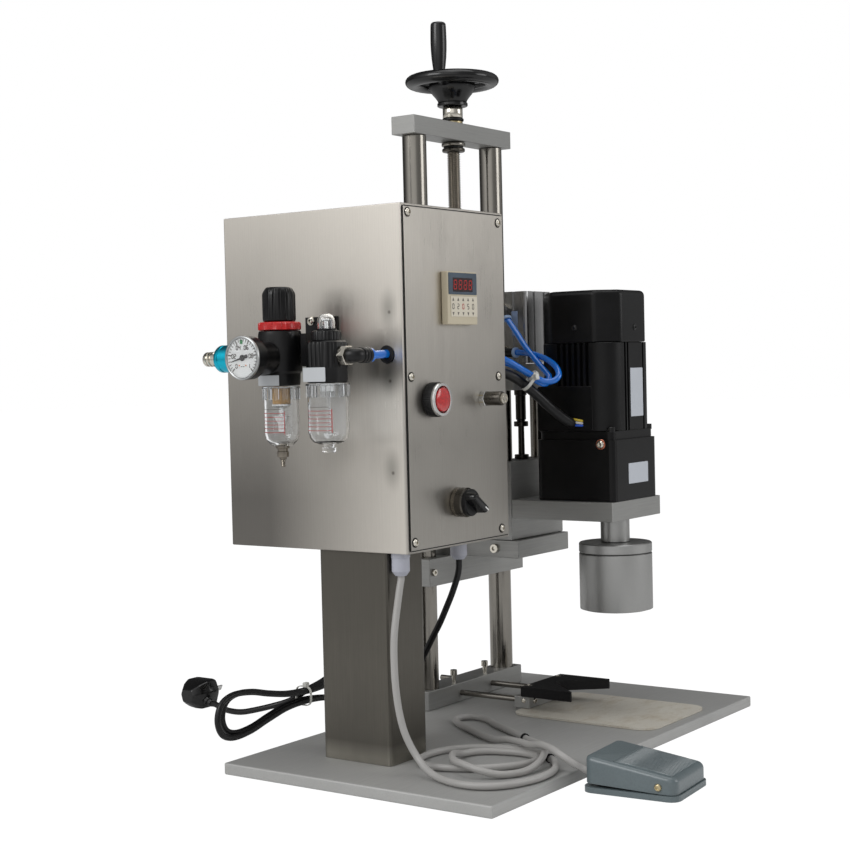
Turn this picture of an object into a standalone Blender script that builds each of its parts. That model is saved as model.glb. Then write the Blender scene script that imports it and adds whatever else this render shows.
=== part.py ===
"""Bench capping machine: an air cylinder presses a motor-driven chuck onto a bottle's cap.

Metres, +Z up. +X is the operator's right and -Y the operator's side. The origin is on the lead
screw's axis, at the underside of the base plate.
"""
from math import acos, cos, hypot, pi, radians, sin

import bmesh
import bpy
from mathutils import Vector

# Fits
SEAT = 0.0003  # between a piece and the neighbour it rests on
RUN = 0.0001  # around a shaft or rod in its hole
THIN = 0.00005  # doubles closer than this are one point

# Base plate
BASE_LEFT = -0.363
BASE_RIGHT = 0.141
BASE_FRONT = -0.270
BASE_BACK = 0.023
BASE_THICK = 0.011

# Post frame
POST_REACH = 0.0722  # from the lead screw's axis to a post's axis
POST_RADIUS = 0.0125
POST_TOP = 0.6088
BAR_REACH = 0.0905  # half the length of each cross bar
BAR_DEPTH = 0.029
TOP_BAR_THICK = 0.0187
FOOT_BAR_THICK = 0.0198

# Lead screw and handwheel
SCREW_RADIUS = 0.007
COLLAR_RADIUS = 0.0117
LOCK_NUT_RADIUS = 0.0127
LOCK_NUT_HIGH = 0.010
COLLAR_HIGH = 0.0185
WHEEL_RADIUS = 0.050
WHEEL_RIM = 0.0114
WHEEL_DISH = 0.0205  # from the collar's top to the rim's underside
HUB_RADIUS = 0.0165
GRIP_REACH = 0.038
GRIP_AZIMUTH = radians(-166)
GRIP_HIGH = 0.0515
GRIP_RADIUS = 0.0085

# Elevator
ELEVATOR_LOW = 0.1411
ELEVATOR_BAR_THICK = 0.029
ELEVATOR_BAR_DEPTH = 0.0396
PLATE_REACH = 0.0507
PLATE_FRONT = -0.1028
PLATE_THICK = 0.0183
ROD_AXIS_Y = -0.0780
GUIDE_REACH = 0.033
GUIDE_RADIUS = 0.0078
MOUNT_LOW = 0.3427
MOUNT_THICK = 0.027
MOUNT_REACH = 0.050
MOUNT_FRONT = -0.102
MOUNT_BACK = -0.052
CYLINDER_SIDE = 0.050
CYLINDER_HIGH = 0.0745
CYLINDER_BORE = 0.016
CYLINDER_CAP = 0.005
GROOVE = 0.004

# Press slide
BLOCK_REACH = 0.0509
BLOCK_FRONT = -0.0962
BLOCK_DEPTH = 0.036
BLOCK_HIGH = 0.0802
STUD_RADIUS = 0.004
STUD_SUNK = 0.018
NUT_RADIUS = 0.0075
NUT_HIGH = 0.005
STUD_LONG = 0.0410  # from the slide block's top to the piston rod's end
PISTON_ROD_RADIUS = 0.0072
PISTON_HIGH = 0.012
MOTOR_PLATE_FRONT = -0.2135
MOTOR_PLATE_THICK = 0.0192
MOTOR_PLATE_RISE = 0.0226  # above the slide block's underside

# Gear motor
MOTOR_SIDE = 0.090
MOTOR_Y = -0.1686
GEARBOX_HIGH = 0.061
GEARBOX_CORNER = 0.006
FLANGE_HIGH = 0.0085
FLANGE_INSET = 0.0025
MOTOR_BODY_HIGH = 0.088
MOTOR_CORNER = 0.024
FAN_COVER_HIGH = 0.052
FAN_COVER_CHAMFER = 0.020
FAN_COVER_WALL = 0.0015

# Spindle and chuck
SPINDLE_Y = -0.188
SPINDLE_COLLAR_RADIUS = 0.0147
SPINDLE_RADIUS = 0.0075
SPINDLE_IN_GEARBOX = 0.025
CHUCK_RADIUS = 0.037
CHUCK_HIGH = 0.0686
CHUCK_LOW = 0.118
CHUCK_MOUTH = 0.026
CHUCK_SEAT = 0.019
CHUCK_DEEP = 0.042
CHUCK_SOCKET = 0.020
CHUCK_GROOVE = 0.0015

# Bottle stop
PAD_REACH = 0.063
PAD_FRONT = -0.258
PAD_BACK = -0.0955
PAD_CORNER = 0.018
PAD_THICK = 0.002
STOP_ROD_REACH = 0.030
STOP_ROD_RADIUS = 0.0028
STOP_ROD_Z = 0.0205
STOP_ROD_BACK = 0.053
CARRIER_REACH = 0.039
CARRIER_FRONT = -0.105
CARRIER_BACK = -0.087
CARRIER_TOP = 0.0257
V_REACH = 0.0405
V_BACK = -0.0955
V_FRONT = -0.1555
V_THICK = 0.010
V_TIP = 0.0022
V_APEX_Y = -0.1100
V_APEX_RADIUS = 0.008

# Column and cabinet
COLUMN_LEFT = -0.2995
COLUMN_RIGHT = -0.2427
COLUMN_FRONT = -0.121
COLUMN_BACK = -0.0435
COLUMN_WALL = 0.002
COLUMN_CORNER = 0.004
CAB_LEFT = -0.3035
CAB_RIGHT = -0.1385
CAB_FRONT = -0.1485
CAB_BACK = 0.059
CAB_LOW = 0.2038
CAB_HIGH = 0.3098
CAB_WALL = 0.0015
CAB_LIP = 0.012
PANEL_INSET = 0.003
PANEL_THICK = 0.0015

# Panel controls: places are (x, z) on the panel
TIMER_AT = (-0.2222, 0.4309)
TIMER_SIDE = 0.048
TIMER_PROUD = 0.007
TIMER_BODY_SIDE = 0.044
TIMER_BODY_DEEP = 0.055
BUTTON_AT = (-0.2645, 0.3395)
BUTTON_RADIUS = 0.0157
BUTTON_PROUD = 0.012
LENS_RADIUS = 0.0104
LENS_PROUD = 0.0015
LENS_STEM = 0.0045
LENS_TRAVEL = 0.003
SELECTOR_AT = (-0.2266, 0.2443)
SELECTOR_RADIUS = 0.0136
SELECTOR_PROUD = 0.0115
KNOB_RADIUS = 0.0125
KNOB_DISC = 0.005
LEVER_HIGH = 0.0115
LEVER_WIDE = 0.0085
LEVER_OVERHANG = 0.0035
LEVER_TURN = radians(-35)
SWITCH_STEM = 0.011
SWITCH_DEEP = 0.030
THROTTLE_AT = (-0.182, 0.338)
THROTTLE_NUT_RADIUS = 0.0068
THROTTLE_NUT_PROUD = 0.0045
THROTTLE_STEM_RADIUS = 0.0045
THROTTLE_DEEP = 0.022
THROTTLE_KNOB_RADIUS = 0.0066
THROTTLE_KNOB_LONG = 0.020
VALVE_STEM_RADIUS = 0.002

# Air preparation unit, on the cabinet's left side
AIR_X = -0.350
AIR_Z = 0.3805
FILTER_Y = -0.0468
OILER_Y = -0.1000
AIR_BODY_RADIUS = 0.0195
FILTER_LOW = 0.355
FILTER_TOP = 0.4042
RING_RADIUS = 0.0192
RING_HIGH = 0.0075
REGULATOR_RADIUS = 0.0148
REGULATOR_HIGH = 0.0305
REGULATOR_STEM = 0.006
STEM_DEEP = 0.005
FILTER_BOWL_RADIUS = 0.0157
OILER_BOWL_RADIUS = 0.0187
BOWL_HIGH = 0.053
BOWL_WALL = 0.0015
DRAIN_RADIUS = 0.0048
DRAIN_LONG = 0.020
OILER_RADIUS = 0.0185
OILER_LOW = 0.357
OILER_TOP = 0.394
OILER_CAP_RADIUS = 0.0132
OILER_CAP_HIGH = 0.010
OILER_DOME_RADIUS = 0.0077
OILER_DOME_HIGH = 0.014
GAUGE_RADIUS = 0.0193
GAUGE_FACE_X = -0.4005
GAUGE_DEEP = 0.012
GAUGE_STEM_RADIUS = 0.005
NEEDLE_LONG = 0.0145
NEEDLE_TURN = radians(255)  # clockwise from the top, where it stands with no pressure
NEEDLE_THICK = 0.0006
SHUTOFF_RADIUS = 0.0070
SLEEVE_RADIUS = 0.0125
SLEEVE_FROM = 0.0015
SLEEVE_LONG = 0.0215
SHUTOFF_END = 0.0415
ELBOW_Y = -0.1310
ELBOW_NUT_RADIUS = 0.0086
ELBOW_RADIUS = 0.0060
ELBOW_STEM = 0.0050
ELBOW_LONG = 0.026
AIR_HOLE_RADIUS = 0.0080
BRACKET_THICK = 0.0055
BRACKET_LOW = 0.372
BRACKET_TOP = 0.4165
BRACKET_FRONT = -0.0770
BRACKET_BACK = -0.0410
ARM_TOP = 0.4010
SOLENOID_SIZE = (0.030, 0.070, 0.050)
SOLENOID_AT = (-0.160, 0.000, 0.400)

# Foot pedal, in its own axes: +Y is its back
PEDAL_AT = (-0.2115, -0.3300, 0)
PEDAL_TURN = radians(4.8)
PEDAL_WIDE = 0.074
PEDAL_LONG = 0.088
PEDAL_CORNER = 0.009
TRAY_THICK = 0.005
TREAD_INSET = 0.0018
TREAD_GAP = 0.0028
TREAD_BACK_TOP = 0.032
TREAD_FRONT_TOP = 0.0195
TREAD_WALL = 0.0025
PIVOT_Y = -0.0290
PIVOT_Z = 0.0115
PIVOT_RADIUS = 0.0025
EAR_THICK = 0.004
CLAMP_X = -0.0127
CLAMP_Y = 0.0376
CLAMP_Z = 0.0125
CLAMP_LONG = 0.006

# Cords: diameters, and the points that each one follows
PEDAL_CORD = 0.0064
MAINS_CORD = 0.0062
AIR_HOSE = 0.0060
MOTOR_CORD = 0.0100
GLAND_RADIUS = 0.0081
GLAND_FLANGE = 0.0005
PEDAL_GLAND = (-0.2900, -0.1300)
MAINS_GLAND = (-0.1650, -0.1075)
GLAND_LONG = 0.0205
GLAND_STEM = 0.006
HANK_LOW = 0.0006
PEDAL_ROUTE = [
    (-0.2900, -0.1300, 0.1830), (-0.2902, -0.1300, 0.1790), (-0.2940, -0.1305, 0.1690),
    (-0.3032, -0.1320, 0.1417),
    (-0.3071, -0.1330, 0.1252), (-0.3095, -0.1345, 0.1085), (-0.3113, -0.1365, 0.0915),
    (-0.3123, -0.1390, 0.0756), (-0.3128, -0.1420, 0.0620), (-0.3125, -0.1460, 0.0485),
    (-0.3113, -0.1520, 0.0356), (-0.3116, -0.1605, 0.0252), (-0.3156, -0.1720, 0.0183),
    (-0.3216, -0.1887, 0.0148), (-0.3282, -0.2083, 0.0146), (-0.3285, -0.2273, 0.0146),
    (-0.3215, -0.2429, 0.0146), (-0.3093, -0.2530, 0.0146), (-0.2924, -0.2597, 0.0146),
    (-0.2747, -0.2629, 0.0146), (-0.2551, -0.2616, 0.0146), (-0.2368, -0.2550, 0.0146),
    (-0.2198, -0.2428, 0.0146), (-0.2055, -0.2251, 0.0146), (-0.1986, -0.2043, 0.0146),
    (-0.1994, -0.1830, 0.0146), (-0.2057, -0.1638, 0.0146), (-0.2154, -0.1485, 0.0146),
    (-0.2274, -0.1375, 0.0146), (-0.2417, -0.1316, 0.0146), (-0.2572, -0.1303, 0.0146),
    (-0.2738, -0.1346, 0.0146), (-0.2862, -0.1455, 0.0146), (-0.2906, -0.1601, 0.0146),
    (-0.2868, -0.1776, 0.0146), (-0.2771, -0.1954, 0.0146), (-0.2646, -0.2102, 0.0146),
    (-0.2502, -0.2215, 0.0146), (-0.2367, -0.2274, 0.0146), (-0.2222, -0.2271, 0.0146),
    (-0.2116, -0.2183, 0.0146), (-0.2085, -0.2040, 0.0146), (-0.2107, -0.1882, 0.0146),
    (-0.2160, -0.1733, 0.0146), (-0.2255, -0.1620, 0.0146), (-0.2392, -0.1576, 0.0152),
    (-0.2542, -0.1599, 0.0185), (-0.2702, -0.1674, 0.0214), (-0.2849, -0.1792, 0.0214),
    (-0.2936, -0.1956, 0.0214), (-0.2947, -0.2128, 0.0186), (-0.2875, -0.2273, 0.0153),
    (-0.2735, -0.2374, 0.0146), (-0.2578, -0.2414, 0.0154), (-0.2415, -0.2414, 0.0186),
    (-0.2258, -0.2364, 0.0214), (-0.2092, -0.2277, 0.0214), (-0.1932, -0.2147, 0.0206),
    (-0.1765, -0.1977, 0.0172), (-0.1604, -0.1783, 0.0148), (-0.1460, -0.1578, 0.0146),
    (-0.1332, -0.1368, 0.0146), (-0.1198, -0.1155, 0.0146), (-0.1085, -0.1015, 0.0146),
    (-0.1018, -0.0885, 0.0146), (-0.1022, -0.0758, 0.0146), (-0.1104, -0.0676, 0.0146),
    (-0.1216, -0.0686, 0.0146), (-0.1310, -0.0770, 0.0146), (-0.1407, -0.0900, 0.0146),
    (-0.1503, -0.1046, 0.0146), (-0.1598, -0.1195, 0.0146), (-0.1683, -0.1333, 0.0146),
    (-0.1784, -0.1538, 0.0154), (-0.1885, -0.1741, 0.0196), (-0.2000, -0.1943, 0.0222),
    (-0.2115, -0.2133, 0.0240), (-0.2219, -0.2310, 0.0282), (-0.2307, -0.2475, 0.0284),
    (-0.2352, -0.2610, 0.0244), (-0.2332, -0.2715, 0.0185), (-0.2298, -0.2772, 0.0150),
    (-0.2281, -0.2836, 0.0125),
    (-0.2273, -0.2936, 0.0125),
]
MAINS_ROUTE = [
    (-0.1650, -0.1075, 0.1790), (-0.1650, -0.1070, 0.1720), (-0.1654, -0.1050, 0.1640),
    (-0.1665, -0.0993, 0.1486), (-0.1675, -0.0936, 0.1359), (-0.1685, -0.0862, 0.1205),
    (-0.1692, -0.0787, 0.1075), (-0.1695, -0.0715, 0.0952), (-0.1690, -0.0620, 0.0800),
    (-0.1670, -0.0500, 0.0620), (-0.1640, -0.0360, 0.0445), (-0.1600, -0.0215, 0.0295),
    (-0.1555, -0.0070, 0.0200), (-0.1510, 0.0080, 0.0156), (-0.1470, 0.0240, 0.0149),
    (-0.1435, 0.0400, 0.0120), (-0.1408, 0.0560, 0.0070), (-0.1390, 0.0710, 0.0050),
    (-0.1383, 0.0830, 0.0085), (-0.1380, 0.0920, 0.0110), (-0.1380, 0.0977, 0.0110),
]
TAIL_ROUTE = [
    (-0.1550, 0.1224, 0.0158), (-0.1550, 0.1264, 0.0158), (-0.1560, 0.1320, 0.0152),
    (-0.1584, 0.1430, 0.0132),
    (-0.1626, 0.1600, 0.0086), (-0.1654, 0.1780, 0.0048), (-0.1654, 0.1950, 0.0043),
    (-0.1636, 0.2080, 0.0057), (-0.1620, 0.2190, 0.0083), (-0.1620, 0.2250, 0.0083),
]
HANK_LEFT = -0.284
HANK_RIGHT = -0.004
HANK_Y = 0.110
HANK_DEPTH = 0.024
HANK_HIGH = 0.0505
HANK_WAIST = 0.028
HANK_SHOULDER = 0.072
HANK_BEND = 0.025
PLUG_AT = (-0.1620, 0.2453, 0.0170)
PLUG_LONG = 0.040
PLUG_SIDE = 0.0325
PIN_LONG = 0.014
UPPER_HOSE_ROUTE = [
    (-0.0400, -0.0879, 0.4211), (-0.0415, -0.0892, 0.4170), (-0.0450, -0.0973, 0.4094),
    (-0.0500, -0.1088, 0.3977), (-0.0545, -0.1198, 0.3862), (-0.0570, -0.1296, 0.3767),
    (-0.0585, -0.1387, 0.3675), (-0.0600, -0.1457, 0.3613), (-0.0625, -0.1516, 0.3559),
    (-0.0670, -0.1518, 0.3506), (-0.0730, -0.1518, 0.3492), (-0.0782, -0.1486, 0.3512),
    (-0.0827, -0.1453, 0.3552), (-0.0866, -0.1422, 0.3594), (-0.0920, -0.1373, 0.3639),
    (-0.1009, -0.1308, 0.3690), (-0.1100, -0.1245, 0.3722), (-0.1186, -0.1175, 0.3726),
    (-0.1275, -0.1120, 0.3720), (-0.1385, -0.1105, 0.3720), (-0.1470, -0.1105, 0.3720),
]
LOWER_HOSE_ROUTE = [
    (-0.0400, -0.0943, 0.3813), (-0.0430, -0.1057, 0.3811), (-0.0465, -0.1164, 0.3803),
    (-0.0490, -0.1264, 0.3787), (-0.0532, -0.1373, 0.3761), (-0.0582, -0.1470, 0.3732),
    (-0.0626, -0.1562, 0.3690), (-0.0675, -0.1641, 0.3636), (-0.0728, -0.1687, 0.3576),
    (-0.0776, -0.1676, 0.3532), (-0.0812, -0.1632, 0.3516), (-0.0844, -0.1574, 0.3524),
    (-0.0876, -0.1520, 0.3554), (-0.0915, -0.1471, 0.3594), (-0.0975, -0.1419, 0.3641),
    (-0.1070, -0.1357, 0.3707), (-0.1146, -0.1300, 0.3754), (-0.1215, -0.1236, 0.3794),
    (-0.1290, -0.1190, 0.3815), (-0.1385, -0.1177, 0.3820), (-0.1470, -0.1177, 0.3820),
]
MOTOR_CORD_ROUTE = [
    (-0.0448, -0.1675, 0.3096), (-0.0488, -0.1675, 0.3096), (-0.0565, -0.1625, 0.3150),
    (-0.0645, -0.1536, 0.3250), (-0.0740, -0.1464, 0.3360), (-0.0860, -0.1398, 0.3468),
    (-0.0980, -0.1352, 0.3548), (-0.1100, -0.1320, 0.3598), (-0.1220, -0.1305, 0.3616),
    (-0.1385, -0.1303, 0.3620), (-0.1470, -0.1303, 0.3620),
]
HOSE_HOLE_RADIUS = 0.0036
MOTOR_HOLE_RADIUS = 0.0056

# Colours
STEEL = (0.47, 0.45, 0.42)
ALUMINIUM = (0.55, 0.55, 0.54)
CHROME = (0.72, 0.71, 0.70)
BLACK = (0.02, 0.02, 0.02)
CLEAR = (0.85, 0.86, 0.88)
BLUE = (0.01, 0.12, 0.55)

# Heights that the dimensions above settle
BASE_TOP = BASE_THICK
FOOT_BAR_LOW = BASE_TOP + SEAT
FOOT_BAR_TOP = FOOT_BAR_LOW + FOOT_BAR_THICK
TOP_BAR_LOW = POST_TOP + SEAT
TOP_BAR_TOP = TOP_BAR_LOW + TOP_BAR_THICK
COLLAR_TOP = TOP_BAR_TOP + SEAT + COLLAR_HIGH
RIM_LOW = COLLAR_TOP + WHEEL_DISH
RIM_TOP = RIM_LOW + WHEEL_RIM
ELEVATOR_TOP = ELEVATOR_LOW + ELEVATOR_BAR_THICK
PLATE_LOW = ELEVATOR_TOP + SEAT
PLATE_TOP = PLATE_LOW + PLATE_THICK
BLOCK_LOW = PLATE_TOP + SEAT
BLOCK_TOP = BLOCK_LOW + BLOCK_HIGH
BLOCK_BACK = BLOCK_FRONT + BLOCK_DEPTH
MOUNT_TOP = MOUNT_LOW + MOUNT_THICK
CYLINDER_LOW = MOUNT_TOP + SEAT
CYLINDER_TOP = CYLINDER_LOW + CYLINDER_HIGH
CYLINDER_ROOF = CYLINDER_TOP - CYLINDER_CAP
ROD_END = BLOCK_TOP + STUD_LONG
MOTOR_PLATE_LOW = BLOCK_LOW + MOTOR_PLATE_RISE
MOTOR_PLATE_TOP = MOTOR_PLATE_LOW + MOTOR_PLATE_THICK
GEARBOX_LOW = MOTOR_PLATE_TOP + SEAT
GEARBOX_TOP = GEARBOX_LOW + GEARBOX_HIGH
FLANGE_TOP = GEARBOX_TOP + FLANGE_HIGH
MOTOR_LOW = FLANGE_TOP + SEAT
MOTOR_TOP = MOTOR_LOW + MOTOR_BODY_HIGH
FAN_COVER_LOW = MOTOR_TOP + SEAT
FAN_COVER_TOP = FAN_COVER_LOW + FAN_COVER_HIGH
CHUCK_TOP = CHUCK_LOW + CHUCK_HIGH
PAD_LOW = BASE_TOP + SEAT
V_LOW = CARRIER_TOP + SEAT
CARRIER_LOW = PAD_LOW + PAD_THICK + SEAT
COLUMN_LOW = BASE_TOP + SEAT
COLUMN_TOP = CAB_LOW - SEAT
CAB_TOP = CAB_LOW + CAB_HIGH
PANEL_BACK = CAB_FRONT - SEAT
PANEL_FRONT = PANEL_BACK - PANEL_THICK
RING_LOW = FILTER_TOP + SEAT
RING_TOP = RING_LOW + RING_HIGH
REGULATOR_LOW = RING_TOP + SEAT
GRIP_LOW = RIM_TOP + SEAT


# ---------------------------------------------------------------- modelling helpers

def clear_scene():
    """Starts from an empty scene."""
    for obj in list(bpy.data.objects):
        bpy.data.objects.remove(obj, do_unlink=True)


def new_collection(name, hidden=False):
    """A collection of the scene; a hidden one holds the cutters."""
    collection = bpy.data.collections.new(name)
    collection.hide_render = hidden
    bpy.context.scene.collection.children.link(collection)
    return collection


def material(name, colour, roughness, metallic=0.0, alpha=1.0):
    """A Principled material in the sub-part's own colour."""
    made = bpy.data.materials.new(name)
    made.use_nodes = True
    made.diffuse_color = (*colour, alpha)
    shader = made.node_tree.nodes["Principled BSDF"]
    shader.inputs["Base Color"].default_value = (*colour, 1)
    shader.inputs["Roughness"].default_value = roughness
    shader.inputs["Metallic"].default_value = metallic
    shader.inputs["Alpha"].default_value = alpha
    return made


def pivot(name, at, parent=None, turn=0.0):
    """An empty on a joint's axis. Its key "at" keeps its place in the world."""
    empty = bpy.data.objects.new(name, None)
    empty["at"] = at
    empty.location = Vector(at) - (Vector(parent["at"]) if parent else Vector())
    empty.rotation_euler = (0, 0, turn)
    empty.parent = parent
    PARTS.objects.link(empty)
    return empty


def put(obj, finish, at, parent=None):
    """Names the piece's finish and places it, under its joint's empty where it moves."""
    obj.data.materials.clear()
    obj.data.materials.append(material(obj.name, *finish))
    obj.location = Vector(at) - (Vector(parent["at"]) if parent else Vector())
    obj.parent = parent
    PARTS.objects.link(obj)
    return obj


def soften(obj, width, segments=2):
    """Rounded edges, on everything sharper than 30 degrees."""
    bevel = obj.modifiers.new("Edges", "BEVEL")
    bevel.width = width
    bevel.segments = segments
    bevel.limit_method = "ANGLE"
    bevel.harden_normals = False
    return obj


def box_mesh(name, size):
    """A box around the origin."""
    mesh = bpy.data.meshes.new(name)
    bm = bmesh.new()
    bmesh.ops.create_cube(bm, size=1)
    bmesh.ops.scale(bm, vec=size, verts=bm.verts)
    bm.to_mesh(mesh)
    bm.free()
    return mesh


def block(name, low, high, finish, edge=0.0, parent=None):
    """A box from its low corner to its high one, with softened edges."""
    low, high = Vector(low), Vector(high)
    obj = bpy.data.objects.new(name, box_mesh(name, high - low))
    put(obj, finish, (low + high) / 2, parent)
    return soften(obj, edge) if edge else obj


def rounded(points, radius, steps=4):
    """The outline through these corners, each rounded by an arc of that radius, or by its own."""
    outline = []
    count = len(points)
    for i, corner in enumerate(points):
        corner = Vector(corner[:2])
        before = (Vector(points[i - 1][:2]) - corner).normalized()
        after = (Vector(points[(i + 1) % count][:2]) - corner).normalized()
        bend = radius[i] if isinstance(radius, (list, tuple)) else radius
        if bend <= 0:
            outline.append(tuple(corner))
            continue
        half = acos(max(-1.0, min(1.0, before.dot(after)))) / 2
        centre = corner + (before + after).normalized() * bend / sin(half)
        start = corner + before * bend * cos(half) / sin(half) - centre
        end = corner + after * bend * cos(half) / sin(half) - centre
        swing = start.angle_signed(end)
        for step in range(steps + 1):
            turn = -swing * step / steps
            outline.append((
                centre.x + start.x * cos(turn) - start.y * sin(turn),
                centre.y + start.x * sin(turn) + start.y * cos(turn),
            ))
    return outline


def rectangle(wide, deep, x=0.0, y=0.0):
    """The four corners of a rectangle around (x, y)."""
    return [
        (x - wide / 2, y - deep / 2), (x + wide / 2, y - deep / 2),
        (x + wide / 2, y + deep / 2), (x - wide / 2, y + deep / 2),
    ]


def curve_mesh(name, curve):
    """The mesh that a curve makes, with its caps welded on."""
    holder = bpy.data.objects.new(name + "_curve", curve)
    bpy.context.scene.collection.objects.link(holder)
    bpy.context.view_layer.update()
    graph = bpy.context.evaluated_depsgraph_get()
    mesh = bpy.data.meshes.new_from_object(holder.evaluated_get(graph))
    mesh.name = name
    bpy.data.objects.remove(holder, do_unlink=True)
    bm = bmesh.new()
    bm.from_mesh(mesh)
    bmesh.ops.remove_doubles(bm, verts=bm.verts, dist=THIN)
    bmesh.ops.recalc_face_normals(bm, faces=bm.faces)
    bm.to_mesh(mesh)
    bm.free()
    return mesh


def slab_mesh(name, outlines, thick):
    """A plate of that thickness with this outline, and holes where there are more outlines."""
    curve = bpy.data.curves.new(name, "CURVE")
    curve.dimensions = "2D"
    curve.fill_mode = "BOTH"
    curve.extrude = thick / 2
    for outline in outlines:
        spline = curve.splines.new("POLY")
        spline.points.add(len(outline) - 1)
        for point, (x, y) in zip(spline.points, outline):
            point.co = (x, y, 0, 1)
        spline.use_cyclic_u = True
    return curve_mesh(name, curve)


def slab(name, outlines, low, high, finish, edge=0.0, parent=None, at=(0, 0)):
    """A plate lying between two heights, its outline given around at."""
    obj = bpy.data.objects.new(name, slab_mesh(name, outlines, high - low))
    put(obj, finish, (*at, (low + high) / 2), parent)
    return soften(obj, edge) if edge else obj


TURNS = {
    "+Z": (0, 0, 0), "-Y": (pi / 2, 0, 0), "+Y": (-pi / 2, 0, 0),
    "-X": (0, -pi / 2, 0), "+X": (0, pi / 2, 0),
}


def turned_object(name, profile, axis, steps):
    """A turned piece: the profile (radius, height) runs down its outer side, top to bottom."""
    mesh = bpy.data.meshes.new(name)
    edges = [(i, i + 1) for i in range(len(profile) - 1)]
    if profile[0][0] > THIN and profile[-1][0] > THIN:
        edges.append((len(profile) - 1, 0))
    mesh.from_pydata([(r, 0, z) for r, z in profile], edges, [])
    obj = bpy.data.objects.new(name, mesh)
    obj.rotation_euler = TURNS[axis]
    screw = obj.modifiers.new("Turn", "SCREW")
    screw.steps = screw.render_steps = steps
    screw.use_merge_vertices = True
    screw.merge_threshold = THIN
    screw.use_smooth_shade = True
    return obj


def turned(name, profile, finish, at, axis="+Z", steps=32, parent=None):
    """A turned piece with its own finish, placed on its axis."""
    return put(turned_object(name, profile, axis, steps), finish, at, parent)


def rod_profile(radius, low, high, edge=0.0):
    """The profile of a plain rod, with its end edges chamfered."""
    if not edge:
        return [(0, high), (radius, high), (radius, low), (0, low)]
    return [
        (0, high), (radius - edge, high), (radius, high - edge),
        (radius, low + edge), (radius - edge, low), (0, low),
    ]


def as_cutter(obj, at=None):
    """Keeps the object among the cutters, out of the render."""
    if at is not None:
        obj.location = at
    obj.display_type = "WIRE"
    obj.hide_render = True
    CUTTERS.objects.link(obj)
    return obj


def box_cutter(name, low, high):
    low, high = Vector(low), Vector(high)
    return as_cutter(bpy.data.objects.new(name, box_mesh(name, high - low)), (low + high) / 2)


def round_cutter(name, radius, at, low, high, axis="+Z", steps=32):
    return as_cutter(turned_object(name, rod_profile(radius, low, high), axis, steps), at)


def boolean(obj, other, operation):
    modifier = obj.modifiers.new(operation.title() + " " + other.name, "BOOLEAN")
    modifier.operation = operation
    modifier.solver = "EXACT"
    modifier.object = other
    return obj


def cut(obj, *cutters):
    """Takes the cutters' shapes out of the object."""
    for cutter in cutters:
        boolean(obj, cutter, "DIFFERENCE")
    return obj


def join(obj, *others):
    """Makes the others, which are among the cutters, part of the object."""
    for other in others:
        boolean(obj, other, "UNION")
    return obj


def smooth_route(route, spacing):
    """Points at an even spacing along a smooth curve through the route's own points."""
    points = [Vector(p) for p in route]
    ends = [2 * points[0] - points[1]] + points + [2 * points[-1] - points[-2]]
    fine = []
    for i in range(1, len(ends) - 2):
        a, b, c, d = ends[i - 1:i + 3]
        for step in range(12):
            t = step / 12
            fine.append(0.5 * (
                2 * b + (c - a) * t + (2 * a - 5 * b + 4 * c - d) * t ** 2
                + (3 * b - a - 3 * c + d) * t ** 3
            ))
    fine.append(points[-1])
    along = [0.0]
    for before, after in zip(fine, fine[1:]):
        along.append(along[-1] + (after - before).length)
    count = max(4, round(along[-1] / spacing))
    even, i = [], 0
    for step in range(count + 1):
        goal = along[-1] * step / count
        while i < len(fine) - 2 and along[i + 1] < goal:
            i += 1
        share = (goal - along[i]) / max(along[i + 1] - along[i], 1e-9)
        even.append(fine[i].lerp(fine[i + 1], min(share, 1)))
    return even


def cord(name, route, diameter, finish, spacing=2.6):
    """A cord: a tube along the smooth curve through its route's points."""
    curve = bpy.data.curves.new(name, "CURVE")
    curve.dimensions = "3D"
    curve.bevel_depth = diameter / 2
    curve.bevel_resolution = 3
    curve.use_fill_caps = True
    spline = curve.splines.new("POLY")
    points = smooth_route(route, spacing * diameter)
    lead = 0.4 * diameter
    first, last = Vector(route[0]), Vector(route[-1])
    points.insert(1, first + (Vector(route[1]) - first).normalized() * lead)
    points.insert(-1, last + (Vector(route[-2]) - last).normalized() * lead)
    spline.points.add(len(points) - 1)
    for point, place in zip(spline.points, points):
        point.co = (*place, 1)
    return put(bpy.data.objects.new(name, curve), finish, (0, 0, 0))


# ---------------------------------------------------------------- base and post frame

def make_base():
    """The base plate and the rubber pad on it."""
    block(
        "base_plate", (BASE_LEFT, BASE_FRONT, 0), (BASE_RIGHT, BASE_BACK, BASE_TOP),
        (STEEL, 0.4, 1.0), edge=0.0015,
    )
    outline = rounded(
        rectangle(2 * PAD_REACH, PAD_BACK - PAD_FRONT, 0, (PAD_FRONT + PAD_BACK) / 2), PAD_CORNER, 6
    )
    slab("bottle_pad", [outline], PAD_LOW, PAD_LOW + PAD_THICK, ((0.50, 0.45, 0.36), 0.7))


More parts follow.
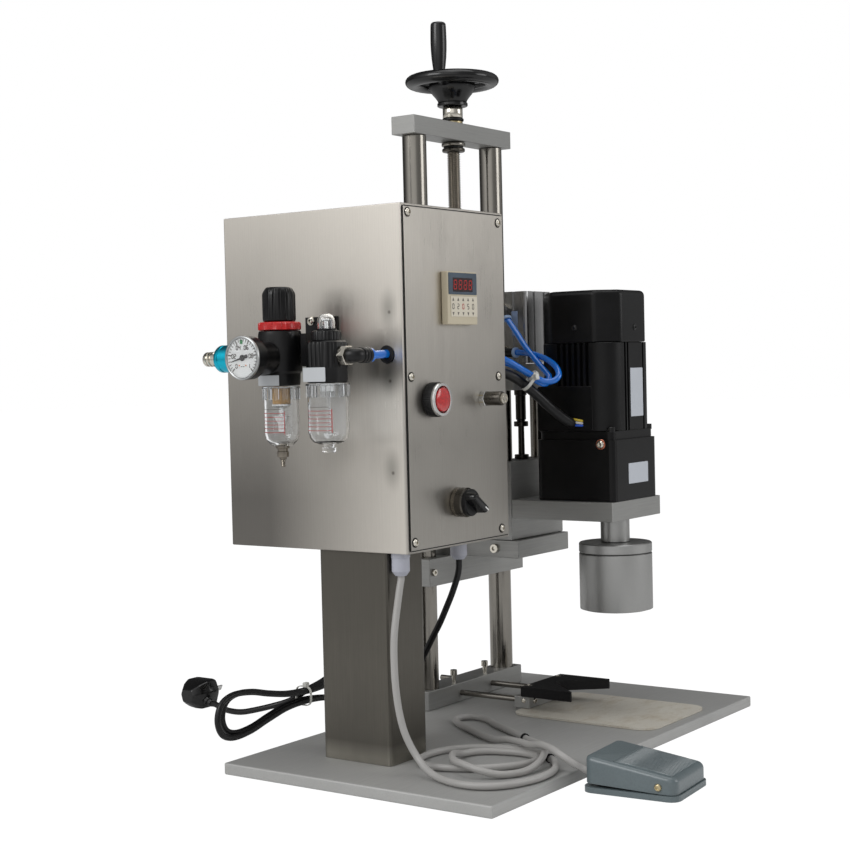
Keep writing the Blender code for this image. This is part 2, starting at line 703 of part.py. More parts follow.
def make_post_frame():
    """Two posts between a bar on the base plate and a top bar that carries the lead screw."""
    foot = block(
        "base_block", (-BAR_REACH, -BAR_DEPTH / 2, FOOT_BAR_LOW),
        (BAR_REACH, BAR_DEPTH / 2, FOOT_BAR_TOP), (ALUMINIUM, 0.45, 1.0), edge=0.0006,
    )
    for side, x in (("left", -POST_REACH), ("right", POST_REACH)):
        turned(
            "post_" + side, rod_profile(POST_RADIUS, FOOT_BAR_LOW, POST_TOP, 0.0006),
            (CHROME, 0.12, 1.0), (x, 0, 0), steps=40,
        )
        cut(foot, round_cutter(
            "foot_post_hole_" + side, POST_RADIUS + SEAT, (x, 0, 0),
            FOOT_BAR_LOW - 0.001, FOOT_BAR_TOP + 0.001, steps=40,
        ))
        cut(foot, round_cutter(
            "foot_rod_hole_" + side, STOP_ROD_RADIUS + RUN,
            (STOP_ROD_REACH * (-1 if side == "left" else 1), 0, STOP_ROD_Z),
            -BAR_DEPTH, BAR_DEPTH, axis="+Y", steps=20,
        ))
    top = block(
        "top_bar", (-BAR_REACH - 0.0015, -BAR_DEPTH / 2, TOP_BAR_LOW),
        (BAR_REACH + 0.0015, BAR_DEPTH / 2, TOP_BAR_TOP), (ALUMINIUM, 0.4, 1.0), edge=0.0006,
    )
    cut(top, round_cutter(
        "top_bar_bore", SCREW_RADIUS + RUN, (0, 0, 0), TOP_BAR_LOW - 0.001, TOP_BAR_TOP + 0.001,
    ))


# ---------------------------------------------------------------- lead screw and handwheel

def make_lead_screw():
    """The lead screw with its two collars, the handwheel on its top end and the wheel's grip."""
    axis = pivot("lead_screw_axis", (0, 0, 0))
    nut_top = TOP_BAR_LOW - SEAT
    collar_low = TOP_BAR_TOP + SEAT
    turned("lead_screw", [
        (0, RIM_LOW), (SCREW_RADIUS, RIM_LOW), (SCREW_RADIUS, COLLAR_TOP),
        (COLLAR_RADIUS, COLLAR_TOP), (COLLAR_RADIUS, collar_low),
        (SCREW_RADIUS, collar_low), (SCREW_RADIUS, nut_top),
        (LOCK_NUT_RADIUS, nut_top), (LOCK_NUT_RADIUS, nut_top - LOCK_NUT_HIGH),
        (SCREW_RADIUS, nut_top - LOCK_NUT_HIGH), (SCREW_RADIUS, ELEVATOR_LOW), (0, ELEVATOR_LOW),
    ], (CHROME, 0.2, 1.0), (0, 0, 0), steps=32, parent=axis)
    bore = SCREW_RADIUS + SEAT
    hub_low = COLLAR_TOP + SEAT
    web_low = RIM_LOW + 0.0035
    wheel = turned("handwheel", [
        (0, RIM_TOP - 0.004), (0.036, RIM_TOP - 0.004), (0.040, RIM_TOP),
        (WHEEL_RADIUS - 0.003, RIM_TOP), (WHEEL_RADIUS, RIM_TOP - 0.003),
        (WHEEL_RADIUS, RIM_LOW + 0.003), (WHEEL_RADIUS - 0.003, RIM_LOW),
        (0.041, RIM_LOW), (0.037, web_low), (HUB_RADIUS + 0.008, web_low),
        (HUB_RADIUS, hub_low), (bore, hub_low), (bore, RIM_LOW + SEAT), (0, RIM_LOW + SEAT),
    ], (BLACK, 0.15), (0, 0, 0), steps=48, parent=axis)
    x, y = GRIP_REACH * cos(GRIP_AZIMUTH), GRIP_REACH * sin(GRIP_AZIMUTH)
    grip_axis = pivot("grip_axis", (x, y, GRIP_LOW), axis)
    turned("crank_grip", [
        (0, GRIP_HIGH), (GRIP_RADIUS - 0.004, GRIP_HIGH), (GRIP_RADIUS - 0.0008, GRIP_HIGH - 0.003),
        (GRIP_RADIUS, GRIP_HIGH * 0.55), (GRIP_RADIUS - 0.001, GRIP_HIGH * 0.2),
        (GRIP_RADIUS - 0.0022, 0.0010), (GRIP_RADIUS - 0.003, 0), (0, 0),
    ], (BLACK, 0.2), (x, y, GRIP_LOW), steps=28, parent=grip_axis)


# ---------------------------------------------------------------- elevator

def make_elevator(elevator):
    """The bar that the lead screw lifts, its plate, the guide rods and the air cylinder."""
    bar = block(
        "elevator_bar", (-BAR_REACH, -ELEVATOR_BAR_DEPTH / 2, ELEVATOR_LOW),
        (BAR_REACH, ELEVATOR_BAR_DEPTH / 2, ELEVATOR_TOP), (ALUMINIUM, 0.4, 1.0), edge=0.0006,
        parent=elevator,
    )
    for side, x in (("left", -POST_REACH), ("right", POST_REACH)):
        cut(bar, round_cutter(
            "bar_post_hole_" + side, POST_RADIUS + RUN, (x, 0, 0),
            ELEVATOR_LOW - 0.001, ELEVATOR_TOP + 0.001, steps=40,
        ))
    cut(bar, round_cutter(
        "bar_screw_bore", SCREW_RADIUS + RUN, (0, 0, 0), ELEVATOR_LOW - 0.001, ELEVATOR_TOP + 0.001,
    ))
    plate = block(
        "elevator_plate", (-PLATE_REACH, PLATE_FRONT, PLATE_LOW),
        (PLATE_REACH, ELEVATOR_BAR_DEPTH / 2, PLATE_TOP), (ALUMINIUM, 0.4, 1.0), edge=0.0006,
        parent=elevator,
    )
    cut(plate, round_cutter(
        "plate_screw_hole", SCREW_RADIUS + 0.001, (0, 0, 0), PLATE_LOW - 0.001, PLATE_TOP + 0.001,
    ))
    mount = block(
        "cylinder_mount", (-MOUNT_REACH, MOUNT_FRONT, MOUNT_LOW),
        (MOUNT_REACH, MOUNT_BACK, MOUNT_TOP), (ALUMINIUM, 0.5, 1.0), edge=0.0006, parent=elevator,
    )
    for side, x in (("left", -GUIDE_REACH), ("right", GUIDE_REACH)):
        turned(
            "guide_rod_" + side,
            rod_profile(GUIDE_RADIUS, PLATE_LOW, MOUNT_TOP - 0.006, 0.0005), (CHROME, 0.15, 1.0),
            (x, ROD_AXIS_Y, 0), steps=32, parent=elevator,
        )
        for piece in (plate, mount):
            cut(piece, round_cutter(
                piece.name + "_rod_hole_" + side, GUIDE_RADIUS + SEAT, (x, ROD_AXIS_Y, 0),
                PLATE_LOW - 0.002, MOUNT_TOP - 0.0055,
            ))
    cut(mount, round_cutter(
        "mount_bore", PISTON_ROD_RADIUS + RUN, (0, ROD_AXIS_Y, 0), MOUNT_LOW - 0.001,
        MOUNT_TOP + 0.001,
    ))
    make_cylinder(elevator)


def make_cylinder(elevator):
    """The air cylinder's extruded body, open below for its piston, with sensor grooves."""
    half = CYLINDER_SIDE / 2
    corners = []
    for x, y in ((-1, -1), (1, -1), (1, 1), (-1, 1)):
        corners.append((x * half, y * half))
    body = slab(
        "cylinder_body", [rounded(corners, 0.004, 3)], CYLINDER_LOW, CYLINDER_TOP,
        ((0.36, 0.36, 0.36), 0.35, 1.0), parent=elevator, at=(0, ROD_AXIS_Y),
    )
    for i, along in enumerate((-0.4, 0.4)):
        for side in (-1, 1):
            x, y = along * half, ROD_AXIS_Y + side * half
            cut(body, box_cutter(
                f"groove_y_{i}_{side}", (x - GROOVE / 2, y - GROOVE / 2, CYLINDER_LOW - 0.001),
                (x + GROOVE / 2, y + GROOVE / 2, CYLINDER_TOP + 0.001),
            ))
            x, y = side * half, ROD_AXIS_Y + along * half
            cut(body, box_cutter(
                f"groove_x_{i}_{side}", (x - GROOVE / 2, y - GROOVE / 2, CYLINDER_LOW - 0.001),
                (x + GROOVE / 2, y + GROOVE / 2, CYLINDER_TOP + 0.001),
            ))
    cut(body, round_cutter(
        "cylinder_bore", CYLINDER_BORE, (0, ROD_AXIS_Y, 0), CYLINDER_LOW - 0.001, CYLINDER_ROOF,
    ))


# ---------------------------------------------------------------- press slide and gear motor

def make_press_slide(press):
    """The block that the piston pushes along the guide rods, and the plate that it carries."""
    block_piece = block(
        "slide_block", (-BLOCK_REACH, BLOCK_FRONT, BLOCK_LOW), (BLOCK_REACH, BLOCK_BACK, BLOCK_TOP),
        (ALUMINIUM, 0.35, 1.0), edge=0.0006, parent=press,
    )
    for side, x in (("left", -GUIDE_REACH), ("right", GUIDE_REACH)):
        cut(block_piece, round_cutter(
            "slide_bush_" + side, GUIDE_RADIUS + RUN, (x, ROD_AXIS_Y, 0),
            BLOCK_LOW - 0.001, BLOCK_TOP + 0.001,
        ))
    cut(block_piece, round_cutter(
        "stud_hole", STUD_RADIUS + SEAT, (0, ROD_AXIS_Y, 0),
        BLOCK_TOP - STUD_SUNK - SEAT, BLOCK_TOP + 0.001, steps=20,
    ))
    nut_low = BLOCK_TOP + SEAT
    jam_top = ROD_END - 0.0025
    piston_low = CYLINDER_LOW + 0.004
    turned("piston_rod", [
        (0, piston_low + PISTON_HIGH), (CYLINDER_BORE - RUN, piston_low + PISTON_HIGH),
        (CYLINDER_BORE - RUN, piston_low), (PISTON_ROD_RADIUS, piston_low),
        (PISTON_ROD_RADIUS, ROD_END), (STUD_RADIUS, ROD_END), (STUD_RADIUS, jam_top),
        (NUT_RADIUS, jam_top), (NUT_RADIUS, jam_top - NUT_HIGH), (STUD_RADIUS, jam_top - NUT_HIGH),
        (STUD_RADIUS, nut_low + NUT_HIGH), (NUT_RADIUS, nut_low + NUT_HIGH),
        (NUT_RADIUS, nut_low), (STUD_RADIUS, nut_low), (STUD_RADIUS, BLOCK_TOP - STUD_SUNK),
        (0, BLOCK_TOP - STUD_SUNK),
    ], ((0.25, 0.25, 0.25), 0.2, 1.0), (0, ROD_AXIS_Y, 0), steps=32, parent=press)
    plate = block(
        "motor_plate", (-PLATE_REACH, MOTOR_PLATE_FRONT, MOTOR_PLATE_LOW),
        (PLATE_REACH, BLOCK_FRONT - SEAT, MOTOR_PLATE_TOP), (ALUMINIUM, 0.4, 1.0), edge=0.0006,
        parent=press,
    )
    cut(plate, round_cutter(
        "motor_plate_bore", SPINDLE_RADIUS + 0.002, (0, SPINDLE_Y, 0),
        MOTOR_PLATE_LOW - 0.001, MOTOR_PLATE_TOP + 0.001,
    ))
    make_gear_motor(press)


def make_gear_motor(press):
    """The gearbox with its offset output shaft, the motor on it and the fan's cover."""
    outline = rounded(rectangle(MOTOR_SIDE, MOTOR_SIDE), GEARBOX_CORNER, 3)
    gearbox = slab(
        "gearbox", [outline], GEARBOX_LOW, GEARBOX_TOP, (BLACK, 0.35), parent=press,
        at=(0, MOTOR_Y),
    )
    flange_side = MOTOR_SIDE - 2 * FLANGE_INSET
    flange = bpy.data.objects.new("gearbox_flange", slab_mesh(
        "gearbox_flange", [rounded(rectangle(flange_side, flange_side), GEARBOX_CORNER, 3)],
        FLANGE_HIGH + 0.004,
    ))
    join(gearbox, as_cutter(flange, (0, MOTOR_Y, FLANGE_TOP - (FLANGE_HIGH + 0.004) / 2)))
    cut(gearbox, round_cutter(
        "gearbox_output", SPINDLE_RADIUS + RUN, (0, SPINDLE_Y, 0), GEARBOX_LOW - 0.001,
        GEARBOX_LOW + SPINDLE_IN_GEARBOX + 0.001, steps=24,
    ))
    body_outline = rounded(rectangle(MOTOR_SIDE - 0.001, MOTOR_SIDE - 0.001), MOTOR_CORNER, 8)
    slab(
        "motor_body", [body_outline], MOTOR_LOW, MOTOR_TOP, (BLACK, 0.4), parent=press,
        at=(0, MOTOR_Y),
    )
    half, chamfer = MOTOR_SIDE / 2, FAN_COVER_CHAMFER
    corners = []
    for x, y in ((-1, -1), (1, -1), (1, 1), (-1, 1)):
        first = (x * (half - chamfer), y * half)
        second = (x * half, y * (half - chamfer))
        corners += [second, first] if x * y > 0 else [first, second]
    cover = slab(
        "fan_cover", [corners], FAN_COVER_LOW, FAN_COVER_TOP, (BLACK, 0.45), edge=0.0025,
        parent=press, at=(0, MOTOR_Y),
    )
    share = 1 - 2 * FAN_COVER_WALL / MOTOR_SIDE
    inner = [(x * share, y * share) for x, y in corners]
    hollow = bpy.data.objects.new("fan_cover_hollow", slab_mesh(
        "fan_cover_hollow", [inner], FAN_COVER_HIGH,
    ))
    middle = (FAN_COVER_LOW + FAN_COVER_TOP) / 2 - FAN_COVER_WALL * 2
    cut(cover, as_cutter(hollow, (0, MOTOR_Y, middle)))


def make_spindle(spindle):
    """The output shaft's collar and the chuck, hollow below for the bottle's cap."""
    collar_low = CHUCK_TOP + SEAT
    collar_top = MOTOR_PLATE_LOW - SEAT
    shaft_low = CHUCK_TOP - CHUCK_SOCKET
    turned("spindle", [
        (0, GEARBOX_LOW + SPINDLE_IN_GEARBOX), (SPINDLE_RADIUS, GEARBOX_LOW + SPINDLE_IN_GEARBOX),
        (SPINDLE_RADIUS, collar_top), (SPINDLE_COLLAR_RADIUS, collar_top),
        (SPINDLE_COLLAR_RADIUS, collar_low), (SPINDLE_RADIUS, collar_low),
        (SPINDLE_RADIUS, shaft_low), (0, shaft_low),
    ], (CHROME, 0.25, 1.0), (0, SPINDLE_Y, 0), steps=32, parent=spindle)
    socket = SPINDLE_RADIUS + SEAT
    groove_z = CHUCK_TOP - 0.0095
    edge = 0.004
    turned("capping_head", [
        (socket, CHUCK_TOP), (CHUCK_RADIUS - 0.0008, CHUCK_TOP), (CHUCK_RADIUS, CHUCK_TOP - 0.0008),
        (CHUCK_RADIUS, groove_z), (CHUCK_RADIUS - CHUCK_GROOVE, groove_z),
        (CHUCK_RADIUS - CHUCK_GROOVE, groove_z - CHUCK_GROOVE),
        (CHUCK_RADIUS, groove_z - CHUCK_GROOVE), (CHUCK_RADIUS, CHUCK_LOW + edge),
        (CHUCK_RADIUS - edge * 0.3, CHUCK_LOW + edge * 0.3), (CHUCK_RADIUS - edge, CHUCK_LOW),
        (CHUCK_MOUTH, CHUCK_LOW), (CHUCK_SEAT, CHUCK_LOW + CHUCK_DEEP),
        (0, CHUCK_LOW + CHUCK_DEEP), (0, shaft_low - SEAT), (socket, shaft_low - SEAT),
    ], ((0.62, 0.61, 0.60), 0.5, 1.0), (0, SPINDLE_Y, 0), steps=48, parent=spindle)


# ---------------------------------------------------------------- bottle stop

def make_bottle_stop(stop):
    """The V block that centres the bottle, on a carrier with two rods through the base block."""
    carrier = block(
        "v_carrier", (-CARRIER_REACH, CARRIER_FRONT, CARRIER_LOW),
        (CARRIER_REACH, CARRIER_BACK, CARRIER_TOP), (ALUMINIUM, 0.45, 1.0), edge=0.0005,
        parent=stop,
    )
    for side, x in (("left", -STOP_ROD_REACH), ("right", STOP_ROD_REACH)):
        rod = turned_object(
            "stop_rod_" + side, rod_profile(STOP_ROD_RADIUS, CARRIER_BACK - 0.008, STOP_ROD_BACK),
            "+Y", 20,
        )
        join(carrier, as_cutter(rod, (x, 0, STOP_ROD_Z)))
    mouth = V_REACH - V_TIP
    points = [
        (-V_REACH, V_BACK), (-V_REACH, V_FRONT), (-mouth, V_FRONT), (0, V_APEX_Y),
        (mouth, V_FRONT), (V_REACH, V_FRONT), (V_REACH, V_BACK),
    ]
    radii = [0.0008, 0, 0, V_APEX_RADIUS, 0, 0, 0.0008]
    slab(
        "v_block", [rounded(points, radii, 6)], V_LOW, V_LOW + V_THICK, (BLACK, 0.55), parent=stop,
    )


# ---------------------------------------------------------------- column and cabinet

def make_cabinet():
    """The column, the cabinet on it and the front panel with its cut-outs."""
    wide, deep = COLUMN_RIGHT - COLUMN_LEFT, COLUMN_BACK - COLUMN_FRONT
    middle = ((COLUMN_LEFT + COLUMN_RIGHT) / 2, (COLUMN_FRONT + COLUMN_BACK) / 2)
    outer = rounded(rectangle(wide, deep), COLUMN_CORNER, 3)
    inner = rounded(
        rectangle(wide - 2 * COLUMN_WALL, deep - 2 * COLUMN_WALL), COLUMN_CORNER - COLUMN_WALL, 3
    )
    slab("column", [outer, inner], COLUMN_LOW, COLUMN_TOP, (STEEL, 0.35, 1.0), at=middle)
    shell = block(
        "cabinet_shell", (CAB_LEFT, CAB_FRONT, CAB_LOW), (CAB_RIGHT, CAB_BACK, CAB_TOP),
        (STEEL, 0.35, 1.0), edge=0.001,
    )
    wall, lip = CAB_WALL, CAB_WALL + CAB_LIP
    cut(shell, box_cutter(
        "cabinet_inside", (CAB_LEFT + wall, CAB_FRONT + wall, CAB_LOW + wall),
        (CAB_RIGHT - wall, CAB_BACK - wall, CAB_TOP - wall),
    ))
    cut(shell, box_cutter(
        "cabinet_mouth", (CAB_LEFT + lip, CAB_FRONT - 0.01, CAB_LOW + lip),
        (CAB_RIGHT - lip, CAB_FRONT + 0.01, CAB_TOP - lip),
    ))
    cut(shell, round_cutter(
        "air_hole", AIR_HOLE_RADIUS, (CAB_LEFT, ELBOW_Y, AIR_Z), -0.006, 0.006, axis="+X", steps=24,
    ))
    for name, (x, y) in (("pedal_gland_hole", PEDAL_GLAND), ("mains_gland_hole", MAINS_GLAND)):
        cut(shell, round_cutter(name, GLAND_STEM + SEAT, (x, y, CAB_LOW), -0.005, 0.005, steps=24))
    holes = (
        ("upper_hose_hole", UPPER_HOSE_ROUTE, HOSE_HOLE_RADIUS),
        ("lower_hose_hole", LOWER_HOSE_ROUTE, HOSE_HOLE_RADIUS),
        ("motor_cord_hole", MOTOR_CORD_ROUTE, MOTOR_HOLE_RADIUS),
    )
    for name, route, radius in holes:
        y, z = route[-1][1:]
        cut(shell, round_cutter(name, radius, (CAB_RIGHT, y, z), -0.005, 0.005, "+X", 20))
    make_panel()
    make_solenoid()


def make_panel():
    """The front panel, cut for the timer, the button, the selector and the throttle valve."""
    panel = block(
        "front_panel", (CAB_LEFT + PANEL_INSET, PANEL_FRONT, CAB_LOW + PANEL_INSET),
        (CAB_RIGHT - PANEL_INSET, PANEL_BACK, CAB_TOP - PANEL_INSET), (STEEL, 0.4, 1.0),
        edge=0.0003,
    )
    x, z = TIMER_AT
    half = TIMER_BODY_SIDE / 2 + SEAT
    cut(panel, box_cutter(
        "timer_opening", (x - half, PANEL_FRONT - 0.01, z - half),
        (x + half, PANEL_BACK + 0.01, z + half),
    ))
    holes = (
        ("button_hole", BUTTON_AT, SWITCH_STEM), ("selector_hole", SELECTOR_AT, SWITCH_STEM),
        ("throttle_hole", THROTTLE_AT, THROTTLE_STEM_RADIUS),
    )
    for name, (x, z), radius in holes:
        cut(panel, round_cutter(
            name, radius + SEAT, (x, PANEL_FRONT, z), -0.01, 0.01, axis="+Y", steps=28,
        ))


def make_solenoid():
    """The valve inside the cabinet that feeds the cylinder's two hoses."""
    at, size = Vector(SOLENOID_AT), Vector(SOLENOID_SIZE)
    high = at + size / 2
    high.x = CAB_RIGHT - CAB_WALL - SEAT
    block("solenoid_valve", at - size / 2, high, ((0.05, 0.05, 0.06), 0.5), edge=0.0015)


# ---------------------------------------------------------------- panel controls

def make_timer():
    """The counter-timer: a square face on the panel and a slimmer body behind it."""
    x, z = TIMER_AT
    half, back = TIMER_SIDE / 2, TIMER_BODY_SIDE / 2
    face_back = PANEL_FRONT - SEAT
    face = block(
        "timer_case", (x - half, face_back - TIMER_PROUD, z - half), (x + half, face_back, z + half),
        ((0.55, 0.50, 0.38), 0.5), edge=0.0008,
    )
    body = box_cutter(
        "timer_body", (x - back, face_back - 0.002, z - back),
        (x + back, PANEL_BACK + TIMER_BODY_DEEP, z + back),
    )
    join(face, body)


def make_button(press_axis):
    """The lit start button: a ring on the panel with its lens inside."""
    x, z = BUTTON_AT
    front = PANEL_FRONT - SEAT
    bore = LENS_RADIUS + RUN
    deep = BUTTON_PROUD + PANEL_THICK + SWITCH_DEEP
    turned("button_bezel", [
        (bore, BUTTON_PROUD), (BUTTON_RADIUS - 0.0015, BUTTON_PROUD),
        (BUTTON_RADIUS, BUTTON_PROUD - 0.0015), (BUTTON_RADIUS, 0), (SWITCH_STEM, 0),
        (SWITCH_STEM, BUTTON_PROUD - deep), (0, BUTTON_PROUD - deep),
        (0, BUTTON_PROUD - 0.012), (bore, BUTTON_PROUD - 0.012),
    ], (BLACK, 0.35), (x, front, z), axis="-Y", steps=36)
    rest = front - BUTTON_PROUD
    turned("button_lens", [
        (0, LENS_PROUD), (LENS_RADIUS - 0.002, LENS_PROUD - 0.0003),
        (LENS_RADIUS, LENS_PROUD - 0.0012), (LENS_RADIUS, -LENS_STEM), (0, -LENS_STEM),
    ], ((0.6, 0.01, 0.01), 0.2), (x, rest, z), axis="-Y", steps=32, parent=press_axis)


def make_selector(turn_axis):
    """The selector switch: a ring on the panel and a knob with a raised lever across it."""
    x, z = SELECTOR_AT
    front = PANEL_FRONT - SEAT
    turned("selector_bezel", [
        (0, SELECTOR_PROUD), (SELECTOR_RADIUS - 0.0012, SELECTOR_PROUD),
        (SELECTOR_RADIUS, SELECTOR_PROUD - 0.0012), (SELECTOR_RADIUS, 0), (SWITCH_STEM, 0),
        (SWITCH_STEM, -PANEL_THICK - SWITCH_DEEP), (0, -PANEL_THICK - SWITCH_DEEP),
    ], (BLACK, 0.3), (x, front, z), axis="-Y", steps=36)
    knob_back = front - SELECTOR_PROUD - SEAT
    knob = turned("selector_knob", [
        (0, KNOB_DISC), (KNOB_RADIUS - 0.001, KNOB_DISC), (KNOB_RADIUS, KNOB_DISC - 0.001),
        (KNOB_RADIUS, 0), (0, 0),
    ], (BLACK, 0.25), (x, knob_back, z), axis="-Y", steps=32, parent=turn_axis)
    side = [
        (-KNOB_RADIUS + 0.001, 0), (KNOB_RADIUS + LEVER_OVERHANG, 0),
        (KNOB_RADIUS + LEVER_OVERHANG, 0.004), (-KNOB_RADIUS + 0.005, LEVER_HIGH),
        (-KNOB_RADIUS + 0.001, LEVER_HIGH - 0.002),
    ]
    lever = bpy.data.objects.new("lever", slab_mesh(
        "lever", [rounded(side, [0, 0.001, 0.002, 0.002, 0.001], 2)], LEVER_WIDE,
    ))
    lever.rotation_euler = (pi / 2, 0, 0)
    lever.data.transform(lever.rotation_euler.to_matrix().to_4x4())
    lever.rotation_euler = (pi / 2, LEVER_TURN, 0)
    lever.rotation_mode = "XYZ"
    join(knob, as_cutter(lever, (x, knob_back - KNOB_DISC + 0.002, z)))


def make_throttle(turn_axis):
    """The throttle valve: a lock nut on the panel and a knurled knob."""
    x, z = THROTTLE_AT
    front = PANEL_FRONT - SEAT
    nut = THROTTLE_NUT_PROUD
    turned("throttle_body", [
        (VALVE_STEM_RADIUS + RUN, nut), (THROTTLE_NUT_RADIUS, nut), (THROTTLE_NUT_RADIUS, 0),
        (THROTTLE_STEM_RADIUS, 0), (THROTTLE_STEM_RADIUS, -THROTTLE_DEEP), (0, -THROTTLE_DEEP),
        (0, -0.004), (VALVE_STEM_RADIUS + RUN, -0.004),
    ], ((0.5, 0.42, 0.25), 0.3, 1.0), (x, front, z), axis="-Y", steps=28)
    back = nut + SEAT
    turned("throttle_knob", [
        (0, back + THROTTLE_KNOB_LONG), (0.0048, back + THROTTLE_KNOB_LONG),
        (THROTTLE_KNOB_RADIUS, back + THROTTLE_KNOB_LONG - 0.0012),
        (THROTTLE_KNOB_RADIUS, back), (VALVE_STEM_RADIUS, back), (VALVE_STEM_RADIUS, -0.003),
        (0, -0.003),
    ], ((0.05, 0.04, 0.03), 0.3, 0.5), (x, front, z), axis="-Y", steps=28, parent=turn_axis)


# ---------------------------------------------------------------- air preparation unit

def make_air_unit():
    """The filter regulator and the oiler with their bowls, on a bracket on the cabinet."""
    side = CAB_LEFT - SEAT
    middle_y = (FILTER_Y + OILER_Y) / 2
    bracket = block(
        "air_bracket", (side - 0.003, BRACKET_FRONT, BRACKET_LOW + 0.012),
        (side, BRACKET_BACK, BRACKET_TOP), (BLACK, 0.5),
    )
    join(bracket, box_cutter(
        "bracket_arm", (AIR_X, middle_y - BRACKET_THICK / 2, BRACKET_LOW),
        (side - 0.001, middle_y + BRACKET_THICK / 2, ARM_TOP),
    ))
    gap = BRACKET_THICK / 2 + SEAT
    near = bpy.data.objects.new("filter_cheek", box_mesh("filter_cheek", (
        0.026, (FILTER_Y - middle_y - gap), 0.030,
    )))
    far = bpy.data.objects.new("oiler_cheek", box_mesh("oiler_cheek", (
        0.026, (middle_y - gap - OILER_Y), 0.030,
    )))
    stem = REGULATOR_STEM + RUN
    pocket = FILTER_TOP - STEM_DEEP - RUN
    filter_body = turned("filter_regulator_body", [
        (stem, FILTER_TOP), (0.0175, FILTER_TOP), (0.0175, FILTER_TOP - 0.010),
        (AIR_BODY_RADIUS, FILTER_TOP - 0.012), (AIR_BODY_RADIUS, FILTER_LOW), (0, FILTER_LOW),
        (0, pocket), (stem, pocket),
    ], (BLACK, 0.45), (AIR_X, FILTER_Y, 0), steps=32)
    join(filter_body, as_cutter(near, (AIR_X, (FILTER_Y + middle_y + gap) / 2, AIR_Z)))
    bowl_hole = round_cutter(
        "gauge_port", GAUGE_STEM_RADIUS + SEAT, (AIR_X - AIR_BODY_RADIUS, FILTER_Y, AIR_Z),
        -0.004, 0.010, axis="-X", steps=20,
    )
    inlet = round_cutter(
        "inlet_port", SHUTOFF_RADIUS + SEAT, (AIR_X, FILTER_Y + AIR_BODY_RADIUS, AIR_Z),
        -0.004, 0.010, axis="+Y", steps=24,
    )
    cut(filter_body, bowl_hole, inlet)
    oiler = turned("lubricator_body", [
        (0, OILER_TOP + OILER_CAP_HIGH + OILER_DOME_HIGH),
        (OILER_DOME_RADIUS - 0.003, OILER_TOP + OILER_CAP_HIGH + OILER_DOME_HIGH - 0.0005),
        (OILER_DOME_RADIUS, OILER_TOP + OILER_CAP_HIGH + OILER_DOME_HIGH - 0.005),
        (OILER_DOME_RADIUS, OILER_TOP + OILER_CAP_HIGH),
        (OILER_CAP_RADIUS, OILER_TOP + OILER_CAP_HIGH), (OILER_CAP_RADIUS, OILER_TOP),
        (OILER_RADIUS, OILER_TOP - 0.003), (OILER_RADIUS, OILER_LOW),
        (0, OILER_LOW),
    ], (BLACK, 0.45), (AIR_X, OILER_Y, 0), steps=32)
    join(oiler, as_cutter(far, (AIR_X, (OILER_Y + middle_y - gap) / 2, AIR_Z)))
    cut(oiler, round_cutter(
        "outlet_port", ELBOW_STEM + SEAT, (AIR_X, OILER_Y - OILER_RADIUS, AIR_Z),
        -0.004, 0.010, axis="-Y", steps=24,
    ))
    make_bowl("filter_bowl", FILTER_Y, FILTER_LOW, FILTER_BOWL_RADIUS)
    make_bowl("lubricator_bowl", OILER_Y, OILER_LOW, OILER_BOWL_RADIUS)


def make_bowl(name, y, top, radius):
    """A clear bowl, open at its top, with the drain under it."""
    high = top - SEAT
    low = high - BOWL_HIGH
    inner = radius - BOWL_WALL
    if name == "filter_bowl":
        foot = [
            (DRAIN_RADIUS, low), (DRAIN_RADIUS, low - DRAIN_LONG / 2),
            (0.002, low - DRAIN_LONG / 2), (0.002, low - DRAIN_LONG), (0, low - DRAIN_LONG),
        ]
    else:
        foot = [(0.0077, low), (0.0077, low - 0.0075), (0, low - 0.0075)]
    turned(name, [
        (inner, high), (radius, high), (radius, low + 0.005), (radius - 0.0015, low + 0.0015),
        (radius - 0.005, low), *foot, (0, low + BOWL_WALL), (inner - 0.004, low + BOWL_WALL),
        (inner, low + 0.005),
    ], (CLEAR, 0.1, 0.0, 0.35), (AIR_X, y, 0), steps=32)


def make_regulator(turn_axis):
    """The red ring on the regulator and its pressure knob."""
    at = (AIR_X, FILTER_Y, 0)
    stem = REGULATOR_STEM + RUN
    turned("regulator_ring", [
        (stem, RING_TOP), (RING_RADIUS - 0.001, RING_TOP), (RING_RADIUS, RING_TOP - 0.001),
        (RING_RADIUS, RING_LOW + 0.001), (RING_RADIUS - 0.001, RING_LOW), (stem, RING_LOW),
    ], ((0.55, 0.02, 0.02), 0.35), at, steps=32)
    top = REGULATOR_LOW + REGULATOR_HIGH
    turned("regulator_knob", [
        (0, top), (REGULATOR_RADIUS - 0.0025, top), (REGULATOR_RADIUS, top - 0.0025),
        (REGULATOR_RADIUS, REGULATOR_LOW + 0.004), (REGULATOR_RADIUS - 0.0012, REGULATOR_LOW + 0.0035),
        (REGULATOR_RADIUS - 0.0012, REGULATOR_LOW), (REGULATOR_STEM, REGULATOR_LOW),
        (REGULATOR_STEM, FILTER_TOP - STEM_DEEP), (0, FILTER_TOP - STEM_DEEP),
    ], (BLACK, 0.4), at, steps=32, parent=turn_axis)


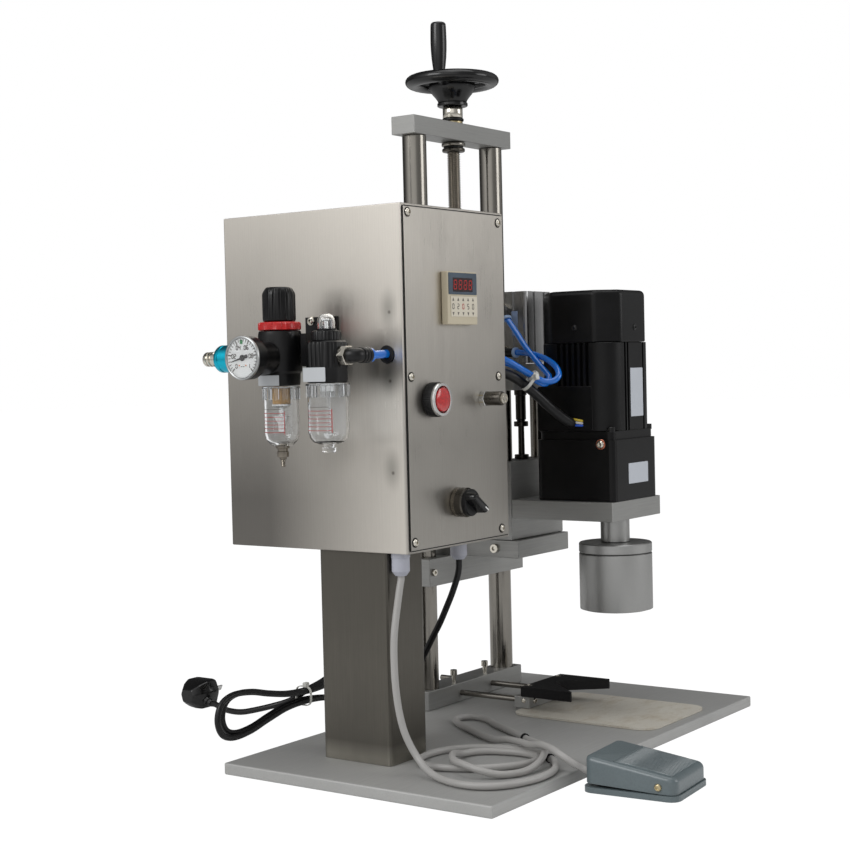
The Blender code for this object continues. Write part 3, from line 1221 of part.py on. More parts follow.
def make_gauge(sweep_axis):
    """The pressure gauge and its needle, facing away from the cabinet."""
    at = (GAUGE_FACE_X, FILTER_Y, AIR_Z)
    stem_end = GAUGE_FACE_X - (AIR_X - AIR_BODY_RADIUS) - 0.003
    turned("gauge_case", [
        (0.0165, 0.0016), (GAUGE_RADIUS - 0.001, 0.0016), (GAUGE_RADIUS, 0.0006),
        (GAUGE_RADIUS, -GAUGE_DEEP), (GAUGE_STEM_RADIUS, -GAUGE_DEEP),
        (GAUGE_STEM_RADIUS, stem_end), (0, stem_end), (0, -0.0022), (0.0165, -0.0022),
    ], ((0.7, 0.7, 0.7), 0.35, 0.6), at, axis="-X", steps=36)
    needle = block(
        "gauge_needle",
        (GAUGE_FACE_X + 0.0004, FILTER_Y - 0.0008, AIR_Z - 0.004),
        (GAUGE_FACE_X + 0.0004 + NEEDLE_THICK, FILTER_Y + 0.0008, AIR_Z + NEEDLE_LONG),
        (BLACK, 0.4), parent=sweep_axis,
    )
    shift = Vector((0, 0, (NEEDLE_LONG - 0.004) / 2))
    for vertex in needle.data.vertices:
        vertex.co += shift
    needle.location -= shift
    needle.rotation_euler = (NEEDLE_TURN, 0, 0)
    hub = turned_object("needle_hub", rod_profile(0.0026, -0.0019, 0.0006), "-X", 20)
    join(needle, as_cutter(hub, at))


def make_shutoff(slide_axis):
    """The inlet's shut-off valve: a nickel body and a blue sleeve that slides along it."""
    at = (AIR_X, 0, AIR_Z)
    start = FILTER_Y + AIR_BODY_RADIUS - 0.003
    flange = SLEEVE_FROM - 0.008
    turned("shutoff_body", [
        (0, SHUTOFF_END), (SHUTOFF_RADIUS - 0.001, SHUTOFF_END), (SHUTOFF_RADIUS, SHUTOFF_END - 0.001),
        (SHUTOFF_RADIUS, flange), (0.0105, flange), (0.0105, flange - 0.006),
        (SHUTOFF_RADIUS, flange - 0.006), (SHUTOFF_RADIUS, start), (0, start),
    ], ((0.6, 0.57, 0.5), 0.25, 1.0), at, axis="+Y", steps=28)
    inner = SHUTOFF_RADIUS + RUN
    top = SLEEVE_FROM + SLEEVE_LONG
    turned("shutoff_sleeve", [
        (inner, top), (SLEEVE_RADIUS - 0.0015, top), (SLEEVE_RADIUS, top - 0.0015),
        (SLEEVE_RADIUS, SLEEVE_FROM + 0.008), (SLEEVE_RADIUS - 0.001, SLEEVE_FROM + 0.007),
        (SLEEVE_RADIUS - 0.001, SLEEVE_FROM), (inner, SLEEVE_FROM),
    ], ((0.02, 0.45, 0.60), 0.25, 0.9), at, axis="+Y", steps=32, parent=slide_axis)


def make_elbow():
    """The outlet fitting: a brass nut, then a black elbow with its short hose into the cabinet."""
    start = OILER_Y - OILER_RADIUS + 0.003
    seat = OILER_RADIUS - OILER_Y + SEAT
    nut = turned("outlet_elbow", [
        (0, -ELBOW_Y + ELBOW_RADIUS), (ELBOW_RADIUS - 0.002, -ELBOW_Y + ELBOW_RADIUS),
        (ELBOW_RADIUS, -ELBOW_Y + ELBOW_RADIUS - 0.002), (ELBOW_RADIUS, -ELBOW_Y - ELBOW_RADIUS),
        (ELBOW_NUT_RADIUS, -ELBOW_Y - ELBOW_RADIUS), (ELBOW_NUT_RADIUS, seat),
        (ELBOW_STEM, seat), (ELBOW_STEM, -start), (0, -start),
    ], ((0.5, 0.42, 0.25), 0.3, 0.8), (AIR_X, 0, AIR_Z), axis="-Y", steps=24)
    outlet = turned_object("elbow_outlet", [
        (0, 0.062), (AIR_HOSE / 2, 0.062), (AIR_HOSE / 2, ELBOW_LONG), (ELBOW_RADIUS, ELBOW_LONG),
        (ELBOW_RADIUS, 0), (0, 0),
    ], "+X", 24)
    join(nut, as_cutter(outlet, (AIR_X, ELBOW_Y, AIR_Z)))


# ---------------------------------------------------------------- foot pedal

def make_pedal(tread_axis):
    """The foot pedal: a tray with two ears and their pin, and the tread that tips on it."""
    frame = pivot("pedal_frame", PEDAL_AT, turn=PEDAL_TURN)

    def local(obj, parent, at):
        obj.location = at
        obj.parent = parent
        return obj

    tray = bpy.data.objects.new("pedal_base", slab_mesh(
        "pedal_base", [rounded(rectangle(PEDAL_WIDE, PEDAL_LONG), PEDAL_CORNER, 4)], TRAY_THICK,
    ))
    put(tray, ((0.10, 0.15, 0.18), 0.5), (0, 0, 0))
    local(tray, frame, (0, 0, TRAY_THICK / 2))
    half = PEDAL_WIDE / 2 - TREAD_INSET
    inside = half - TREAD_WALL
    ear_x = inside - 0.001 - EAR_THICK / 2
    for side in (-1, 1):
        ear = bpy.data.objects.new(f"ear_{side}", box_mesh(
            f"ear_{side}", (EAR_THICK, 0.012, PIVOT_Z + PIVOT_RADIUS),
        ))
        join(tray, local(as_cutter(ear), frame, (
            side * ear_x, PIVOT_Y, (PIVOT_Z + PIVOT_RADIUS) / 2 + 0.0015,
        )))
    pin = turned_object("pivot_pin", rod_profile(PIVOT_RADIUS, -half + 0.0002, half - 0.0002), "+X", 20)
    join(tray, local(as_cutter(pin), frame, (0, PIVOT_Y, PIVOT_Z)))
    local(tread_axis, frame, (0, PIVOT_Y, PIVOT_Z))
    low = TRAY_THICK + TREAD_GAP
    reach = PEDAL_LONG / 2 - TREAD_INSET
    side_view = [
        (-reach, low), (reach, low), (reach, TREAD_BACK_TOP), (-reach, TREAD_FRONT_TOP),
    ]
    tread = bpy.data.objects.new("pedal_tread", slab_mesh(
        "pedal_tread", [rounded(side_view, [0, 0, 0.003, 0.004], 3)], 2 * half,
    ))
    stand = (pi / 2, 0, pi / 2)
    put(tread, ((0.12, 0.17, 0.20), 0.45), (0, 0, 0))
    tread.rotation_euler = stand
    local(tread, tread_axis, (0, -PIVOT_Y, -PIVOT_Z))
    soften(tread, 0.0018)
    wall = TREAD_WALL
    inner_view = [
        (-reach + wall, low - 0.01), (reach - wall, low - 0.01),
        (reach - wall, TREAD_BACK_TOP - wall - 0.0006), (-reach + wall, TREAD_FRONT_TOP - wall),
    ]
    hollow = bpy.data.objects.new("tread_hollow", slab_mesh(
        "tread_hollow", [inner_view], 2 * inside,
    ))
    hollow.rotation_euler = stand
    cut(tread, local(as_cutter(hollow), frame, (0, 0, 0)))
    bore = turned_object("pivot_bore", rod_profile(PIVOT_RADIUS + RUN, -half - 0.002, half + 0.002), "+X", 20)
    cut(tread, local(as_cutter(bore), frame, (0, PIVOT_Y, PIVOT_Z)))
    notch = bpy.data.objects.new("cord_notch", box_mesh(
        "cord_notch", (PEDAL_CORD + 0.003, 0.012, PEDAL_CORD + 0.012),
    ))
    cut(tread, local(as_cutter(notch), frame, (CLAMP_X, reach, CLAMP_Z - 0.0015)))
    clamp_high = CLAMP_Z + PEDAL_CORD / 2
    clamp = bpy.data.objects.new("cord_clamp", box_mesh(
        "cord_clamp", (PEDAL_CORD + 0.004, CLAMP_LONG, clamp_high),
    ))
    join(tray, local(as_cutter(clamp), frame, (
        CLAMP_X, CLAMP_Y - SEAT - CLAMP_LONG / 2, clamp_high / 2 + 0.0015,
    )))


# ---------------------------------------------------------------- glands, cords and plug

def make_glands():
    """The two nylon glands under the cabinet."""
    for name, (x, y), tint in (
        ("pedal_cable_gland", PEDAL_GLAND, (0.42, 0.42, 0.50)),
        ("mains_cable_gland", MAINS_GLAND, (0.42, 0.42, 0.50)),
    ):
        top = CAB_LOW - SEAT
        low = top - GLAND_LONG
        turned(name, [
            (0, CAB_LOW + 0.008), (GLAND_STEM, CAB_LOW + 0.008), (GLAND_STEM, top),
            (GLAND_RADIUS + GLAND_FLANGE, top), (GLAND_RADIUS + GLAND_FLANGE, top - 0.004),
            (GLAND_RADIUS, top - 0.0042), (GLAND_RADIUS, low + 0.004),
            (GLAND_RADIUS - 0.003, low), (0, low),
        ], (tint, 0.45), (x, y, 0), steps=28)


def from_gland(route, x, y):
    """The route with its first point just under its gland."""
    return [(x, y, CAB_LOW - SEAT - GLAND_LONG - SEAT)] + route[1:]


def make_cords():
    """The pedal's cord, the mains lead with its hank and plug, the hoses and the motor's cord."""
    grey, black = ((0.45, 0.43, 0.42), 0.5), (BLACK, 0.4)
    cord("pedal_cable", from_gland(PEDAL_ROUTE, *PEDAL_GLAND), PEDAL_CORD, grey, spacing=3.0)
    cord("mains_cable", from_gland(MAINS_ROUTE, *MAINS_GLAND), MAINS_CORD, black)
    cord("mains_tail", TAIL_ROUTE, MAINS_CORD, black, spacing=2.0)
    cord("air_hose_upper", UPPER_HOSE_ROUTE, AIR_HOSE, (BLUE, 0.3), spacing=2.2)
    cord("air_hose_lower", LOWER_HOSE_ROUTE, AIR_HOSE, (BLUE, 0.3), spacing=2.2)
    cord("motor_cable", MOTOR_CORD_ROUTE, MOTOR_CORD, black, spacing=1.5)
    make_hank(black)
    make_plug()


def make_hank(finish):
    """The lead's hank, standing on edge and drawn in at its middle by a tie."""
    half = (HANK_RIGHT - HANK_LEFT) / 2
    end = HANK_HIGH / 2 - THIN * 4
    corners = [
        (-half, 0), (half, 0), (half, HANK_HIGH), (HANK_SHOULDER, HANK_HIGH), (0, HANK_WAIST),
        (-HANK_SHOULDER, HANK_HIGH), (-half, HANK_HIGH),
    ]
    outline = rounded(corners, [end, end, end, HANK_BEND, HANK_BEND, HANK_BEND, end], 6)
    hank = bpy.data.objects.new("mains_hank", slab_mesh("mains_hank", [outline], HANK_DEPTH))
    put(hank, finish, ((HANK_LEFT + HANK_RIGHT) / 2, HANK_Y, HANK_LOW))
    hank.rotation_euler = (pi / 2, 0, 0)


def make_plug():
    """The mains plug, lying on its side, with three flat pins."""
    x, y, z = PLUG_AT
    half = PLUG_SIDE / 2
    profile = [
        (-half, -half), (half, -half), (half, half * 0.1), (0.006, half), (-0.006, half), (-half, half * 0.1),
    ]
    body = bpy.data.objects.new("mains_plug", slab_mesh(
        "mains_plug", [rounded(profile, [0.005, 0.005, 0.008, 0.004, 0.004, 0.008], 3)], PLUG_LONG,
    ))
    put(body, (BLACK, 0.4), (x, y, z))
    body.rotation_euler = (pi / 2, 0, 0)
    soften(body, 0.0025)
    for i, (dy, dz) in enumerate(((-0.008, 0.003), (0.008, 0.003), (0, -0.007))):
        size = (PIN_LONG + 0.006, 0.0018, 0.0065)
        pin = bpy.data.objects.new(f"plug_pin_{i}", box_mesh(f"plug_pin_{i}", size))
        join(body, as_cutter(pin, (x + half + PIN_LONG / 2 - 0.003, y + dy, z + dz)))


# ---------------------------------------------------------------- assembly

def main():
    elevator = pivot("elevator_axis", (0, 0, ELEVATOR_LOW))
    press = pivot("press_axis", (0, ROD_AXIS_Y, BLOCK_LOW), elevator)
    spindle = pivot("spindle_axis", (0, SPINDLE_Y, CHUCK_LOW), press)
    stop = pivot("bottle_stop_axis", (0, CARRIER_BACK, STOP_ROD_Z))
    make_base()
    make_post_frame()
    make_lead_screw()
    make_elevator(elevator)
    make_press_slide(press)
    make_spindle(spindle)
    make_bottle_stop(stop)
    make_cabinet()
    make_timer()
    make_button(pivot("button_axis", (BUTTON_AT[0], PANEL_FRONT, BUTTON_AT[1])))
    make_selector(pivot("selector_axis", (SELECTOR_AT[0], PANEL_FRONT, SELECTOR_AT[1])))
    make_throttle(pivot("throttle_axis", (THROTTLE_AT[0], PANEL_FRONT, THROTTLE_AT[1])))
    make_air_unit()
    make_regulator(pivot("regulator_axis", (AIR_X, FILTER_Y, REGULATOR_LOW)))
    make_gauge(pivot("needle_axis", (GAUGE_FACE_X, FILTER_Y, AIR_Z)))
    make_shutoff(pivot("shutoff_axis", (AIR_X, SLEEVE_FROM, AIR_Z)))
    make_elbow()
    make_pedal(pivot("pedal_axis", (0, 0, 0)))
    make_glands()
    make_cords()


clear_scene()
PARTS = new_collection("capping_machine")
CUTTERS = new_collection("cutters", hidden=True)
main()
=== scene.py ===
"""The looks of a bench capping machine: finishes, cords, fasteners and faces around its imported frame.

Run as a script. Places are in metres in the machine's own axes: +X is the operator's right, -Y the operator's
side and +Z up, and the origin is on the lead screw's axis at the underside of the base plate.
"""
from math import cos, pi, radians, sin

import bmesh
import bpy
import numpy as np
from mathutils import Matrix, Vector


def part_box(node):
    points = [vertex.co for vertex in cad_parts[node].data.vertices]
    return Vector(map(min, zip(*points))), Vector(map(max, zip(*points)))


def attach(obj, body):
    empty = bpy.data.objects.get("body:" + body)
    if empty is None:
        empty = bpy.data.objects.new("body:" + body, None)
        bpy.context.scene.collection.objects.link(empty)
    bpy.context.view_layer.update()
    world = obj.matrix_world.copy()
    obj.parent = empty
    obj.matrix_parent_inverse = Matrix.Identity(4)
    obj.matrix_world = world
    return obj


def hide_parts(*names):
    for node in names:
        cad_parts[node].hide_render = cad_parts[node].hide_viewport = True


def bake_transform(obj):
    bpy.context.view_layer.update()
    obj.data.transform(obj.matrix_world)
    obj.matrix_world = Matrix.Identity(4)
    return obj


bl_info = {
    "name": "Capping machine looks",
    "version": (1, 0, 0),
    "blender": (4, 5, 0),
    "location": "3D View > Sidebar > Capping machine",
    "description": "Finishes, cords and small parts around a bench capping machine's frame",
    "category": "Object",
}

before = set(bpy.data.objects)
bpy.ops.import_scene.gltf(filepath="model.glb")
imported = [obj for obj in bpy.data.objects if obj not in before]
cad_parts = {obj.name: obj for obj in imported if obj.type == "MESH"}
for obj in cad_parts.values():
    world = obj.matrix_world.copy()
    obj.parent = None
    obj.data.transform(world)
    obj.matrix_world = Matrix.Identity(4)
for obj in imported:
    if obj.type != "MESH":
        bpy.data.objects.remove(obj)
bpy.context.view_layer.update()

UP, DOWN = (0, 0, 1), (0, 0, -1)
RIGHT, LEFT = (1, 0, 0), (-1, 0, 0)
BACK, FRONT = (0, 1, 0), (0, -1, 0)


def mm(*rows):
    """Rows of numbers in millimetres, as an array in metres."""
    return np.array(rows, float) * 0.001


# Places read from the frame, and the others that have to agree with it
BASE_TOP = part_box("base_plate")[1].z
SIDE_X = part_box("cabinet_shell")[0].x
PANEL_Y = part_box("front_panel")[0].y
AIR_X, AIR_Z = -0.350, 0.3805
FILTER_Y, OILER_Y, ELBOW_Y = -0.0468, -0.1000, -0.1310
SPINDLE_Y, ROD_Y = -0.1880, -0.0780
BUTTON_AT = (-0.2645, 0.3395)
SELECTOR_AT = (-0.2266, 0.2443)
THROTTLE_AT = (-0.1820, 0.3380)
PEDAL_AT, PEDAL_TURN = (-0.2115, -0.3300), radians(4.8)

# Routes of the cords
PEDAL_ROUTE = mm(
    (-290, -130, 183), (-290.2, -130, 179), (-294, -130.5, 169), (-303.2, -132, 141.7), (-307.1, -133, 125.2),
    (-309.5, -134.5, 108.5), (-311.3, -136.5, 91.5), (-312.3, -139, 75.6), (-312.8, -142, 62),
    (-312.5, -146, 48.5), (-311.3, -152, 35.6), (-311.6, -160.5, 25.2), (-315.6, -172, 18.3),
    (-321.6, -188.7, 14.8), (-328.2, -208.3, 14.6), (-328.5, -227.3, 14.6), (-321.5, -242.9, 14.6),
    (-309.3, -253, 14.6), (-292.4, -259.7, 14.6), (-274.7, -262.9, 14.6), (-255.1, -261.6, 14.6),
    (-236.8, -255, 14.6), (-219.8, -242.8, 14.6), (-205.5, -225.1, 14.6), (-198.6, -204.3, 14.6),
    (-199.4, -183, 14.6), (-205.7, -163.8, 14.6), (-215.4, -148.5, 14.6), (-227.4, -137.5, 14.6),
    (-241.7, -131.6, 14.6), (-257.2, -130.3, 14.6), (-273.8, -134.6, 14.6), (-286.2, -145.5, 14.6),
    (-290.6, -160.1, 14.6), (-286.8, -177.6, 14.6), (-277.1, -195.4, 14.6), (-264.6, -210.2, 14.6),
    (-250.2, -221.5, 14.6), (-236.7, -227.4, 14.6), (-222.2, -227.1, 14.6), (-211.6, -218.3, 14.6),
    (-208.5, -204, 14.6), (-210.7, -188.2, 14.6), (-216, -173.3, 14.6), (-225.5, -162, 14.6),
    (-239.2, -157.6, 15.2), (-254.2, -159.9, 18.5), (-270.2, -167.4, 21.4), (-284.9, -179.2, 21.4),
    (-293.6, -195.6, 21.4), (-294.7, -212.8, 18.6), (-287.5, -227.3, 15.3), (-273.5, -237.4, 14.6),
    (-257.8, -241.4, 15.4), (-241.5, -241.4, 18.6), (-225.8, -236.4, 21.4), (-209.2, -227.7, 21.4),
    (-193.2, -214.7, 20.6), (-176.5, -197.7, 17.2), (-160.4, -178.3, 14.8), (-146, -157.8, 14.6),
    (-133.2, -136.8, 14.6), (-119.8, -115.5, 14.6), (-108.5, -101.5, 14.6), (-101.8, -88.5, 14.6),
    (-102.2, -75.8, 14.6), (-110.4, -67.6, 14.6), (-121.6, -68.6, 14.6), (-131, -77, 14.6), (-140.7, -90, 14.6),
    (-150.3, -104.6, 14.6), (-159.8, -119.5, 14.6), (-168.3, -133.3, 14.6), (-178.4, -153.8, 15.4),
    (-188.5, -174.1, 19.6), (-200, -194.3, 22.2), (-211.5, -213.3, 24), (-221.9, -231, 28.2),
    (-230.7, -247.5, 28.4), (-235.2, -261, 24.4), (-233.2, -271.5, 18.5), (-229.8, -277.2, 15),
    (-228.1, -283.6, 12.5), (-227.3, -293.6, 12.5),
)
MAINS_ROUTE = mm(
    (-165, -107.5, 179), (-165, -107, 172), (-165.4, -105, 164), (-166.5, -99.3, 148.6), (-167.5, -93.6, 135.9),
    (-168.5, -86.2, 120.5), (-169.2, -78.7, 107.5), (-169.5, -71.5, 95.2), (-169, -62, 80), (-167, -50, 62),
    (-164, -36, 44.5), (-160, -21.5, 29.5), (-155.5, -7, 20), (-151, 8, 15.6), (-147, 24, 14.9), (-143.5, 40, 12),
    (-140.8, 56, 7), (-139, 71, 5), (-138.3, 83, 8.5), (-138, 92, 11), (-138, 97.7, 11),
)
TAIL_ROUTE = mm(
    (-155, 122.4, 15.8), (-155, 126.4, 15.8), (-156, 132, 15.2), (-158.4, 143, 13.2), (-162.6, 160, 8.6),
    (-165.4, 178, 4.8), (-165.4, 195, 4.3), (-163.6, 208, 5.7), (-162, 219, 8.3), (-162, 225, 8.3),
)
UPPER_HOSE_ROUTE = mm(
    (-40, -87.9, 421.1), (-41.5, -89.2, 417), (-45, -97.3, 409.4), (-50, -108.8, 397.7), (-54.5, -119.8, 386.2),
    (-57, -129.6, 376.7), (-58.5, -138.7, 367.5), (-60, -145.7, 361.3), (-62.5, -151.6, 355.9),
    (-67, -151.8, 350.6), (-73, -151.8, 349.2), (-78.2, -148.6, 351.2), (-82.7, -145.3, 355.2),
    (-86.6, -142.2, 359.4), (-92, -137.3, 363.9), (-100.9, -130.8, 369), (-110, -124.5, 372.2),
    (-118.6, -117.5, 372.6), (-127.5, -112, 372), (-138.5, -110.5, 372), (-147, -110.5, 372),
)
LOWER_HOSE_ROUTE = mm(
    (-40, -94.3, 381.3), (-43, -105.7, 381.1), (-46.5, -116.4, 380.3), (-49, -126.4, 378.7),
    (-53.2, -137.3, 376.1), (-58.2, -147, 373.2), (-62.6, -156.2, 369), (-67.5, -164.1, 363.6),
    (-72.8, -168.7, 357.6), (-77.6, -167.6, 353.2), (-81.2, -163.2, 351.6), (-84.4, -157.4, 352.4),
    (-87.6, -152, 355.4), (-91.5, -147.1, 359.4), (-97.5, -141.9, 364.1), (-107, -135.7, 370.7),
    (-114.6, -130, 375.4), (-121.5, -123.6, 379.4), (-129, -119, 381.5), (-138.5, -117.7, 382),
    (-147, -117.7, 382),
)
MOTOR_CORD_ROUTE = mm(
    (-44.8, -167.5, 309.6), (-48.8, -167.5, 309.6), (-56.5, -162.5, 315), (-64.5, -153.6, 325),
    (-74, -146.4, 336), (-86, -139.8, 346.8), (-98, -135.2, 354.8), (-110, -132, 359.8), (-122, -130.5, 361.6),
    (-138.5, -130.3, 362), (-147, -130.3, 362),
)

# Camera
CAMERA_AT = (-1.46645, -0.99852, 0.37033)
CAMERA_AZIMUTH, CAMERA_RISE, CAMERA_ROLL = radians(-54.53), radians(2.08), radians(-1.37)
CAMERA_FOCUS, IMAGE_SIDE, SENSOR = 1640.8, 850, 36.0

# Floor: half its side, its height, the strength of its own light and that light's share
FLOOR_HALF, FLOOR_Z, FLOOR_GLOW, FLOOR_SHARE = 12, -0.0003, 1.07, 0.93


# ---------------------------------------------------------------- settings

def colour_setting(name, description, value):
    return bpy.props.FloatVectorProperty(
        name=name, description=description, default=value, size=3, subtype="COLOR", min=0, max=1,
    )


def length_setting(name, description, value):
    return bpy.props.FloatProperty(
        name=name, description=description, default=value, min=0, subtype="DISTANCE", unit="LENGTH",
        precision=5,
    )


class MetalSettings(bpy.types.PropertyGroup):
    """Colours of the bare metals."""
    stainless: colour_setting("Stainless sheet", "The cabinet and its panel", (0.70, 0.662, 0.602))
    # The column's dark colour is partly its own and partly painted shade for the shadow on its faces
    column: colour_setting("Column sheet", "The darker sheet of the column", (0.118, 0.110, 0.094))
    plate: colour_setting("Base plate", "The brushed base plate", (0.45, 0.45, 0.44))
    aluminium: colour_setting("Milled aluminium", "The bars and plates", (0.33, 0.33, 0.32))
    blasted: colour_setting("Blasted aluminium", "The chuck and its shaft collar", (0.37, 0.37, 0.363))
    chrome: colour_setting("Hard chrome", "The posts and rods", (0.25, 0.236, 0.212))
    nickel: colour_setting("Nickel", "Fittings and screws", (0.50, 0.47, 0.42))
    brass: colour_setting("Brass", "The throttle valve and the pedal's bolt", (0.72, 0.50, 0.22))
    sleeve: colour_setting("Shut-off sleeve", "The anodised sleeve", (0.015, 0.45, 0.62))


class PlasticSettings(bpy.types.PropertyGroup):
    """Colours of the plastics, rubber and paint."""
    black: colour_setting("Black mouldings", "The handwheel, the knobs and the air unit", (0.0038, 0.0038, 0.0042))
    motor: colour_setting("Motor paint", "The gear motor's satin paint", (0.0028, 0.0028, 0.0031))
    red: colour_setting("Red ring", "The regulator's locking ring", (0.50, 0.012, 0.012))
    lens: colour_setting("Start lens", "The start button's lens", (0.62, 0.004, 0.006))
    timer: colour_setting("Timer case", "The timer's beige moulding", (0.56, 0.50, 0.37))
    window: colour_setting("Timer window", "The dark window over the display", (0.060, 0.085, 0.115))
    pad: colour_setting("Bottle pad", "The worn sheet under the bottle", (0.60, 0.57, 0.50))
    pedal: colour_setting("Pedal paint", "The hammered paint on the pedal", (0.108, 0.138, 0.148))
    gland: colour_setting("Glands", "The nylon cable glands", (0.40, 0.41, 0.47))
    hose: colour_setting("Air hose", "The polyurethane hose", (0.002, 0.15, 0.62))
    pedal_cord: colour_setting("Pedal cord", "The light grey sheath", (0.37, 0.362, 0.35))
    mains_cord: colour_setting("Mains lead", "The black sheath", (0.006, 0.006, 0.0065))
    clear: colour_setting("Bowls", "The clear bowls of the air unit", (0.93, 0.94, 0.95))


class DetailSettings(bpy.types.PropertyGroup):
    """Sizes of the details."""
    pedal_cord: length_setting("Pedal cord", "Its diameter", 0.0064)
    mains_cord: length_setting("Mains lead", "Its diameter", 0.0062)
    air_hose: length_setting("Air hose", "Its diameter", 0.0060)
    motor_cord: length_setting("Motor cord", "Its diameter", 0.0100)
    thread_pitch: length_setting("Thread pitch", "Rise of the lead screw in one turn", 0.0025)
    thread_depth: length_setting("Thread depth", "From crest to root", 0.0012)
    knob_flutes: bpy.props.IntProperty(name="Knob flutes", description="On the pressure knob", default=16, min=3)
    ring_bumps: bpy.props.IntProperty(name="Ring bumps", description="On the red ring", default=14, min=3)
    hank_turns: bpy.props.IntProperty(
        name="Hank turns", description="Whole turns of the mains lead's hank", default=2, min=1,
    )


class StudioSettings(bpy.types.PropertyGroup):
    """Light and backdrop."""
    key: bpy.props.FloatProperty(name="Key lamp", description="From behind on the left", default=26, unit="POWER")
    fill: bpy.props.FloatProperty(name="Fill lamp", description="From the operator's side", default=13, unit="POWER")
    top: bpy.props.FloatProperty(name="Top lamp", description="From above", default=11, unit="POWER")
    ambient: bpy.props.FloatProperty(name="Ambient", description="Even light from all round", default=0.42, min=0)
    floor: colour_setting("Floor", "The pale floor", (0.92, 0.92, 0.92))


def settings():
    scene = bpy.context.scene
    return scene.capping_metals, scene.capping_plastics, scene.capping_details, scene.capping_studio


# ---------------------------------------------------------------- surfaces

def basis(axis, across=None):
    """Three unit vectors, as rows: two square to the axis, then the axis. Across leans the first one its way."""
    along = np.array(axis, float) / np.linalg.norm(axis)
    hint = np.array(across if across is not None else (RIGHT if abs(along[0]) < 0.9 else BACK), float)
    first = hint - along * (hint @ along)
    first /= np.linalg.norm(first)
    return np.array([first, np.cross(along, first), along])


def skin(grid, ring=False):
    """Four-sided faces between neighbours of a grid of points whose columns run round. A ring's last row meets
    its first; otherwise a flat face closes each end row."""
    rows, columns = grid.shape[:2]
    index = np.arange(rows * columns).reshape(rows, columns)
    here = index if ring else index[:-1]
    above = np.roll(index, -1, 0) if ring else index[1:]
    quads = np.stack([here, np.roll(here, -1, 1), np.roll(above, -1, 1), above], -1).reshape(-1, 4)
    caps = [] if ring else [index[0, ::-1], index[-1]]
    return grid.reshape(-1, 3), quads, caps


def turned(profile, at=(0, 0, 0), axis=UP, steps=48, wave=None, ring=False):
    """A profile of (radius, height) carried round an axis: at + radius times wave times (cos, sin) across the
    axis + height along it. Wave is 1, or a function of the angle and the height."""
    profile = np.array(profile, float)
    angle = np.arange(steps) * 2 * pi / steps
    radius = np.repeat(profile[:, :1], steps, 1)
    height = np.repeat(profile[:, 1:2], steps, 1)
    if wave is not None:
        radius = radius * wave(angle, height)
    local = np.stack([radius * np.cos(angle), radius * np.sin(angle), height], -1)
    return skin(local @ basis(axis) + np.array(at), ring)


def disc_ring(outer, inner, low, high, at, axis=UP, steps=48, edge=0.0003, wave=None):
    """A washer: a rectangle with small chamfers carried round an axis."""
    return turned([
        (inner, low), (outer - edge, low), (outer, low + edge), (outer, high - edge), (outer - edge, high),
        (inner, high),
    ], at, axis, steps, wave, ring=True)


def hexagon(angle, height=None):
    """A wave that makes a hexagon: the distance to its edge in each direction, where its corners are at 1."""
    return cos(pi / 6) / np.cos(angle % (pi / 3) - pi / 6)


def flutes(count, depth, low=-9, high=9):
    """A wave that dips by depth, count times round, at heights between low and high."""
    def wave(angle, height):
        dip = np.clip(1.6 * np.cos(count * angle), 0, 1) * depth
        return 1 - dip * ((height > low) & (height < high))
    return wave


def tube(path, radius, steps=16):
    """Circles of the radius square to a path, each turned from the one before only as far as the bend asks."""
    path = np.array(path, float)
    radius = np.broadcast_to(np.asarray(radius, float), len(path))[:, None, None]
    along = np.gradient(path, axis=0)
    along /= np.linalg.norm(along, axis=1, keepdims=True)
    normal = np.empty_like(path)
    normal[0] = basis(along[0])[0]
    for i in range(1, len(path)):
        carried = normal[i - 1] - along[i] * (normal[i - 1] @ along[i])
        normal[i] = carried / np.linalg.norm(carried)
    other = np.cross(along, normal)
    angle = (np.arange(steps) * 2 * pi / steps)[None, :, None]
    rings = path[:, None] + radius * (np.cos(angle) * normal[:, None] + np.sin(angle) * other[:, None])
    return skin(rings)


def smooth_path(route, spacing=0.0018):
    """Evenly spaced points on the smooth curve through a route: a cubic between each two points, whose slope at
    a point is half the step from the point before it to the point after it."""
    points = np.array(route, float)
    points = np.vstack([2 * points[0] - points[1], points, 2 * points[-1] - points[-2]])
    a, b, c, d = (points[i:len(points) - 3 + i, None] for i in range(4))
    t = np.linspace(0, 1, 16, endpoint=False)[None, :, None]
    curve = 0.5 * (2 * b + (c - a) * t + (2 * a - 5 * b + 4 * c - d) * t ** 2 + (3 * b - a - 3 * c + d) * t ** 3)
    curve = np.vstack([curve.reshape(-1, 3), points[-2]])
    along = np.concatenate([[0], np.cumsum(np.linalg.norm(np.diff(curve, axis=0), axis=1))])
    even = np.linspace(0, along[-1], max(4, round(along[-1] / spacing)) + 1)
    return np.stack([np.interp(even, along, curve[:, k]) for k in range(3)], -1)


def path_length(path):
    return float(np.linalg.norm(np.diff(path, axis=0), axis=1).sum())


def rectangle(wide, deep, radius=0.0, steps=6):
    """A rectangle's outline, its corners quarter circles of the radius."""
    turn = np.linspace(0, pi / 2, steps) if radius else np.zeros(1)
    corners = []
    for k, (x, y) in enumerate(((1, 1), (-1, 1), (-1, -1), (1, -1))):
        angle = turn + k * pi / 2
        corners.append(np.stack([
            x * (wide / 2 - radius) + radius * np.cos(angle), y * (deep / 2 - radius) + radius * np.sin(angle),
        ], -1))
    return np.vstack(corners)


def inset(outline, distance):
    """The outline moved in by a distance along its normals."""
    along = np.roll(outline, -1, 0) - np.roll(outline, 1, 0)
    along /= np.linalg.norm(along, axis=1, keepdims=True)
    return outline + distance * np.stack([-along[:, 1], along[:, 0]], -1)


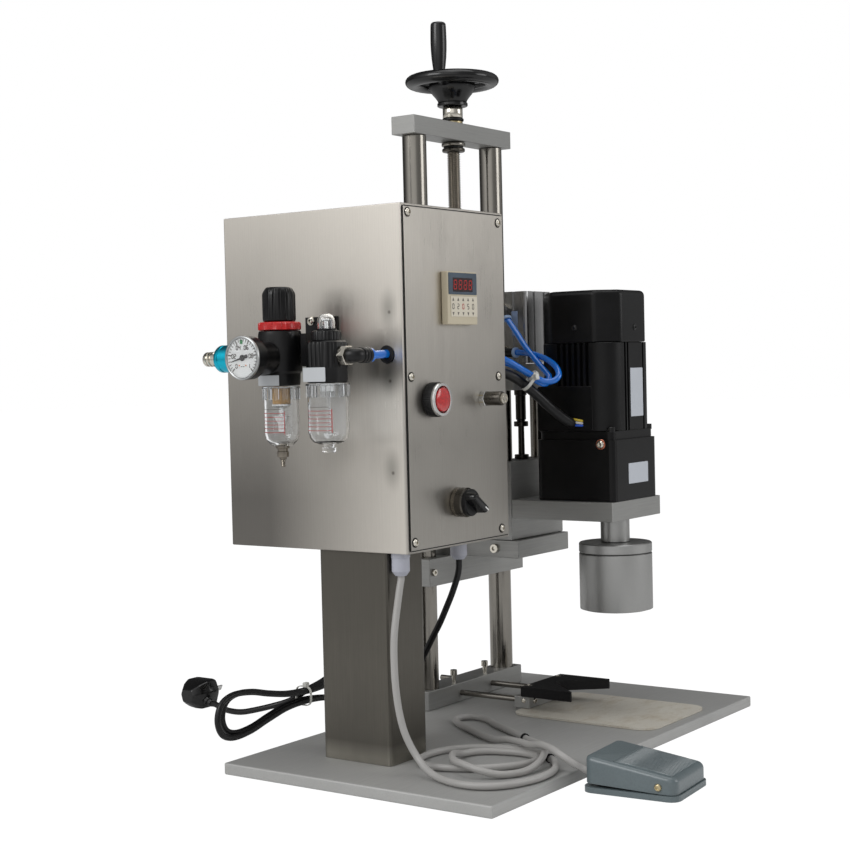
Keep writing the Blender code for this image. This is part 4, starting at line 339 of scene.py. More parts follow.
def rounded(corners, reach, steps):
    """An outline whose corners are curves (1 - t)^2 start + 2 t (1 - t) corner + t^2 end, where start and end lie
    on the two sides. Reach gives, from the vector along a side, how far along it the curve goes."""
    t = np.linspace(0, 1, steps)[:, None]
    curves = []
    for before, corner, after in zip(np.roll(corners, 1, 0), corners, np.roll(corners, -1, 0)):
        start, end = (corner + reach(other - corner) for other in (before, after))
        curves.append((1 - t) ** 2 * start + 2 * t * (1 - t) * corner + t ** 2 * end)
    return np.vstack(curves)


def loft(sections, at=(0, 0, 0), axis=UP, across=None, ring=False):
    """Outlines joined one to the next. Each section is an outline and its level along the axis, or a level for
    each of its points."""
    rows = [np.column_stack([flat, np.broadcast_to(level, len(flat))]) for flat, level in sections]
    return skin(np.array(rows) @ basis(axis, across) + np.array(at, float), ring)


def slab(outline, low, high, at=(0, 0, 0), axis=UP, across=None, edge=0.0):
    """An outline carried along an axis from low to high, drawn in by the edge at both ends."""
    sections = [(outline, low), (outline, high)]
    if edge:
        drawn = inset(outline, edge)
        sections = [(drawn, low), (outline, low + edge), (outline, high - edge), (drawn, high)]
    return loft(sections, at, axis, across)


def cuboid(low, high, edge=0.0002):
    """A box between two corners, with chamfers along the edges of its top and its bottom."""
    low, high = np.array(low, float), np.array(high, float)
    size, middle = high - low, (low + high) / 2
    return slab(rectangle(size[0], size[1]), -size[2] / 2, size[2] / 2, middle, UP, RIGHT, min(edge, size.min() / 4))


def plate(centre, normal, across, wide, high, thick, radius=0.0):
    """A thin plate on a face: its middle, the face's outward direction and its own sideways direction."""
    return slab(rectangle(wide, high, radius, 4), 0, thick, centre, normal, across, min(thick / 3, 0.0002))


def band(at, axis, across, outline, wide, thick):
    """A strap: a flat section carried round an outline square to the axis."""
    outer = inset(outline, -thick)
    sections = [(outline, -wide / 2), (outer, -wide / 2), (outer, wide / 2), (outline, wide / 2)]
    return loft(sections, at, axis, across, ring=True)


def socketed(profile, first, at, axis):
    """A screw head turned from a profile whose rows from the first on are the six-sided socket."""
    def wave(angle, height):
        shape = np.ones_like(height)
        shape[first:] = hexagon(angle)
        return shape
    return turned(profile, at, axis, 36, wave)


def dome_screw(at, axis, radius, high, socket=0.5):
    """A domed head: height = high times the root of 1 - (r / radius) squared, with a six-sided socket in it."""
    lean = np.linspace(0, 1, 7)
    inner = radius * socket
    rim = [(radius * cos(a * 1.1), high * sin(a * pi / 2) * 0.95) for a in lean[:-1]]
    rim = [p for p in rim if p[0] > inner * 1.05]
    top = rim[-1][1]
    profile = [(0, -0.0004), (radius, -0.0004), *rim, (inner, top), (inner * 0.97, top * 0.35), (0, top * 0.25)]
    return socketed(profile, len(profile) - 3, at, axis)


def cap_screw(at, axis, radius, high):
    """A cylindrical head with a six-sided socket."""
    inner = radius * 0.52
    profile = [
        (0, 0), (radius, 0), (radius, high - 0.0003), (radius - 0.0003, high), (inner, high),
        (inner * 0.97, high * 0.45), (0, high * 0.4),
    ]
    return socketed(profile, 4, at, axis)


SEGMENTS = {
    "0": "abcdef", "1": "bc", "2": "abdeg", "3": "abcdg", "4": "bcfg", "5": "acdfg", "6": "acdefg", "7": "abc",
    "8": "abcdefg", "9": "abcdfg",
}
SEGMENT_PLACES = {
    "a": (0, 1, 1), "b": (0.5, 0.5, 0), "c": (0.5, -0.5, 0), "d": (0, -1, 1), "e": (-0.5, -0.5, 0),
    "f": (-0.5, 0.5, 0), "g": (0, 0, 1),
}


def digit(figure, centre, normal, across, high, stroke, lean=0.0):
    """A figure of straight bars: three lie across it, and two pairs stand at its sides."""
    first, second, _ = basis(normal, across)
    bars = []
    for name in SEGMENTS[figure]:
        x, y, flat = SEGMENT_PLACES[name]
        x, y = x * high * 0.56 + lean * y * high / 2, y * high / 2
        long = high * (0.56 if flat else 0.5) - stroke * 0.35
        size = (long, stroke) if flat else (stroke, long)
        bars.append(plate(np.array(centre) + first * x + second * y, normal, across, *size, 0.0001))
    return bars


def arrow(centre, normal, across, size):
    """A small pointer: a triangle with its tip in the sideways direction."""
    outline = np.array([(size * 0.6, 0), (-size * 0.4, size * 0.5), (-size * 0.4, -size * 0.5)])
    return slab(outline, 0, 0.0001, centre, normal, across)


def piece(name, body, parts, replaces=(), crease=32):
    """One object from closed shapes, each with its finish. It lies at the origin, rides on the body, and its
    faces point outwards."""
    mesh = bpy.data.meshes.new(name)
    points, faces, marks, looks, count = [], [], [], [], 0
    for shape, look in parts:
        if look not in looks:
            looks.append(look)
        shape_points, quads, caps = shape
        new_faces = (quads + count).tolist() + [(cap + count).tolist() for cap in caps]
        faces += new_faces
        marks += [looks.index(look)] * len(new_faces)
        points.append(shape_points)
        count += len(shape_points)
    mesh.from_pydata(np.vstack(points).tolist(), [], faces)
    for look in looks:
        mesh.materials.append(look)
    mesh.polygons.foreach_set("material_index", marks)
    made = bmesh.new()
    made.from_mesh(mesh)
    bmesh.ops.remove_doubles(made, verts=made.verts, dist=1e-7)
    bmesh.ops.recalc_face_normals(made, faces=made.faces)
    made.to_mesh(mesh)
    made.free()
    mesh.shade_smooth()
    mesh.set_sharp_from_angle(angle=radians(crease))
    obj = bpy.data.objects.new(name, mesh)
    bpy.context.scene.collection.objects.link(obj)
    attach(obj, body)
    if replaces:
        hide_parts(*replaces)
    return obj


def each(shapes, look):
    return [(shape, look) for shape in shapes]


# ---------------------------------------------------------------- finishes

class Finish:
    """A material whose patterns are worked out from Object coordinates, built up one effect at a time."""

    def __init__(self, name, colour, roughness, metallic=0.0, **sockets):
        self.material = bpy.data.materials.new(name)
        self.material.use_nodes = True
        self.nodes, self.links = self.material.node_tree.nodes, self.material.node_tree.links
        self.shader = self.nodes["Principled BSDF"]
        self.colour, self.roughness = (*colour, 1.0), roughness
        self.set("Base Color", self.colour)
        self.set("Roughness", roughness)
        self.set("Metallic", metallic)
        for socket, value in sockets.items():
            self.set(socket.replace("_", " "), value)
        self.place = self.add("ShaderNodeTexCoord").outputs["Object"]
        self.normal = None

    def set(self, socket, value):
        if isinstance(value, bpy.types.NodeSocket):
            self.links.new(value, self.shader.inputs[socket])
        else:
            self.shader.inputs[socket].default_value = value

    def add(self, kind, inputs=None, **options):
        node = self.nodes.new(kind)
        for name, value in options.items():
            setattr(node, name, value)
        for name, value in (inputs or {}).items():
            if isinstance(value, bpy.types.NodeSocket):
                self.links.new(value, node.inputs[name])
            else:
                node.inputs[name].default_value = value
        return node

    def noise(self, scale, stretch=(1, 1, 1), detail=4.0, sharp=0.55):
        """Cloudy noise. It runs in streaks along an axis whose stretch is small."""
        spread = self.add("ShaderNodeMapping", {"Vector": self.place, "Scale": stretch})
        return self.add("ShaderNodeTexNoise", {
            "Vector": spread.outputs[0], "Scale": scale, "Detail": detail, "Roughness": sharp,
        }).outputs[0]

    def span(self, value, low, high, start=0.3, end=0.7):
        """The value moved from the range start to end onto low to high."""
        return self.add("ShaderNodeMapRange", {
            "Value": value, "From Min": start, "From Max": end, "To Min": low, "To Max": high,
        }).outputs[0]

    def mix(self, factor, first, second, mode="MIX"):
        node = self.add("ShaderNodeMix", {0: factor, 6: first, 7: second}, data_type="RGBA", blend_type=mode)
        return node.outputs[2]

    def shade(self, factor, tint):
        """The colour so far, moved towards the tint where the factor is high."""
        self.colour = self.mix(factor, self.colour, (*tint, 1.0))
        self.set("Base Color", self.colour)

    def sum(self, first, second, operation="ADD"):
        return self.add("ShaderNodeMath", {0: first, 1: second}, operation=operation).outputs[0]

    def rough(self, value):
        self.set("Roughness", value)

    def bump(self, height, distance, strength=1.0):
        inputs = {"Height": height, "Distance": distance, "Strength": strength}
        if self.normal is not None:
            inputs["Normal"] = self.normal
        self.normal = self.add("ShaderNodeBump", inputs).outputs[0]
        self.set("Normal", self.normal)

    def near(self, point, reach, stretch=(1, 1, 1)):
        """1 at a point, falling smoothly to 0 at the reach, which is longer along an axis whose stretch is small."""
        spread = self.add("ShaderNodeMapping", {
            "Vector": self.place, "Scale": stretch,
            "Location": tuple(-p * s for p, s in zip(point, stretch)),
        })
        far = self.add("ShaderNodeVectorMath", {0: spread.outputs[0]}, operation="LENGTH").outputs["Value"]
        return self.add("ShaderNodeMapRange", {
            "Value": far, "From Min": 0.0, "From Max": reach, "To Min": 1.0, "To Max": 0.0,
        }, interpolation_type="SMOOTHSTEP").outputs[0]


def dark(colour, share):
    return tuple(share * channel for channel in colour)


def brushed(
    name, colour, roughness, stretch, grain=900.0, contrast=0.80, smudge=0.5, metallic=1.0, wide_streaks=0.6,
):
    """Brushed metal: long fine streaks in colour and roughness, and wide soft smudges over them."""
    made = Finish(name, colour, roughness, metallic)
    streak = made.noise(grain, stretch, 3.0, 0.7)
    wide = made.noise(grain / 6, stretch, 2.0, 0.5)
    cloud = made.noise(14.0, (1, 1, 1), 3.0, 0.6)
    made.shade(made.span(streak, 0.0, 1.0), dark(colour, contrast))
    made.shade(made.span(wide, 0.0, wide_streaks), dark(colour, contrast + 0.04))
    made.shade(made.span(cloud, 0.0, smudge, 0.42, 0.68), dark(colour, 0.84))
    lively = made.sum(made.span(streak, -0.07, 0.07), made.span(cloud, roughness - 0.05, roughness + 0.06))
    made.rough(lively)
    made.bump(streak, 0.00003, 0.5)
    return made


def blasted(name, colour, roughness, grain=2600.0):
    """Fine even texture, as on blasted or cast metal."""
    made = Finish(name, colour, roughness, 1.0)
    fine = made.noise(grain, (1, 1, 1), 2.0, 0.6)
    cloud = made.noise(22.0)
    made.shade(made.span(fine, 0.0, 0.8), dark(colour, 0.86))
    made.rough(made.sum(made.span(fine, -0.05, 0.05), made.span(cloud, roughness - 0.03, roughness + 0.05)))
    made.bump(fine, 0.00004, 0.5)
    return made


def polished(name, colour, roughness, contrast=0.88):
    """Plated or polished metal with faint wear."""
    made = Finish(name, colour, roughness, 1.0)
    wear = made.noise(60.0, (1, 1, 0.4), 4.0, 0.6)
    fine = made.noise(1500.0, (1, 1, 0.1), 2.0)
    made.shade(made.span(wear, 0.0, 0.7), dark(colour, contrast))
    made.rough(made.sum(made.span(wear, roughness - 0.03, roughness + 0.06), made.span(fine, -0.02, 0.02)))
    return made


def moulded(name, colour, roughness, texture=0.00003, grain=1400.0, lift=1.6, **sockets):
    """A plastic or painted surface: a fine texture, and faint pale clouding like a little dust."""
    made = Finish(name, colour, roughness, 0.0, **sockets)
    fine = made.noise(grain, (1, 1, 1), 2.0, 0.6)
    cloud = made.noise(30.0, (1, 1, 1), 3.0, 0.6)
    pale = tuple(min(1.0, channel * lift + 0.002) for channel in colour)
    made.shade(made.span(cloud, 0.0, 0.5, 0.45, 0.75), pale)
    made.rough(made.sum(made.span(cloud, roughness - 0.03, roughness + 0.06), made.span(fine, -0.03, 0.03)))
    made.bump(fine, texture, 0.6)
    return made


def painted_foot_light_and_top_shade(made):
    """Painted light: a lighter, warmer band along the column's foot. Painted shade: darker at its top."""
    height = made.add("ShaderNodeSeparateXYZ", {0: made.place}).outputs["Z"]
    # Painted reflected light from the base plate along the column's foot
    foot = made.span(height, 0.75, 0.0, BASE_TOP + 0.006, BASE_TOP + 0.019)
    made.shade(foot, (0.30, 0.285, 0.245))
    # Painted shade, deepest at the column's top under the cabinet
    made.shade(made.span(height, 0.0, 0.55, 0.10, 0.20), (0.08, 0.074, 0.064))
    blotch = made.noise(12.0, (1, 1, 0.5), 4.0, 0.6)
    made.shade(made.span(blotch, 0.0, 0.5, 0.46, 0.70), (0.085, 0.08, 0.07))


def side_shade_and_weld_marks(made):
    """Painted shade: the side sheet darkens towards its lower back corner, and the front panel towards its
    foot. Three spot welds on the side are each a small dark dot in a soft smear of painted shade, as round a dent."""
    split = made.add("ShaderNodeSeparateXYZ", {0: made.place}).outputs
    # Painted shade on the side sheet, deepest at its lower back corner
    side = made.span(split["X"], 1.0, 0.0, SIDE_X + 0.001, SIDE_X + 0.004)
    back = made.span(split["Y"], 0.0, 1.0, -0.160, 0.010)
    low = made.span(split["Z"], 1.0, 0.12, 0.250, 0.520)
    painted_side_shade = made.sum(made.sum(back, low, "MULTIPLY"), side, "MULTIPLY")
    made.shade(made.sum(painted_side_shade, 0.90, "MULTIPLY"), (0.10, 0.095, 0.088))
    # Painted shade on the front panel, deeper towards its foot
    front = made.span(split["Y"], 1.0, 0.0, PANEL_Y + 0.002, PANEL_Y + 0.005)
    lower = made.span(split["Z"], 0.62, 0.10, 0.300, 0.480)
    made.shade(made.sum(front, lower, "MULTIPLY"), (0.17, 0.165, 0.155))
    for y, z in ((-0.1340, 0.4180), (-0.1333, 0.3572), (-0.1341, 0.2758)):
        # Painted shade of a shallow dent round each weld, then the weld's own small dark dot
        painted_dent_shade = made.near((SIDE_X, y + 0.001, z + 0.003), 0.019, (0.2, 1.5, 0.8))
        made.shade(made.sum(painted_dent_shade, 0.60, "MULTIPLY"), (0.24, 0.23, 0.205))
        dent = made.near((SIDE_X, y, z), 0.0026)
        made.shade(made.sum(dent, 0.85, "MULTIPLY"), (0.10, 0.09, 0.08))


def worn_pad(name, colour):
    """A stained sheet: brown blotches, pale rubbed streaks and scratches."""
    made = Finish(name, colour, 0.42)
    stain = made.noise(26.0, (1, 1.8, 1), 6.0, 0.7)
    rub = made.noise(70.0, (0.25, 1, 1), 4.0, 0.65)
    fleck = made.noise(900.0, (1, 1, 1), 2.0)
    made.shade(made.span(stain, 0.0, 0.75, 0.48, 0.70), (0.42, 0.36, 0.27))
    made.shade(made.span(rub, 0.0, 0.5, 0.52, 0.72), (0.66, 0.64, 0.57))
    made.shade(made.span(fleck, 0.0, 0.35, 0.55, 0.8), (0.25, 0.22, 0.17))
    made.rough(made.span(stain, 0.28, 0.55))
    made.bump(stain, 0.0002, 0.5)
    return made


def hammered(name, colour):
    """Hammered paint: soft round dimples under a gloss coat."""
    made = Finish(name, colour, 0.38, 0.0, Coat_Weight=0.35, Coat_Roughness=0.18)
    cell = made.add("ShaderNodeTexVoronoi", {"Vector": made.place, "Scale": 420.0}).outputs["Distance"]
    cloud = made.noise(26.0, (1, 1, 1), 3.0)
    fine = made.noise(1200.0, (1, 1, 1), 2.0)
    made.shade(made.span(cloud, 0.0, 0.6), dark(colour, 1.25))
    made.shade(made.span(cell, 0.35, 0.0, 0.0, 0.6), dark(colour, 0.8))
    made.rough(made.span(fine, 0.30, 0.44))
    made.bump(cell, 0.00018, 0.5)
    return made


def glass(name, colour):
    """A clear moulding, slightly clouded."""
    made = Finish(name, colour, 0.04, 0.0, Transmission_Weight=1.0, IOR=1.46)
    cloud = made.noise(80.0, (1, 1, 0.4), 3.0)
    made.rough(made.span(cloud, 0.02, 0.09))
    return made


METAL_RECIPES = {
    "stainless": (0.36, {"stretch": (1, 1, 0.02), "contrast": 0.90, "wide_streaks": 0.25}),
    "column": (0.38, {"stretch": (1, 1, 0.02), "contrast": 0.85, "smudge": 0.7, "metallic": 0.85}),
    "plate": (0.50, {"stretch": (0.02, 1, 1), "contrast": 0.88, "smudge": 0.5, "metallic": 0.35}),
    "aluminium": (0.40, {"stretch": (0.03, 0.03, 1), "contrast": 0.90, "smudge": 0.3, "wide_streaks": 0.3,
                          "metallic": 0.65}),
}


def finish(name):
    """The named material, made the first time it's asked for."""
    if name in bpy.data.materials:
        return bpy.data.materials[name]
    metals, plastics, _, _ = settings()
    if name in METAL_RECIPES:
        roughness, options = METAL_RECIPES[name]
        made = brushed(name, getattr(metals, name), roughness, **options)
        if name == "column":
            painted_foot_light_and_top_shade(made)
        if name == "stainless":
            side_shade_and_weld_marks(made)
        return made.material
    makers = {
        "blasted": lambda: blasted(name, metals.blasted, 0.40),
        "blasted shaft": lambda: blasted(name, dark(metals.blasted, 0.95), 0.36),
        # Painted shade: a dark ring laid at the floor of the chuck's groove
        "groove": lambda: blasted(name, dark(metals.blasted, 0.25), 0.5),
        "dark steel": lambda: polished(name, (0.10, 0.092, 0.08), 0.26, 0.8),
        # Painted reflection: the chrome piston rod is given a dark colour for the dark surroundings it mirrors
        "grip steel": lambda: polished(name, (0.055, 0.05, 0.045), 0.30, 0.8),
        "extrusion": lambda: brushed(name, (0.42, 0.42, 0.42), 0.30, (1, 1, 0.02), contrast=0.88, smudge=0.2),
        "chrome": lambda: polished(name, metals.chrome, 0.16),
        "thread": lambda: polished(name, (0.24, 0.215, 0.18), 0.22, 0.7),
        "nickel": lambda: polished(name, metals.nickel, 0.18),
        "brass": lambda: polished(name, metals.brass, 0.22, 0.75),
        "sleeve": lambda: polished(name, metals.sleeve, 0.28),
        "silver": lambda: polished(name, (0.62, 0.62, 0.61), 0.25),
        "gauge rim": lambda: polished(name, (0.42, 0.43, 0.43), 0.30),
        "gloss black": lambda: moulded(name, plastics.black, 0.17, 0.00002, Specular_IOR_Level=0.42),
        "satin black": lambda: moulded(name, plastics.black, 0.42, 0.00004, Specular_IOR_Level=0.28),
        "unit black": lambda: moulded(name, plastics.black, 0.30, 0.00003, Specular_IOR_Level=0.28),
        "motor paint": lambda: moulded(name, plastics.motor, 0.34, 0.00004, 900.0, Specular_IOR_Level=0.22),
        "block resin": lambda: moulded(name, (0.005, 0.005, 0.0055), 0.45, 0.00005, Specular_IOR_Level=0.22),
        "rubber": lambda: moulded(name, (0.008, 0.008, 0.009), 0.6, 0.00004, Specular_IOR_Level=0.25),
        "red plastic": lambda: moulded(name, plastics.red, 0.26, 0.00002, lift=1.2),
        "red lens": lambda: lens(name, plastics.lens),
        "timer": lambda: moulded(name, plastics.timer, 0.45, 0.00003, lift=1.08),
        "timer keys": lambda: moulded(name, (0.68, 0.63, 0.52), 0.40, 0.00002, lift=1.05),
        "timer window": lambda: moulded(name, plastics.window, 0.12, 0.00001),
        "display": lambda: moulded(name, (0.020, 0.004, 0.005), 0.10, 0.00001),
        "digits": lambda: moulded(name, (0.42, 0.012, 0.012), 0.3, 0.00001, lift=1.1),
        "print": lambda: moulded(name, (0.09, 0.08, 0.07), 0.5, 0.00001),
        "red print": lambda: moulded(name, (0.42, 0.03, 0.03), 0.5, 0.00001, lift=1.1),
        "green print": lambda: moulded(name, (0.01, 0.25, 0.06), 0.5, 0.00001, lift=1.1),
        "orange print": lambda: moulded(name, (0.75, 0.22, 0.02), 0.5, 0.00001, lift=1.05),
        "white print": lambda: moulded(name, (0.80, 0.80, 0.79), 0.45, 0.00001, lift=1.02),
        "label": lambda: moulded(name, (0.52, 0.55, 0.60), 0.35, 0.00001, lift=1.05),
        "pale label": lambda: moulded(name, (0.50, 0.52, 0.54), 0.35, 0.00001, lift=1.05),
        "blue label": lambda: moulded(name, (0.25, 0.33, 0.50), 0.35, 0.00001, lift=1.05),
        "dial": lambda: moulded(name, (0.80, 0.82, 0.82), 0.30, 0.00001, lift=1.02),
        "pad": lambda: worn_pad(name, plastics.pad).material,
        "pedal": lambda: hammered(name, plastics.pedal),
        "gland": lambda: moulded(name, plastics.gland, 0.45, 0.00003, lift=1.15),
        "hose": lambda: moulded(name, plastics.hose, 0.16, 0.00001, lift=1.3, Coat_Weight=0.4, Coat_Roughness=0.06),
        "hose collar": lambda: moulded(name, (0.30, 0.42, 0.62), 0.35, 0.00002, lift=1.2),
        "pale nylon": lambda: moulded(name, (0.62, 0.62, 0.58), 0.42, 0.00002, lift=1.1),
        "filter": lambda: moulded(name, (0.55, 0.31, 0.10), 0.75, 0.0001, 2500.0, lift=1.3),
        "pedal cord": lambda: moulded(name, plastics.pedal_cord, 0.42, 0.00003, lift=1.15),
        "mains cord": lambda: moulded(name, plastics.mains_cord, 0.34, 0.00003, Specular_IOR_Level=0.32),
        "blue wire": lambda: moulded(name, (0.01, 0.08, 0.50), 0.35, 0.00001),
        "yellow wire": lambda: moulded(name, (0.62, 0.45, 0.03), 0.35, 0.00001, lift=1.1),
        "white wire": lambda: moulded(name, (0.65, 0.64, 0.60), 0.35, 0.00001, lift=1.1),
        "copper": lambda: polished(name, (0.62, 0.22, 0.14), 0.3),
        "clear": lambda: glass(name, plastics.clear),
        "gauge glass": lambda: glass(name, (0.98, 0.98, 0.98)),
    }
    made = makers[name]()
    return made.material if isinstance(made, Finish) else made


def lens(name, colour):
    """A deep red moulding with a facet pattern under a gloss coat."""
    made = Finish(name, colour, 0.14, 0.0, Coat_Weight=0.8, Coat_Roughness=0.04)
    cell = made.add("ShaderNodeTexVoronoi", {"Vector": made.place, "Scale": 520.0}).outputs["Distance"]
    fine = made.noise(900.0)
    made.shade(made.span(cell, 0.0, 0.6, 0.2, 0.7), dark(colour, 0.45))
    made.rough(made.span(fine, 0.10, 0.20))
    made.bump(cell, 0.0003, 0.35)
    return made


def moved(at, offset):
    return tuple(np.array(at, float) + np.array(offset, float))


# ---------------------------------------------------------------- cords

def free_cord(name, path, diameter, look, replaces, ends=None):
    """A tube of the diameter along the path. With ends, the two bodies it runs between, it is taken off its body
    and its place baked into its mesh; the bodies themselves are not read. Else it rides on the frame."""
    obj = piece(name, "frame", [(tube(path, diameter / 2, 20), finish(look))], replaces)
    if ends:
        obj.parent = None
        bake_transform(obj)
    path_length(path)
    return obj


HANK_X, HANK_Y, HANK_FLOOR = -0.144, 0.101, 0.0037
HANK_PITCH = 0.0064
LOBE = mm(
    (30, -7.5), (60, -13), (88, -19.4), (114, -21), (130.8, -14.8), (137, 0), (130.8, 14.8), (114, 21), (88, 19.4),
    (60, 13), (30, 7), (0, 5.5),
)
LOBE_SHARES = ((1, 1), (1, 1.02), (0.95, 0.95), (0.90, 0.93), (1, 1.025))


def hank_path(turns):
    """The mains lead's tied hank. Every turn is two lobes, a right and a left one, that narrow at the tie, and
    is a pitch further back than the turn before it. LOBE_SHARES gives each lobe's own length and height."""
    points, count = [], 2 * turns + 1
    for half in range(count):
        side = 1 if half % 2 == 0 else -1
        long, tall = LOBE_SHARES[half % len(LOBE_SHARES)]
        lobe = LOBE * side * (long, tall)
        if half == 0:
            lobe = lobe[2:]
            lobe[:2, 1] = -0.021
        if half == count - 1:
            lobe = lobe[:-2]
        steps = half + np.linspace(0, 1, len(lobe) + 1)[1:]
        depth = HANK_Y + HANK_PITCH * steps / 2
        points.append(np.column_stack([HANK_X + lobe[:, 0], depth, HANK_FLOOR + 0.0215 + lobe[:, 1]]))
    return np.vstack(points)


def mains_path(details):
    into = mm((-136, 74, 4.5), (-125, 89, 3.7), (-108, 98.5, 3.7))
    out = mm((-104, 117.5, 32.5), (-122, 119, 28.5), (-136, 120.5, 24), (-148, 127, 18.5), (-157, 140, 14))
    gland = np.array([(-0.1650, -0.1075, 0.1835)])
    parts = [gland, MAINS_ROUTE[:-3], into, hank_path(details.hank_turns), out, TAIL_ROUTE[4:]]
    return smooth_path(np.vstack(parts))


class CAPPING_OT_mains_lead(bpy.types.Operator):
    """Lay the mains lead from its gland to its plug, tied in a hank on the way, and its plug"""
    bl_idname = "capping.mains_lead"
    bl_label = "Mains lead and plug"

    def execute(self, context):
        _, _, details, _ = settings()
        path = mains_path(details)
        end = path[-1]
        parts = each(self.moulding(end), finish("gloss black")) + each(self.pins(), finish("silver"))
        plug = piece("mains_plug_moulding", "frame", parts, ("mains_plug",), crease=24)
        free_cord(
            "mains_lead", path, details.mains_cord, "mains cord",
            ("mains_cable", "mains_hank", "mains_tail"),
        )
        low, high = 0.0158, 0.0348
        tie = band((HANK_X, 0.1092, (low + high) / 2), RIGHT, BACK,
                   rectangle(0.0190, high - low, 0.006), 0.0026, 0.0009)
        lock = cuboid((HANK_X - 0.0028, 0.1035, high - 0.0002), (HANK_X + 0.0028, 0.1080, high + 0.0050), 0.0006)
        piece("hank_tie", "frame", each((tie, lock), finish("pale nylon")))
        return {"FINISHED"}

    def moulding(self, end):
        """The plug's body: rounded sections from its strain relief to its face, and the relief's ribs."""
        low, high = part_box("mains_plug")
        centre_y, centre_z = (low.y + high.y) / 2, (low.z + high.z) / 2
        shield = mm((-15, 16), (15, 16), (20, 3), (15, -13), (5, -16.2), (-5, -16.2), (-15, -13), (-20, 3))[::-1]
        outline = rounded(shield, lambda side: side * 0.22, 5)
        body = loft([(outline * share, level) for level, share in (
            (0.0000, 0.42), (0.0012, 0.50), (0.0090, 0.80), (0.0165, 0.98), (0.0180, 1.0), (0.0285, 1.0),
            (0.0300, 0.98), (0.0318, 0.90),
        )], (low.x, centre_y, centre_z), RIGHT, BACK)
        relief = [(0, -0.0260)]
        for k in range(6):
            z = -0.0255 + 0.0042 * k
            wide = 0.0044 + 0.0006 * k
            relief += [(wide, z), (wide, z + 0.0024), (wide - 0.0011, z + 0.0026), (wide - 0.0011, z + 0.0040)]
        relief += [(0.0078, 0.0005), (0, 0.0005)]
        toward = np.array((low.x + 0.014, centre_y - 0.0125, 0.0130)) - end
        toward /= np.linalg.norm(toward)
        at = end + toward * 0.0262
        return [body, turned(relief, at, toward, 24)]

    def pins(self):
        """Three flat pins: rectangles with a rounded end, two leaning and one upright."""
        low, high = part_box("mains_plug")
        centre_y, z = (low.y + high.y) / 2, (low.z + high.z) / 2
        made = []
        for dy, dz, lean in ((-0.008, 0.003, 0.5), (0.008, 0.003, -0.5), (0, -0.007, 0)):
            across = (0, cos(lean), sin(lean))
            made.append(slab(
                rectangle(0.0018, 0.0063, 0.0006, 3), high.x - 0.0156, high.x, (0, centre_y + dy, z + dz), RIGHT,
                across, 0.0005,
            ))
        return made


class CAPPING_OT_pedal_cord(bpy.types.Operator):
    """Lay the pedal's light grey cord from its gland through its coils to the pedal, and its two ties"""
    bl_idname = "capping.pedal_cord"
    bl_label = "Pedal cord"

    def execute(self, context):
        _, _, details, _ = settings()
        route = PEDAL_ROUTE.copy()
        route[0, 2] = 0.1835
        free_cord(
            "pedal_cord", smooth_path(route), details.pedal_cord, "pedal cord",
            ("pedal_cable",),
        )
        for number, (at, along) in enumerate((
            (mm((-156.8, -173.2, 14.8))[0], (0.57, 0.82, 0)), (mm((-213.8, -235.4, 14.6))[0], (0.63, 0.78, 0)),
        )):
            ring = band(at, along, UP, rectangle(0.0068, 0.0068, 0.0033), 0.0026, 0.0009)
            piece(f"pedal_cord_tie_{number + 1}", "frame", each((ring,), finish("rubber")))
        return {"FINISHED"}


class CAPPING_OT_air_hoses(bpy.types.Operator):
    """Lay the blue air hoses and the motor's cord between the cabinet and the cylinder, with their fittings"""
    bl_idname = "capping.air_hoses"
    bl_label = "Air hoses and motor cord"

    def execute(self, context):
        _, _, details, _ = settings()
        for name, route, port in (
            ("upper", UPPER_HOSE_ROUTE, 0.427), ("lower", LOWER_HOSE_ROUTE, 0.383),
        ):
            path = smooth_path(route[::-1])
            free_cord(
                f"air_hose_{name}_run", path, details.air_hose, "hose",
                (f"air_hose_{name}",), ends=("frame", "elevator"),
            )
            self.fitting(name, path, port)
        path = smooth_path(MOTOR_CORD_ROUTE[::-1])
        half = round(len(path) * 0.52)
        free_cord(
            "motor_cord_first", path[:half + 1], details.motor_cord, "mains cord",
            ("motor_cable",), ends=("frame", "elevator"),
        )
        free_cord(
            "motor_cord_last", path[half:], details.motor_cord, "mains cord",
            (), ends=("elevator", "press"),
        )
        self.ties()
        return {"FINISHED"}

    def fitting(self, name, path, port):
        """An elbow: a hexagon on the cylinder, a bent tube and a collar at the hose."""
        end, before = path[-1], path[-4]
        along = (before - end) / np.linalg.norm(before - end)
        start = np.array((-0.0250, -0.0770, port))
        knee = smooth_path([start, start + (-0.006, 0, 0), start + (-0.0125, -0.0025, -0.0006),
                            end - along * 0.0035, end, end + along * 0.004])
        black = [tube(knee, 0.0046, 20)]
        nut = turned([(0, 0), (0.0062, 0), (0.0062, 0.0045), (0, 0.0045)], start - (0.0001, 0, 0), LEFT, 36,
                     hexagon)
        collar = disc_ring(0.0053, 0.0031, 0.0040, 0.0070, end, along, 32)
        piece(f"cylinder_elbow_{name}", "elevator",
              each(black, finish("unit black")) + [(nut, finish("nickel")), (collar, finish("hose collar"))])

    def ties(self):
        along = (-0.6, 0.5, 0.6)
        made = []
        size = 6.6
        for at in ((-84, -144.3, 356.6), (-89.9, -149.1, 357.7)):
            outline = rectangle(size * 0.001, size * 0.001, size * 0.00049)
            made.append(band(mm(at)[0], along, UP, outline, 0.0028, 0.0009))
        middle = mm((-87, -143.9, 352.8))[0]
        wide = band(middle, along, UP, rectangle(0.0205, 0.0180, 0.0075), 0.0030, 0.0011)
        lock = slab(rectangle(0.0052, 0.0046), 0, 0.0042, moved(middle, (-0.0040, -0.0086, 0.0030)),
                    (-0.3, -0.9, 0.25), UP, 0.0005)
        piece("hose_tie", "elevator", each([*made, wide, lock], finish("pale nylon")))


# ---------------------------------------------------------------- screw, posts and chuck

